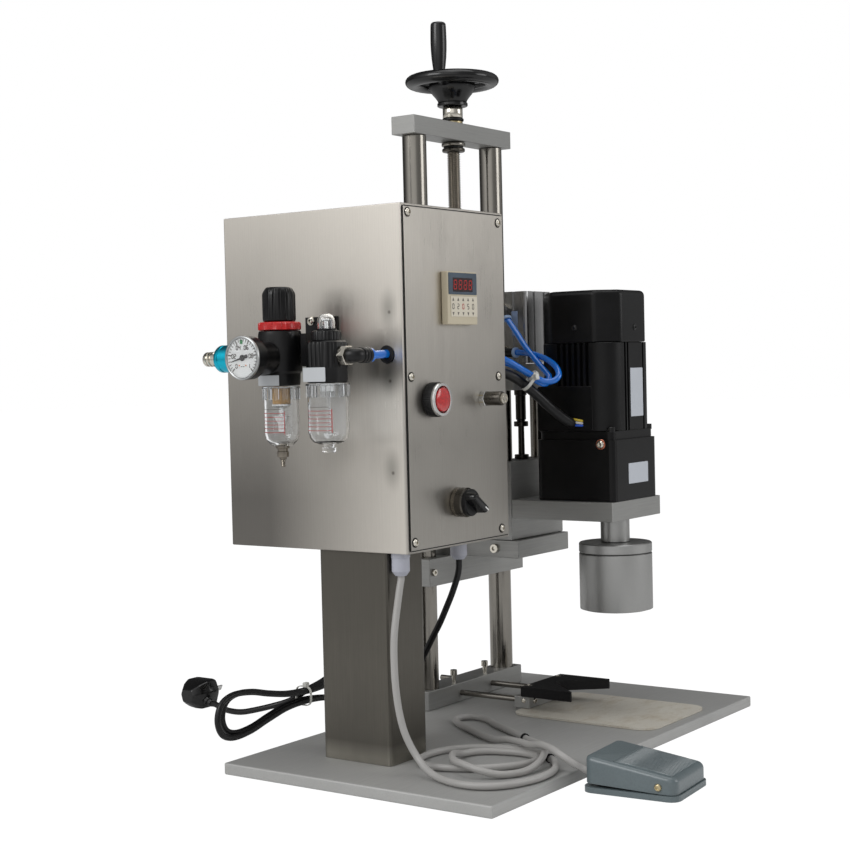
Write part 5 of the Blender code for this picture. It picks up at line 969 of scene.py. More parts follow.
class CAPPING_OT_handwheel(bpy.types.Operator):
    """Make the handwheel, its grip, and the lead screw with its thread, collar and nut"""
    bl_idname = "capping.handwheel"
    bl_label = "Handwheel and lead screw"

    def execute(self, context):
        _, _, details, _ = settings()
        gloss, chrome = finish("gloss black"), finish("chrome")
        around = np.arange(20) * 2 * pi / 20
        rim = turned(np.column_stack([0.0418 + 0.0085 * np.cos(around), 0.6738 + 0.0066 * np.sin(around)]),
                     steps=120, ring=True)
        hub = turned(mm(
            (7.4, 647.0), (15.6, 647.0), (16.3, 647.7), (16.3, 650.3), (15.4, 651.4), (15.8, 653.2), (18, 656.5),
            (21, 660), (23.6, 663.5), (25, 667), (25.2, 670), (24.4, 672.6), (21.4, 674.4), (17, 675.2),
            (12, 675.6), (7.4, 675.6),
        ), steps=64, ring=True)
        parts = each([rim, hub], gloss)
        parts.append((turned(mm((0, 667.3), (7.2, 667.3), (7.2, 673.6), (6.6, 674.3), (0, 674.3))), chrome))
        parts += each([self.spoke(radians(a)) for a in (-166, -46, 74)], gloss)
        piece("handwheel_moulding", "screw", parts, ("handwheel",))
        grip = [
            (0, 51.5), (4.5, 51.4), (6.4, 51), (7.5, 50.1), (8.0, 48.8), (8.2, 46), (8.4, 38), (8.5, 30), (8.3, 22),
            (7.8, 14), (7.0, 7), (6.4, 2.5), (6.2, 0.6), (5.7, 0.3), (0, 0.3),
        ]
        piece("crank_grip_moulding", "grip",
              [(turned(mm(*grip), mm((-36.87, -9.19, 678.8))[0], steps=48), gloss)], ("crank_grip",))
        self.screw(details)
        return {"FINISHED"}

    def spoke(self, angle):
        """An ellipse carried from the hub to the rim, rising and narrowing on the way."""
        out = np.array((cos(angle), sin(angle), 0))
        side = np.array((-sin(angle), cos(angle), 0))
        t = np.linspace(0, 1, 12)[:, None, None]
        around = (np.arange(24) * 2 * pi / 24)[None, :, None]
        centre = out * (0.0190 + 0.0200 * t) + np.array(UP) * (0.6690 + 0.0040 * t ** 1.3)
        wide = 0.0075 - 0.0022 * np.sin(t * pi * 0.9) + 0.0012 * t
        return skin(centre + side * wide * np.cos(around) + np.array(UP) * (0.0036 - 0.0004 * t) * np.sin(around))

    def screw(self, details):
        """The thread: radius = crest less depth times a flattened wave of height / pitch - angle / full turn."""
        pitch, depth = details.thread_pitch, details.thread_depth
        height = np.arange(0.1702, 0.5980, pitch / 8)

        def wave(angle, level):
            phase = 2 * pi * (level / pitch) - angle
            return 1 - depth / 0.0070 * np.clip(0.5 + 0.75 * np.cos(phase), 0, 1)
        thread = turned(np.column_stack([np.full(len(height), 0.0070), height]), steps=28, wave=wave)
        plain = [
            turned(mm((0, 141.3), (6.4, 141.3), (7, 142), (7, 170.3), (0, 170.3))),
            turned(mm((0, 597.9), (6.9, 597.9), (6.9, 640), (0, 640))),
        ]
        nut = disc_ring(0.0122, 0.0070, 0.5985, 0.6024, (0, 0, 0), steps=60, edge=0.0008)
        upper = disc_ring(0.0127, 0.0070, 0.6044, 0.6083, (0, 0, 0), steps=60, edge=0.0008)
        neck = disc_ring(0.0104, 0.0070, 0.6022, 0.6046, (0, 0, 0), steps=60)
        washer = disc_ring(0.0105, 0.0070, 0.6282, 0.6310, (0, 0, 0))
        ring = disc_ring(0.0117, 0.0070, 0.6312, 0.6342, (0, 0, 0), edge=0.0006)
        collar = disc_ring(0.0107, 0.0070, 0.6344, 0.6466, (0, 0, 0), edge=0.0008, steps=64)
        piece("lead_screw_thread", "screw", [
            (thread, finish("thread")), *each(plain, finish("dark steel")), (nut, finish("dark steel")),
            (upper, finish("chrome")), (neck, finish("satin black")),
            (washer, finish("brass")), (ring, finish("satin black")), (collar, finish("nickel")),
        ], ("lead_screw",), crease=50)


class CAPPING_OT_posts(bpy.types.Operator):
    """Make the two posts, the guide rods and the cylinder's rod, all ground and chromed"""
    bl_idname = "capping.posts"
    bl_label = "Posts and rods"

    def execute(self, context):
        chrome = finish("chrome")
        for side, x in (("left", -0.0722), ("right", 0.0722)):
            self.rod(f"post_{side}_rod", f"post_{side}", "frame", 0.0125, (x, 0), chrome)
        for side, x in (("left", -0.0330), ("right", 0.0330)):
            self.rod(f"guide_rod_{side}_bar", f"guide_rod_{side}", "elevator", 0.0078, (x, ROD_Y), chrome)
        low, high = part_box("piston_rod")
        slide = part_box("slide_block")[1].z * 1000
        end, top = slide + 41, high.z * 1000
        rod = turned(mm(
            (0, low.z * 1000), (4, low.z * 1000), (4, slide + 0.5), (7.3, slide + 0.5), (7.5, slide + 0.9),
            (7.5, slide + 4.6), (7.1, slide + 5), (3.4, slide + 5), (3.2, end - 6.4), (7.1, end - 6.4),
            (7.5, end - 6), (7.5, end - 1.6), (7.1, end - 1.2), (4.4, end - 1), (4.4, end + 0.4), (5.4, end + 1),
            (5.4, end + 26), (6.6, end + 27), (6.6, top - 12), (0, top - 12),
        ), (0, ROD_Y, 0), steps=48)
        # Painted reflection: the rod, its stud and nuts in a dark colour that stands in for the chrome's dark mirror
        # image
        piece("piston_rod_bar", "press", [(rod, finish("grip steel"))], ("piston_rod",))
        return {"FINISHED"}

    def rod(self, name, node, body, radius, at, look):
        low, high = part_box(node)
        edge = 0.0005
        shape = turned([
            (0, low.z), (radius - edge, low.z), (radius, low.z + edge), (radius, high.z - edge),
            (radius - edge, high.z), (0, high.z),
        ], (*at, 0), steps=96)
        piece(name, body, [(shape, look)], (node,))


class CAPPING_OT_chuck(bpy.types.Operator):
    """Make the capping chuck and the shaft that turns it"""
    bl_idname = "capping.chuck"
    bl_label = "Chuck and shaft"

    def execute(self, context):
        at = (0, SPINDLE_Y, 0)
        head = turned(mm(
            (0, 160), (19, 160), (19.6, 159.4), (25.4, 119.2), (26.2, 118), (33, 118), (36.9, 119.2), (37, 119.6),
            (37, 175.2), (36.7, 175.6), (35.6, 175.6), (35.5, 175.8), (35.5, 176.9), (35.6, 177.1), (36.7, 177.1),
            (37, 177.5), (37, 185.6), (36.0, 186.6), (7.8, 186.6), (7.8, 166.3), (0, 166.3),
        ), at, steps=128)
        # Painted shade: a dark ring at the floor of the groove round the chuck
        groove = disc_ring(0.03562, 0.0345, 0.17563, 0.17707, at, steps=128, edge=0.0001)
        lining = turned(mm(
            (18.8, 159.7), (19.4, 159.2), (25.2, 119.5), (24, 118.6), (22.2, 119.5), (16.8, 158), (16.8, 159.7),
        ), at, steps=96, ring=True)
        piece("chuck_body", "spindle", [
            (head, finish("blasted")), (groove, finish("groove")), (lining, finish("rubber")),
        ], ("capping_head",), crease=30)
        shaft = turned(mm(
            (0, 166.7), (7.4, 166.7), (7.4, 187), (14.2, 187), (14.7, 187.5), (14.7, 210.7), (14.1, 211.2),
            (7.4, 211.2), (7.4, 256), (0, 256),
        ), at, steps=96)
        piece("chuck_shaft", "spindle", [(shaft, finish("blasted shaft"))], ("spindle",))
        return {"FINISHED"}


# ---------------------------------------------------------------- motor and cylinder

def grooved(half, corner, sides, depth):
    """A square outline with rounded corners and square grooves. Sides lists, for right, back, left and front,
    the middle and width of each of its grooves along that side."""
    points = []
    turn = np.linspace(0, pi / 2, 13)
    for k in range(4):
        out = np.array((cos(k * pi / 2), sin(k * pi / 2)))
        along = np.array((-out[1], out[0]))
        for middle, wide in sorted(sides[k]):
            edge = wide / 2
            for shift, down in ((-edge, 0), (-edge + 0.0006, depth), (edge - 0.0006, depth), (edge, 0)):
                points.append(out * (half - down) + along * (middle + shift))
        centre = (out + along) * (half - corner)
        points += [centre + corner * (out * cos(a) + along * sin(a)) for a in turn]
    return np.array(points)


class CAPPING_OT_motor(bpy.types.Operator):
    """Make the motor's ribbed body, its terminal cover and wires, and its name plates, bare"""
    bl_idname = "capping.motor"
    bl_label = "Motor"

    def execute(self, context):
        low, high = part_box("motor_body")
        middle = np.array(((low.x + high.x) / 2, (low.y + high.y) / 2, 0))
        half = (high.x - low.x) / 2
        even = [(x * 0.001, 0.0040) for x in (-16.25, -9.75, -3.25, 3.25, 9.75, 16.25)]
        front = [(x * 0.001, w * 0.001) for x, w in ((-18.2, 3.6), (-12.6, 3.6), (19.4, 3.2))]
        outline = grooved(half, 0.024, (even, even, even, front), 0.0042)
        body = slab(outline, low.z, high.z, middle, UP, RIGHT, 0.0005)
        cover = slab(rectangle(0.0640, 0.0450, 0.003), 0, 0.0060,
                     (low.x + 0.0055, -0.1580, 0.3235), LEFT, BACK, 0.0006)
        paint = finish("motor paint")
        self.fan_cover(paint)
        piece("motor_ribbed_body", "press", each([body, cover], paint), ("motor_body",), crease=28)
        self.plates(low)
        self.wires(low)
        return {"FINISHED"}

    def fan_cover(self, paint):
        """The fan cover: a square outline with cut corners, drawn in over a quarter circle at its top."""
        low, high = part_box("fan_cover")
        middle = np.array(((low.x + high.x) / 2, (low.y + high.y) / 2, 0))
        half, cut = (high.x - low.x) / 2, 0.0200
        corners = np.array([
            (half, cut - half), (half, half - cut), (half - cut, half), (cut - half, half), (-half, half - cut),
            (-half, cut - half), (cut - half, -half), (half - cut, -half),
        ])
        outline = rounded(corners, lambda side: side / np.linalg.norm(side) * 0.0035, 6)
        edge, radius = 0.0008, 0.0055
        sections = [(inset(outline, edge), low.z), (outline, low.z + edge)]
        for lean in np.linspace(0, pi / 2, 7):
            sections.append((inset(outline, radius * (1 - cos(lean))), high.z - radius * (1 - sin(lean))))
        shell = loft(sections, middle, UP, RIGHT)
        piece("fan_cover_shell", "press", [(shell, paint)], ("fan_cover",), crease=28)
        holes = [
            disc_ring(0.0034, 0.0016, 0, 0.0005, (-half, -0.1710, 0.4039), LEFT, 32),
            disc_ring(0.0034, 0.0016, 0, 0.0005, (0.0021, low.y, 0.4038), FRONT, 32),
            dome_screw((-half - 0.0002, -0.1710, 0.4039), LEFT, 0.0026, 0.0012),
            dome_screw((0.0021, low.y - 0.0002, 0.4038), FRONT, 0.0026, 0.0012),
            dome_screw((half + 0.0002, -0.1690, 0.4038), RIGHT, 0.0026, 0.0012),
        ]
        piece("fan_cover_screws", "press", each(holes, finish("gloss black")))
        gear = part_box("gearbox")
        heads = [
            cap_screw((x, y, 0.2998), UP, 0.0040, 0.0052)
            for x in (gear[0].x + 0.0062, gear[1].x - 0.0062) for y in (gear[0].y + 0.0066, gear[1].y - 0.0066)
        ]
        piece("motor_bolts", "press", each(heads, finish("gloss black")))

    def plates(self, low):
        label = finish("label")
        motor = plate((0.0046, low.y - 0.0001, 0.33865), FRONT, RIGHT, 0.0258, 0.0487, 0.0003, 0.0008)
        gear_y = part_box("gearbox")[0].y
        gear = plate((0.0040, gear_y - 0.0001, 0.25745), FRONT, RIGHT, 0.0410, 0.0205, 0.0003, 0.0008)
        piece("motor_plate_bare", "press", each([motor, gear], label))

    def wires(self, low):
        """Three short wires between the terminal cover and the cord, and the earth screw on the gear case."""
        start = np.array((-0.0448, -0.1675, 0.3096))
        colours = (("yellow wire", 3.2), ("white wire", 0.4), ("blue wire", -2.4))
        for look, lift in colours:
            path = smooth_path([
                start + (-0.0030, 0.0018, lift * 0.0008), start + (-0.0028, -0.0030, lift * 0.001),
                start + (-0.0016, -0.0080, lift * 0.0009 - 0.0006), start + (0.0012, -0.0115, lift * 0.0008 - 0.001),
            ], 0.0008)
            piece(f"motor_{look.replace(' ', '_')}", "press", [(tube(path, 0.0012, 12), finish(look))])
        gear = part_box("gearbox")[0]
        at = (gear.x - 0.0001, -0.1987, 0.2880)
        washer = disc_ring(0.0052, 0.0022, 0, 0.0008, at, LEFT)
        head = dome_screw(moved(at, (-0.0008, 0, 0)), LEFT, 0.0041, 0.0024)
        piece("earth_screw", "press", [(washer, finish("copper")), (head, finish("nickel"))])


class CAPPING_OT_fasteners(bpy.types.Operator):
    """Set the screws: domed ones on the panel and the bracket, capped and countersunk ones on the machine"""
    bl_idname = "capping.fasteners"
    bl_label = "Fasteners"

    def execute(self, context):
        nickel, black = finish("nickel"), finish("satin black")
        parts = []
        for x, z in (
            (-296.5, 505.5), (-149.7, 503.8), (-298.7, 360.4), (-153.9, 358.5), (-298, 213.8), (-153.7, 213.4),
        ):
            x = min(max(x, -295.2), -147.5)
            at = np.array((x * 0.001, PANEL_Y - 0.0001, z * 0.001))
            # Painted shadow: a dark ring round each dome screw
            parts.append((disc_ring(0.0044, 0.0020, 0, 0.0005, at, FRONT), black))
            parts.append((dome_screw(at + (0, -0.0004, 0), FRONT, 0.0036, 0.0020, 0.45), nickel))
        low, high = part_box("front_panel")
        # Painted shadow: a thin dark frame round the panel for the shaded gap at its edge
        painted_gap_shadow = band(((low.x + high.x) / 2, high.y - 0.0002, (low.z + high.z) / 2), FRONT, RIGHT,
                    rectangle(high.x - low.x + 0.0001, high.z - low.z + 0.0001, 0.0012, 4), 0.0006, 0.0010)
        parts.append((painted_gap_shadow, black))
        piece("panel_screws", "frame", parts)
        bracket_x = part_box("air_bracket")[1].x - 0.0030
        parts = []
        for y, z in ((-47.7, 413.0), (-59.4, 412.8)):
            parts.append((dome_screw((bracket_x, y * 0.001, z * 0.001), LEFT, 0.0042, 0.0022, 0.45), nickel))
        piece("bracket_screws", "frame", parts)
        self.machine(nickel)
        return {"FINISHED"}

    def machine(self, nickel):
        """Heads on the stop, its carrier, the clamps and the moving plates, and the stop's rods."""
        block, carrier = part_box("v_block"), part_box("v_carrier")
        sunk = mm((0, 0), (3.6, 0), (3.6, 0.15), (3.3, 0.3), (1.6, 0.3), (1.5, 0), (0, 0))
        heads = [turned(sunk, (x, -0.0990, block[1].z), UP, 32) for x in (-0.029, 0.029)]
        heads.append(dome_screw((-0.0277, carrier[0].y + 0.0001, 0.0203), FRONT, 0.0030, 0.0014))
        heads.append(dome_screw((carrier[0].x + 0.0001, -0.0982, 0.0215), LEFT, 0.0026, 0.0012))
        piece("stop_screws", "bottle_stop", each(heads, nickel))
        rods = [turned(mm((0, -87.5), (3.05, -87.5), (3.05, 53), (2.6, 53.5), (0, 53.5)), (x, 0, 0.0205), BACK)
                for x in (-0.030, 0.030)]
        piece("stop_rods", "bottle_stop", each(rods, finish("chrome")))
        clamps = [cap_screw((x, -0.0050, 0.0383), UP, 0.0037, 0.0058) for x in (-0.030, 0.030)]
        clamps += [turned(mm((0, 31), (2.2, 31), (2.2, 38.4), (0, 38.4)), (x, -0.0050, 0)) for x in (-0.030, 0.030)]
        piece("clamp_screws", "frame", each(clamps, nickel))
        plate_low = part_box("elevator_plate")[0]
        side = [cap_screw((plate_low.x - 0.0001, -0.0749, 0.1798), LEFT, 0.0046, 0.0030)]
        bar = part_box("elevator_bar")
        side.append(cap_screw((-0.084, bar[0].y - 0.0001, 0.1556), FRONT, 0.0036, 0.0028))
        piece("elevator_screws", "elevator", each(side, nickel))


# ---------------------------------------------------------------- air unit

class CAPPING_OT_regulator(bpy.types.Operator):
    """Make the filter and its regulator: the fluted knob, the red ring, the ribbed body and the clear bowl"""
    bl_idname = "capping.regulator"
    bl_label = "Filter and regulator"

    def execute(self, context):
        _, _, details, _ = settings()
        at = (AIR_X, FILTER_Y, 0)
        unit = finish("unit black")
        knob = turned(mm(
            (0, 412.4), (13.9, 412.4), (14.6, 413.2), (14.8, 414.6), (14.8, 436), (14.3, 438), (12.2, 441.4),
            (11.2, 442.5), (10.2, 442.8), (0, 442.8),
        ), at, steps=192, wave=flutes(details.knob_flutes, 0.11, 0.4150, 0.4390))
        piece("regulator_knob_moulding", "regulator", [(knob, unit)], ("regulator_knob",))
        bumps = details.ring_bumps

        def bumpy(angle, height):
            return 1 - 0.035 * (np.cos(bumps * angle) > 0.45) * (height > 0.4052)
        ring = turned(mm(
            (13.2, 404.6), (18.2, 404.6), (19.1, 405.2), (19.2, 406.5), (19.2, 410.4), (18.4, 411.6), (17, 411.9),
            (13.2, 411.9),
        ), at, steps=168, wave=bumpy, ring=True)
        piece("regulator_locking_ring", "frame", [(ring, finish("red plastic"))], ("regulator_ring",))

        def ribs(angle, height):
            return 1 - 0.03 * (np.cos(20 * angle) > 0.2) * ((height > 0.3700) & (height < 0.3990))
        body = turned(mm(
            (0, 355.2), (16.4, 355.2), (17.2, 356), (17.6, 362), (17.6, 366), (19.2, 368), (19.4, 370), (19.4, 400),
            (18.8, 403.4), (18, 404.1), (0, 404.1),
        ), at, steps=160, wave=ribs)
        piece("filter_ribbed_body", "frame", [(body, unit)], ("filter_regulator_body",))
        bowl_parts(
            "filter_bowl_moulding", "filter_bowl", at, 0.3545, 0.3017, 0.0157, 0.0092,
            self.inside(at),
        )
        return {"FINISHED"}

    def inside(self, at):
        """The brown filter element, its cap and the drain below the bowl."""
        element = turned(mm((0, 339), (7.6, 339), (8, 339.5), (8, 353.4), (0, 353.4)), at, steps=48)
        cap = turned(mm((0, 335.8), (5.6, 335.8), (8.6, 337.5), (8.6, 338.9), (0, 338.9)), at, steps=48)
        flare = turned(mm(
            (0, 314.5), (3.2, 314.5), (3.6, 322), (6.8, 327.4), (6.8, 328.6), (2.4, 328.6), (2, 335.7), (0, 335.7),
        ), at)
        drain = turned(mm(
            (0, 283), (1.6, 283), (2.1, 284), (1.5, 285.4), (2.2, 285.8), (1.6, 287.4), (2.3, 287.8), (1.8, 289.4),
            (3.2, 289.6), (3.2, 291.6), (5.2, 291.8), (5.4, 293), (5.4, 296.6), (4.6, 297), (4.6, 299.2),
            (6.2, 299.6), (6.2, 301.6), (0, 301.6),
        ), at, steps=48)
        return [
            (element, finish("filter")), (cap, finish("silver")), (flare, finish("silver")),
            (drain, finish("thread")),
        ]


def bowl_parts(name, node, at, top, low, radius, foot, inside):
    """A clear bowl with a wall: down its outside, round its foot and up its inside; castellations at the top,
    fill lines on its side, and what stands in it."""
    wall = 0.0016
    outer = [
        (radius, top), (radius, low + 0.0110), (radius - 0.0010, low + 0.0060), (radius - 0.0040, low + 0.0022),
        (foot, low + 0.0002), (foot - 0.0012, low),
    ]
    inner = [
        (foot - 0.0030, low + wall), (radius - 0.0052, low + 0.0038), (radius - wall - 0.0010, low + 0.0070),
        (radius - wall, low + 0.0115), (radius - wall, top),
    ]
    shell = turned([(0, low)] + outer[::-1] + [(radius - wall, top)] + inner[::-1][1:] + [(0, low + wall)],
                   at, steps=96)
    marks = []
    for k in range(7):
        z = top - 0.0200 - 0.0034 * k
        look = "print" if k == 0 else "red print"
        marks += arc_mark(at, radius, z, radians(-178), radians(92 if k else 70), 0.0004, look)
    marks += arc_mark(at, radius, top - 0.0320, radians(-132), radians(2.2), 0.0205, "red print")
    collar = []
    for k in range(14):
        angle = 2 * pi * k / 14
        out = np.array((cos(angle), sin(angle), 0))
        collar.append(plate(np.array(at) + out * (radius - 0.0002) + (0, 0, top - 0.0062), out,
                            (-out[1], out[0], 0), 0.0044, 0.0108, 0.0017, 0.0008))
    guard = disc_ring(radius + 0.0014, radius - 0.0003, top - 0.0016, top + 0.0002, at, steps=96)
    piece(name, "frame", [(shell, finish("clear")), *marks, *inside], (node,))
    piece(name.replace("moulding", "collar"), "frame", each([*collar, guard], finish("clear")))


def arc_mark(at, radius, z, middle, sweep, high, look):
    """A printed line: a thin band of a cylinder over an angle."""
    t = middle + np.linspace(-sweep / 2, sweep / 2, 14)
    inner, outer = radius - 0.00002, radius + 0.00012
    rows = []
    for r, level in ((inner, z - high / 2), (outer, z - high / 2), (outer, z + high / 2), (inner, z + high / 2)):
        rows.append(np.stack([at[0] + r * np.cos(t), at[1] + r * np.sin(t), np.full(len(t), at[2] + level)], -1))
    grid = np.array(rows).transpose(1, 0, 2)
    return [(skin(grid), finish(look))]


class CAPPING_OT_oiler(bpy.types.Operator):
    """Make the oiler: the ribbed body, the sight dome and the clear bowl, and the outlet's elbow"""
    bl_idname = "capping.oiler"
    bl_label = "Oiler and outlet"

    def execute(self, context):
        at = (AIR_X, OILER_Y, 0)
        unit = finish("unit black")

        def boxy(angle, height):
            square = 0.93 / np.maximum(np.abs(np.cos(angle)), np.abs(np.sin(angle)))
            square = np.minimum(square, 1.0)
            rib = 1 - 0.035 * (np.cos(24 * angle) > 0.3) * ((height > 0.3715) & (height < 0.3905))
            return square * rib
        body = turned(mm(
            (0, 357.2), (17, 357.2), (17.8, 358), (18, 360), (18, 369), (18.4, 370.5), (18.5, 372), (18.5, 390),
            (17.6, 392.6), (15.8, 393.8), (0, 393.8),
        ), at, steps=160, wave=boxy)
        knurl = turned(mm(
            (0, 393.6), (12.6, 393.6), (13.2, 394.4), (13.2, 401), (12.4, 402.2), (10, 402.8), (0, 402.8),
        ), at, steps=168, wave=flutes(28, 0.05, 0.3950, 0.4012))
        base = turned(mm((0, 402.6), (8.8, 402.6), (8.8, 404.4), (0, 404.4)), at)
        insert = turned(mm(
            (0, 404.2), (2.0, 404.2), (2.0, 411), (3.4, 411.6), (3.4, 412.8), (1.4, 413.6), (0, 413.6),
        ), at)
        piece("oiler_ribbed_body", "frame", [
            (body, unit), (knurl, unit), (base, unit), (insert, finish("silver")),
        ], ("lubricator_body",))
        dome = turned(mm(
            (0, 416.6), (2.6, 416.4), (4.9, 415.2), (6.3, 413), (6.8, 410), (6.8, 404.5), (7.7, 404.5), (7.8, 410),
            (7.2, 413.6), (5.6, 416.2), (3, 417.6), (0, 418),
        ), at, steps=64)
        piece("oiler_dome", "frame", [(dome, finish("clear"))])
        oil_tube = tube(smooth_path(mm(
            (-350, -100, 352), (-350.4, -100.6, 340), (-353.5, -102.5, 322), (-355.5, -104, 312),
        )), 0.0017, 16)
        holder = turned(mm((0, 350), (6, 350), (6.4, 356.2), (0, 356.2)), at)
        weight = turned(mm((0, 307), (2.6, 307), (4.2, 309.5), (4.2, 311), (0, 311)),
                        moved(at, (-0.0052, -0.0035, 0.0022)))
        foot = turned(mm(
            (0, 296.4), (5.4, 296.4), (6.2, 297.4), (6.2, 300.6), (4.4, 301.2), (4.4, 303.5), (0, 303.5),
        ), at)
        inside = [
            (oil_tube, finish("clear")), (holder, finish("silver")), (weight, finish("silver")),
            (foot, finish("clear")),
        ]
        bowl_parts(
            "oiler_bowl_moulding", "lubricator_bowl", at, 0.3565, 0.3037, 0.0180, 0.0092, inside,
        )
        self.outlet(unit)
        return {"FINISHED"}

    def outlet(self, unit):
        """The outlet: a hexagon, a ribbed elbow, a collar, the hose into the cabinet and its grommet."""
        z = AIR_Z
        start = np.array((AIR_X, -0.1186, z))
        nut = turned(mm((0, -1.4), (9.0, -1.4), (9.4, -1), (9.4, 5.4), (9.0, 5.8), (0, 5.8)), start, FRONT, 36,
                     hexagon)
        bend = smooth_path([
            start + (0, -0.0050, 0), start + (0, -0.0085, 0), start + (0.0010, -0.0108, 0),
            *((AIR_X + shift, ELBOW_Y, z) for shift in (0.0040, 0.0100, 0.0160)),
        ], 0.0008)
        elbow = tube(bend, 0.0062, 32)
        shoulder = turned(mm(
            (0, 0), (6.7, 0), (7, 0.5), (7, 2.6), (6.2, 3.0), (6.2, 4.0), (7, 4.4), (7, 6.6), (6.2, 7.0), (6.2, 8.0),
            (7, 8.4), (7, 11), (6.2, 12), (0, 12),
        ), (AIR_X + 0.0070, ELBOW_Y, z), RIGHT, 64)
        collar = disc_ring(0.0062, 0.0029, 0.0190, 0.0222, (AIR_X, ELBOW_Y, z), RIGHT, 40)
        hose = tube(smooth_path([
            (AIR_X + 0.0170, ELBOW_Y, z), (-0.3220, ELBOW_Y, z + 0.0002), (-0.2920, ELBOW_Y, z + 0.0014),
        ]), 0.0037, 24)
        piece("outlet_fitting", "frame", [
            (nut, finish("nickel")), (elbow, unit), (shoulder, unit), (collar, finish("hose")),
            (hose, finish("hose")),
        ], ("outlet_elbow",))
        into = (SIDE_X - 0.0001, ELBOW_Y + 0.0003, z + 0.0004)
        grommet = disc_ring(0.0080, 0.0040, 0, 0.0014, into, LEFT, 48, 0.0006)
        piece("hose_grommet", "frame", [(grommet, finish("rubber"))])


class CAPPING_OT_gauge(bpy.types.Operator):
    """Make the pressure gauge: its case, rim, face with ticks and figures, and its needle"""
    bl_idname = "capping.gauge"
    bl_label = "Pressure gauge"
    sweep_from, sweep_to = radians(225), radians(-45)

    def execute(self, context):
        face_x = -0.4003
        at = (0, FILTER_Y, AIR_Z)
        shell = turned(mm(
            (0, 388.5), (17.8, 388.5), (18.8, 389.6), (18.9, 391), (18.9, 399.6), (0, 399.6),
        ), at, LEFT, 128)
        rim = turned(mm(
            (17.4, 399.2), (19.1, 399.2), (19.3, 399.8), (19.3, 401), (18.9, 401.9), (18.1, 402.1), (17.5, 401.7),
            (17.2, 400.9),
        ), at, LEFT, 128, ring=True)
        boss = turned(mm(
            (0, 366.6), (13.6, 366.6), (14.6, 367.6), (15.2, 372), (15.2, 382), (16.6, 385), (16.6, 388.7),
            (0, 388.7),
        ), at, LEFT, 96)
        face = turned(mm((0, 399.5), (17.4, 399.5), (17.4, 400.1), (0, 400.1)), at, LEFT, 96)
        parts = [(shell, finish("unit black")), (boss, finish("unit black")), (face, finish("dial")),
                 (rim, finish("gauge rim"))]
        parts += self.scale(face_x)
        pane = turned(mm((0, 401.4), (17, 401.4), (17, 401.8), (0, 401.8)), at, LEFT, 96)
        piece("gauge_case_and_dial", "frame", parts, ("gauge_case",))
        piece("gauge_pane", "frame", [(pane, finish("gauge glass"))])
        self.needle(at)
        return {"FINISHED"}

    def spot(self, angle, radius, x):
        """A place on the dial: the angle runs clockwise from the top as the dial is read, from the left."""
        return np.array((x, FILTER_Y - radius * sin(angle), AIR_Z + radius * cos(angle)))

    def scale(self, x):
        made = []
        for k in range(26):
            angle = radians(-135 + 270 * k / 25)
            out = self.spot(angle, 1, 0) - self.spot(0, 0, 0)
            long, wide = (0.0036, 0.0011) if k % 5 == 0 else (0.0026, 0.0006)
            centre = self.spot(angle, 0.0166 - long / 2, x)
            made.append((plate(centre, LEFT, tuple(out), long, wide, 0.00006), finish("print")))
        for k, figures in enumerate(("0", "02", "04", "06", "08", "1")):
            angle = radians(-135 + 54 * k)
            centre = self.spot(angle, 0.0100, x)
            shift = 0.0014 * (len(figures) - 1)
            for n, figure in enumerate(figures):
                spot = centre + np.array((0, shift - 0.0028 * n, 0))
                made += each(digit(figure, spot, LEFT, FRONT, 0.0034, 0.0008), finish("print"))
        green = plate(self.spot(radians(-4), 0.0140, x), LEFT, BACK, 0.0034, 0.0040, 0.00006, 0.0012)
        made.append((green, finish("green print")))
        for side in (-1, 1):
            made.append((turned([(0, 0), (0.0007, 0), (0.0007, 0.00007), (0, 0.00007)],
                                self.spot(side * radians(150), 0.0075, x), LEFT, 16), finish("orange print")))
        for shift in (-0.0012, 0.0012):
            spot = self.spot(pi, 0.0075, x) + np.array((0, shift, 0))
            made.append((plate(spot, LEFT, FRONT, 0.0016, 0.0006, 0.00006), finish("print")))
        return made

    def needle(self, at):
        """The pointer, a long taper with a thick tail, over a small hub."""
        angle = radians(-105)
        out = self.spot(angle, 1, 0) - self.spot(0, 0, 0)
        outline = mm(
            (13.6, 0.30), (3, 0.80), (-4.6, 1.6), (-6.2, 1.3), (-6.2, -1.3), (-4.6, -1.6), (3, -0.80), (13.6, -0.30),
        )
        pointer = slab(outline, 0.40055, 0.40085, at, LEFT, tuple(out))
        hub = turned(mm((0, 400.35), (2.7, 400.35), (2.7, 401.0), (2.2, 401.3), (0, 401.3)), at, LEFT, 32)
        parts = each([pointer, hub], finish("satin black"))
        piece("gauge_pointer", "gauge", parts, ("gauge_needle",))


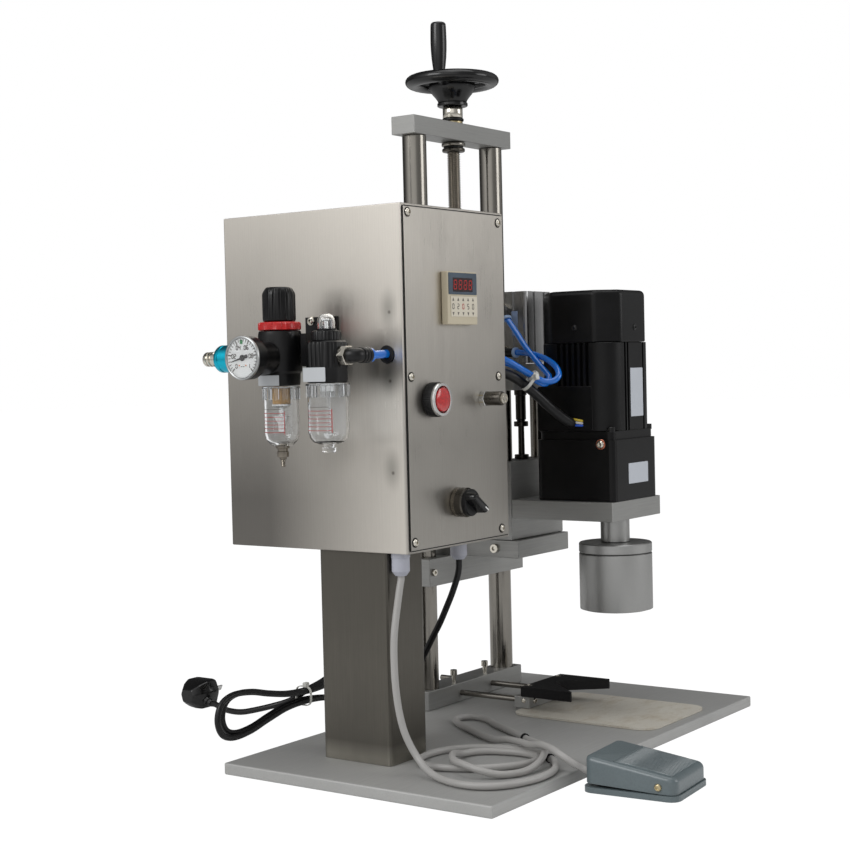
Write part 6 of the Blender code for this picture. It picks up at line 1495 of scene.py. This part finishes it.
class CAPPING_OT_shut_off(bpy.types.Operator):
    """Make the inlet: the nickel body with its ribbed end and the sliding blue sleeve"""
    bl_idname = "capping.shut_off"
    bl_label = "Inlet shut-off"

    def execute(self, context):
        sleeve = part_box("shutoff_sleeve")
        shift = sleeve[0].y - 0.0108
        at = (AIR_X, shift, AIR_Z)
        start, end = -30.2 - shift * 1000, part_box("shutoff_body")[1].y * 1000 - shift * 1000
        body = turned(mm(
            (0, start), (6.9, start), (7, -4), (10.2, -3.2), (10.5, -2.8), (10.5, 2.4), (10.1, 2.8), (7, 3.4),
            (7, 34), (6.2, 34.6), (6.2, end - 12), (7, end - 11.2), (7, end - 9.4), (5.6, end - 8.8),
            (5.6, end - 7.6), (6.8, end - 7), (6.8, end - 5.4), (5.6, end - 4.8), (5.6, end - 3.6), (6.6, end - 3),
            (6.6, end - 0.8), (6.2, end), (0, end),
        ), at, BACK, 72)
        hexed = turned(mm((6, 3.2), (9.2, 3.2), (9.2, 9.8), (6, 9.8)), at, BACK, 36, hexagon, ring=True)
        piece("inlet_body", "frame", each([body, hexed], finish("nickel")), ("shutoff_body",))
        sleeve = turned(mm(
            (9.5, 10.9), (11.6, 10.9), (12.4, 11.6), (12.5, 12.4), (12.5, 15), (11.8, 15.6), (11.8, 16.6),
            (12.5, 17.2), (12.5, 26), (11.8, 26.6), (11.8, 27.6), (12.5, 28.2), (12.5, 31), (11.9, 32.2), (7.05, 32.2),
            (7.05, 18.4), (9.5, 18),
        ), at, BACK, 96, flutes(30, 0.04, 0.0174, 0.0258), ring=True)
        piece("inlet_sleeve", "shutoff", [(sleeve, finish("sleeve"))], ("shutoff_sleeve",))
        return {"FINISHED"}


# ---------------------------------------------------------------- panel

class CAPPING_OT_controls(bpy.types.Operator):
    """Make the start button, the selector, the throttle and the timer's face"""
    bl_idname = "capping.controls"
    bl_label = "Panel controls"

    def execute(self, context):
        self.button()
        self.selector()
        self.throttle()
        self.timer()
        return {"FINISHED"}

    def button(self):
        x, z = BUTTON_AT
        at = (x, PANEL_Y, z)
        low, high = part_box("button_bezel")
        deep = high.y - PANEL_Y
        front = PANEL_Y - low.y
        barrel = turned([
            (0.0062, -deep), (0.0109, -deep), (0.0109, 0), (0.0150, 0.0001), (0.0156, 0.0008), (0.0156, 0.0085),
            (0.0150, 0.0095), (0.0106, 0.0097), (0.0106, 0.0086), (0.0062, 0.0086),
        ], at, FRONT, 192, flutes(48, 0.03, 0.0012, 0.0086), ring=True)
        ring = turned([
            (0.0110, 0.0090), (0.0150, 0.0090), (0.0152, front - 0.0010), (0.0146, front), (0.0124, front + 0.0002),
            (0.0112, front - 0.0016),
        ], at, FRONT, 96, ring=True)
        piece("button_bezel_ring", "frame", [(barrel, finish("satin black")), (ring, finish("silver"))],
              ("button_bezel",))
        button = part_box("button_lens")
        top = PANEL_Y - button[0].y
        back = PANEL_Y - button[1].y
        cap = turned([
            (0, back), (0.0104, back), (0.0107, back + 0.0004), (0.0107, top - 0.0014), (0.0102, top - 0.0007),
            (0.0084, top - 0.0001), (0.0040, top), (0, top),
        ], at, FRONT, 96)
        piece("button_lens_cap", "button", [(cap, finish("red lens"))], ("button_lens",))

    def selector(self):
        x, z = SELECTOR_AT
        at = (x, PANEL_Y, z)
        ring = turned([
            (0.0090, 0.0001), (0.0132, 0.0001), (0.0136, 0.0006), (0.0136, 0.0040), (0.0130, 0.0048),
            (0.0130, 0.0106), (0.0124, 0.0114), (0.0126, 0.0115), (0.0090, 0.0115),
        ], at, FRONT, 96, ring=True)
        piece("selector_chrome_ring", "frame", [(ring, finish("thread"))])
        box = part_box("selector_knob")
        top, back = PANEL_Y - box[0].y, 0.0117
        turn = radians(-35)
        along = (cos(turn), 0, sin(turn))
        disc = turned([
            (0, back), (0.0122, back), (0.0124, back + 0.0004), (0.0124, back + 0.0038), (0.0116, back + 0.0048),
            (0, back + 0.0050),
        ], at, FRONT, 72)
        levels = [
            (back + 0.0045, 0.0), (top - 0.0030, 0.0004), (top - 0.0012, 0.0009), (top - 0.0002, 0.0020),
            (top, 0.0030),
        ]
        outline = rectangle(0.0285, 0.0086, 0.0040, 8)
        lever = loft([(inset(outline, drawn), level) for level, drawn in levels], at, FRONT, along)
        mark = plate((x + 0.0098 * along[0], PANEL_Y - top - 0.00002, z + 0.0098 * along[2]), FRONT, along,
                     0.0060, 0.0013, 0.00015)
        piece("selector_pointer", "selector", [
            (disc, finish("satin black")), (lever, finish("gloss black")), (mark, finish("white print")),
        ], ("selector_knob",), crease=26)

    def throttle(self):
        x, z = THROTTLE_AT
        at = (x, PANEL_Y, z)
        nut = turned(mm((0, 0.1), (7.6, 0.1), (7.8, 0.5), (7.8, 5.0), (7.4, 5.4), (0, 5.4)), at, FRONT, 36,
                     hexagon)
        piece("throttle_nut", "frame", [(nut, finish("silver"))])
        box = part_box("throttle_knob")
        top, back = PANEL_Y - box[0].y, PANEL_Y - box[1].y
        knob = turned([
            (0, back), (0.0058, back), (0.0065, back + 0.0006), (0.0066, top - 0.0036), (0.0060, top - 0.0026),
            (0, top - 0.0026),
        ], at, FRONT, 144, flutes(18, 0.10, back + 0.0008, top - 0.0040))
        end = turned([
            (0, top - 0.0028), (0.0050, top - 0.0028), (0.0050, top - 0.0004), (0.0046, top), (0.0036, top),
            (0.0034, top - 0.0006), (0.0024, top - 0.0006), (0.0022, top - 0.0001), (0, top - 0.0001),
        ], at, FRONT, 72)
        piece("throttle_turned_knob", "throttle", [(knob, finish("dark steel")), (end, finish("nickel"))],
              ("throttle_knob",))

    def timer(self):
        """Window, display and keys on the timer's front: all lie on its face and ride with it."""
        low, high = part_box("timer_case")
        y = low.y - 0.0001
        left, right = -0.2462, -0.1982
        parts = []

        def on(x0, x1, z0, z1, thick, look, radius=0.0):
            parts.append((plate(((x0 + x1) / 2, y, (z0 + z1) / 2), FRONT, RIGHT, x1 - x0, z1 - z0, thick, radius),
                          finish(look)))
        on(left + 0.0012, right - 0.0012, 0.4340, high.z - 0.0012, 0.0004, "timer window", 0.0008)
        on(-0.2384, -0.2064, 0.4366, 0.4492, 0.0006, "display", 0.0004)
        on(-0.2417, -0.1990, 0.4139, 0.4324, 0.0004, "timer keys", 0.0006)
        for k in range(4):
            spot = (-0.2346 + 0.0081 * k, y - 0.0006, 0.4429)
            parts.extend(each(digit("8", spot, FRONT, RIGHT, 0.0078, 0.0010, 0.12), finish("digits")))
        for k in range(5):
            x = -0.2382 + 0.0080 * k
            look = "red print" if k == 2 else "print"
            figure = digit("02050"[k], (x, y - 0.0004, 0.4232), FRONT, RIGHT, 0.0044, 0.0008)
            parts.extend(each(figure, finish(look)))
            for z, tip in ((0.4294, UP), (0.4168, DOWN)):
                parts.append((arrow((x, y - 0.0004, z), FRONT, tip, 0.0030), finish("print")))
        piece("timer_face", "frame", parts)


# ---------------------------------------------------------------- pedal, marks and finishes

class CAPPING_OT_pedal(bpy.types.Operator):
    """Make the pedal's tread: a rounded shell that slopes to its front, with ribs and a notch for its cord"""
    bl_idname = "capping.pedal"
    bl_label = "Pedal tread"

    def execute(self, context):
        turn = PEDAL_TURN
        across = (cos(turn), sin(turn), 0)
        at = np.array((*PEDAL_AT, 0))
        frame_rows = basis(UP, across)
        wide, long, front_top, back_top, wall = 0.0704, 0.0844, 0.0195, 0.0320, 0.0022
        outline = self.dense(rectangle(wide, long, 0.0075, 10), 0.0012)

        def level_top(flat, less=0.0):
            share = np.clip(flat[:, 1] / long + 0.5, 0, 1)
            return front_top + (back_top - front_top) * share - less
        notch_x, notch_half, notch_top = -0.0130, 0.0052, 0.0190
        rim_low, rim_slope, pivot_y, edge = 0.0054, 0.0385, -0.029, 0.0046
        notch = (np.abs(outline[:, 0] - notch_x) < notch_half) & (outline[:, 1] > 0)
        rim = np.where(notch, notch_top, rim_low + rim_slope * np.clip(outline[:, 1] - pivot_y, 0, 1))
        inner = inset(outline, wall)
        sections = []
        for drawn, less in ((0.012, wall), (0.0030, wall), (0.0006, wall + 0.0016), (0.0, wall + 0.0040)):
            flat = inset(inner, drawn)
            sections.append((flat, level_top(flat, less)))
        sections += [(inner, rim), (outline, rim)]
        for k in range(8):
            lean = pi / 2 * k / 7
            flat = inset(outline, edge * (1 - cos(lean)))
            sections.append((flat, level_top(flat, edge * (1 - sin(lean)))))
        shell = loft(sections, at, UP, across)
        ribs = []
        slope = (back_top - front_top) / long
        rib_count, rib_pitch = 19, 0.0031
        start, end = -0.0365, 0.0135
        start_z = front_top + slope * (start + long / 2)
        section = mm((-0.85, -0.3), (0.85, -0.3), (0.45, 1.05), (-0.45, 1.05))
        for k in range(rib_count):
            x = rib_pitch * k - 0.0279
            bars = []
            for share in np.linspace(0, 1, 6):
                y = start + (end - start) * share
                tall = 1.0 if 0 < share < 1 else 0.2
                height = start_z + slope * (y - start) + section[:, 1] * tall
                bars.append(np.column_stack([x + section[:, 0], np.full(4, y), height]))
            ribs.append(skin(np.array(bars) @ frame_rows + at))
        step_y = 0.0160
        step_z = front_top + slope * (step_y + long / 2)
        ridge_rows = []
        for x in np.linspace(-0.0310, 0.0310, 5):
            ridge_rows.append(np.column_stack([
                np.full(4, x), step_y + np.array((-0.0009, 0.0009, 0.0005, -0.0005)),
                step_z + np.array((-0.0002, -0.0002, 0.0005, 0.0005)),
            ]))
        ridge = skin(np.array(ridge_rows) @ frame_rows + at)
        paint = finish("pedal")
        piece("pedal_tread_shell", "tread", each([shell, *ribs, ridge], paint), ("pedal_tread",),
              crease=40)
        bolt = moved(at, frame_rows[0] * -0.0353 + frame_rows[1] * -0.0262 + (0, 0, 0.0112))
        other = moved(at, frame_rows[0] * 0.0353 + frame_rows[1] * -0.0262 + (0, 0, 0.0112))
        left, right = tuple(-frame_rows[0]), tuple(frame_rows[0])
        heads = [dome_screw(bolt, left, 0.0033, 0.0020), dome_screw(other, right, 0.0033, 0.0020)]
        piece("pedal_pivot_heads", "tread", each(heads, finish("brass")))
        return {"FINISHED"}

    def dense(self, outline, spacing):
        """The outline with its points evenly spaced."""
        closed = np.vstack([outline, outline[:1]])
        along = np.concatenate([[0], np.cumsum(np.linalg.norm(np.diff(closed, axis=0), axis=1))])
        even = np.linspace(0, along[-1], round(along[-1] / spacing), endpoint=False)
        return np.stack([np.interp(even, along, closed[:, k]) for k in range(2)], -1)


class CAPPING_OT_marks(bpy.types.Operator):
    """Set the bare labels on the air unit and the cylinder"""
    bl_idname = "capping.marks"
    bl_label = "Bare labels"

    def execute(self, context):
        oiler = plate((AIR_X - 0.0181, -0.1000, 0.3646), LEFT, BACK, 0.0248, 0.0124, 0.0006, 0.0010)
        strip = plate((AIR_X - 0.0176, FILTER_Y - 0.0010, 0.3602), LEFT, BACK, 0.0240, 0.0092, 0.0006, 0.0006)
        piece("air_unit_labels", "frame", [(oiler, finish("pale label")), (strip, finish("pale label"))])
        cylinder = plate((-0.0251, -0.0888, 0.4113), LEFT, BACK, 0.0073, 0.0258, 0.0002, 0.0004)
        piece("cylinder_label", "elevator", [(cylinder, finish("blue label"))])
        return {"FINISHED"}


NODE_LOOKS = {
    "stainless": ("cabinet_shell", "front_panel"),
    "column": ("column",),
    "plate": ("base_plate",),
    "aluminium": (
        "base_block", "top_bar", "elevator_bar", "elevator_plate", "slide_block", "motor_plate", "v_carrier",
        "cylinder_mount",
    ),
    "extrusion": ("cylinder_body",),
    "motor paint": ("gearbox", "fan_cover"),
    "unit black": ("air_bracket",),
    "block resin": ("v_block", "solenoid_valve"),
    "pad": ("bottle_pad",),
    "timer": ("timer_case",),
    "dark steel": ("selector_bezel",),
    "brass": ("throttle_body",),
    "pedal": ("pedal_base",),
    "gland": ("pedal_cable_gland", "mains_cable_gland"),
}


class CAPPING_OT_finishes(bpy.types.Operator):
    """Give each part of the frame that is shown its finish"""
    bl_idname = "capping.finishes"
    bl_label = "Frame finishes"

    def execute(self, context):
        for look, nodes in NODE_LOOKS.items():
            for node in nodes:
                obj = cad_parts[node]
                obj.data.materials.clear()
                obj.data.materials.append(finish(look))
        bare = [
            name for name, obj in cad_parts.items()
            if not obj.hide_render and not any(name in nodes for nodes in NODE_LOOKS.values())
        ]
        if bare:
            raise RuntimeError(f"no finish for {bare}")
        return {"FINISHED"}


# ---------------------------------------------------------------- stage

class CAPPING_OT_stage(bpy.types.Operator):
    """Set the floor, the lamps, the world and the camera"""
    bl_idname = "capping.stage"
    bl_label = "Stage and camera"

    def execute(self, context):
        _, _, _, studio = settings()
        scene = context.scene
        scene.view_settings.view_transform = "Standard"
        self.camera(scene)
        self.world(scene, studio)
        self.floor(studio)
        self.lamp("key_lamp", studio.key, 1.3, (-2.2, 0.5, 1.7), (-0.05, -0.05, 0.3))
        self.lamp("fill_lamp", studio.fill, 1.2, (0.9, -2.3, 1.1), (-0.05, -0.1, 0.3))
        self.lamp("top_lamp", studio.top, 1.4, (-0.1, -0.3, 2.3), (-0.05, -0.1, 0.0))
        return {"FINISHED"}

    def camera(self, scene):
        """The camera looks along minus its back, which is (sin a cos e, -cos a cos e, sin e), and is then rolled."""
        a, e, r = CAMERA_AZIMUTH, CAMERA_RISE, CAMERA_ROLL
        back = Vector((sin(a) * cos(e), -cos(a) * cos(e), sin(e)))
        right = Vector(UP).cross(back).normalized()
        up = back.cross(right)
        image_right = right * cos(r) + up * sin(r)
        image_up = up * cos(r) - right * sin(r)
        data = bpy.data.cameras.new("camera")
        data.sensor_width = SENSOR
        data.lens = SENSOR * CAMERA_FOCUS / IMAGE_SIDE
        data.clip_start, data.clip_end = 0.05, 50
        camera = bpy.data.objects.new("camera", data)
        turn = Matrix((image_right, image_up, back)).transposed()
        camera.matrix_world = Matrix.Translation(CAMERA_AT) @ turn.to_4x4()
        scene.collection.objects.link(camera)
        scene.camera = camera

    def lamp(self, name, power, size, at, toward):
        data = bpy.data.lights.new(name, "AREA")
        data.energy, data.size = power, size
        lamp = bpy.data.objects.new(name, data)
        aim = (Vector(toward) - Vector(at)).to_track_quat("-Z", "Y")
        lamp.matrix_world = Matrix.Translation(at) @ aim.to_matrix().to_4x4()
        bpy.context.scene.collection.objects.link(lamp)

    def world(self, scene, studio):
        """White behind the machine and through glass, even light on it, and for metal a room whose brightness
        changes with the compass direction and fades towards the ground."""
        world = bpy.data.worlds.new("studio")
        world.use_nodes = True
        scene.world = world
        nodes, links = world.node_tree.nodes, world.node_tree.links
        nodes.clear()
        out = nodes.new("ShaderNodeOutputWorld")
        rays = nodes.new("ShaderNodeLightPath")
        place = nodes.new("ShaderNodeTexCoord")
        split = nodes.new("ShaderNodeSeparateXYZ")
        links.new(place.outputs["Generated"], split.inputs[0])
        compass = nodes.new("ShaderNodeMath")
        compass.operation = "ARCTAN2"
        links.new(split.outputs["Y"], compass.inputs[0])
        links.new(split.outputs["X"], compass.inputs[1])
        turn = nodes.new("ShaderNodeMapRange")
        for key, value in {"From Min": -pi, "From Max": pi, "To Min": 0.0, "To Max": 1.0}.items():
            turn.inputs[key].default_value = value
        links.new(compass.outputs[0], turn.inputs["Value"])
        ramp = nodes.new("ShaderNodeValToRGB")
        links.new(turn.outputs[0], ramp.inputs[0])
        room = self.room()
        elements = ramp.color_ramp.elements
        while len(elements) < len(room):
            elements.new(0.5)
        for element, (share, bright) in zip(elements, room):
            element.position = share
            element.color = (bright / 1.2, bright / 1.2, bright / 1.2, 1)
        fade = nodes.new("ShaderNodeMapRange")
        for key, value in {"From Min": -0.5, "From Max": 0.15, "To Min": 0.35, "To Max": 1.2}.items():
            fade.inputs[key].default_value = value
        links.new(split.outputs["Z"], fade.inputs["Value"])
        banded = self.math(nodes, links, "MULTIPLY", ramp.outputs[0], fade.outputs[0])
        glossy = self.math(nodes, links, "MULTIPLY", banded, rays.outputs["Is Glossy Ray"])
        clear = self.math(nodes, links, "MAXIMUM", *self.clear_rays(rays))
        rest = self.math(nodes, links, "MULTIPLY", rays.outputs["Is Diffuse Ray"], studio.ambient)
        total = self.math(nodes, links, "ADD", self.math(nodes, links, "MAXIMUM", clear, glossy), rest)
        light = nodes.new("ShaderNodeBackground")
        light.inputs["Color"].default_value = (1, 1, 1, 1)
        links.new(total, light.inputs["Strength"])
        links.new(light.outputs[0], out.inputs["Surface"])

    def clear_rays(self, rays):
        """The rays that see a thing as it is: the camera's own, and those that have come through glass."""
        return rays.outputs["Is Camera Ray"], rays.outputs["Is Transmission Ray"]

    def math(self, nodes, links, operation, first, second):
        node = nodes.new("ShaderNodeMath")
        node.operation = operation
        for socket, value in zip(node.inputs, (first, second)):
            if isinstance(value, bpy.types.NodeSocket):
                links.new(value, socket)
            else:
                socket.default_value = value
        return node.outputs[0]

    def room(self):
        """Brightness by compass direction, as (share of a turn from minus X through minus Y, brightness)."""
        toward = np.degrees(np.arctan2(CAMERA_AT[1], CAMERA_AT[0]))
        bands = [
            (-180, 0.05), (-115, 0.10), (-92, 0.45), (-72, 0.95), (-52, 1.15), (-46, 0.45), (-40, 0.55), (-32, 1.10),
            (-12, 1.20), (8, 1.00), (20, 0.50), (45, 0.36), (62, 0.38), (85, 0.55), (118, 0.50), (140, 0.16),
            (179, 0.05),
        ]
        placed = sorted((((toward + turn + 180) % 360) / 360, bright) for turn, bright in bands)
        first, last = placed[0], placed[-1]
        ends = (first[1] + last[1]) / 2
        return [(0.0, ends), *placed, (1.0, ends)]

    def floor(self, studio):
        """A pale plane just under the base. Seen straight on it is mixed with its own light, so that it meets the
        white behind it and still takes the machine's shadow."""
        material = bpy.data.materials.new("pale floor")
        material.use_nodes = True
        nodes, links = material.node_tree.nodes, material.node_tree.links
        nodes.clear()
        out = nodes.new("ShaderNodeOutputMaterial")
        rays = nodes.new("ShaderNodeLightPath")
        matt = nodes.new("ShaderNodeBsdfDiffuse")
        matt.inputs["Color"].default_value = (*studio.floor, 1)
        glow = nodes.new("ShaderNodeEmission")
        glow.inputs["Color"].default_value = (1, 1, 1, 1)
        glow.inputs["Strength"].default_value = FLOOR_GLOW
        blend = nodes.new("ShaderNodeMixShader")
        seen = self.math(nodes, links, "MAXIMUM", *self.clear_rays(rays))
        share = self.math(nodes, links, "MULTIPLY", seen, FLOOR_SHARE)
        links.new(share, blend.inputs[0])
        links.new(matt.outputs[0], blend.inputs[1])
        links.new(glow.outputs[0], blend.inputs[2])
        links.new(blend.outputs[0], out.inputs["Surface"])
        mesh = bpy.data.meshes.new("floor")
        corners = [(x * FLOOR_HALF, y * FLOOR_HALF, FLOOR_Z) for x, y in ((-1, -1), (1, -1), (1, 1), (-1, 1))]
        mesh.from_pydata(corners, [], [(0, 1, 2, 3)])
        mesh.materials.append(material)
        floor = bpy.data.objects.new("floor", mesh)
        bpy.context.scene.collection.objects.link(floor)


# ---------------------------------------------------------------- panel in the sidebar, and the run

PIECES = (
    CAPPING_OT_mains_lead, CAPPING_OT_pedal_cord, CAPPING_OT_air_hoses, CAPPING_OT_handwheel, CAPPING_OT_posts,
    CAPPING_OT_chuck, CAPPING_OT_motor, CAPPING_OT_fasteners, CAPPING_OT_regulator, CAPPING_OT_oiler,
    CAPPING_OT_gauge, CAPPING_OT_shut_off, CAPPING_OT_controls, CAPPING_OT_pedal, CAPPING_OT_marks,
    CAPPING_OT_finishes,
)


class CAPPING_PT_looks(bpy.types.Panel):
    """Settings and steps of the capping machine's looks"""
    bl_idname = "CAPPING_PT_looks"
    bl_label = "Capping machine"
    bl_space_type = "VIEW_3D"
    bl_region_type = "UI"
    bl_category = "Capping machine"

    def draw(self, context):
        for group in settings():
            box = self.layout.box()
            box.label(text=group.bl_rna.description or group.bl_rna.name)
            for name in group.__annotations__:
                box.prop(group, name)
        column = self.layout.column(align=True)
        for operator in (CAPPING_OT_stage, *PIECES):
            column.operator(operator.bl_idname)


SETTINGS = {
    "capping_metals": MetalSettings, "capping_plastics": PlasticSettings, "capping_details": DetailSettings,
    "capping_studio": StudioSettings,
}
CLASSES = (*SETTINGS.values(), CAPPING_OT_stage, *PIECES, CAPPING_PT_looks)


def register():
    for cls in CLASSES:
        bpy.utils.register_class(cls)
    for name, group in SETTINGS.items():
        setattr(bpy.types.Scene, name, bpy.props.PointerProperty(type=group))


def unregister():
    for name in SETTINGS:
        delattr(bpy.types.Scene, name)
    for cls in reversed(CLASSES):
        bpy.utils.unregister_class(cls)


def main():
    register()
    for operator in (CAPPING_OT_stage, *PIECES):
        getattr(bpy.ops.capping, operator.bl_idname.split(".")[1])()


if __name__ == "__main__":
    main()
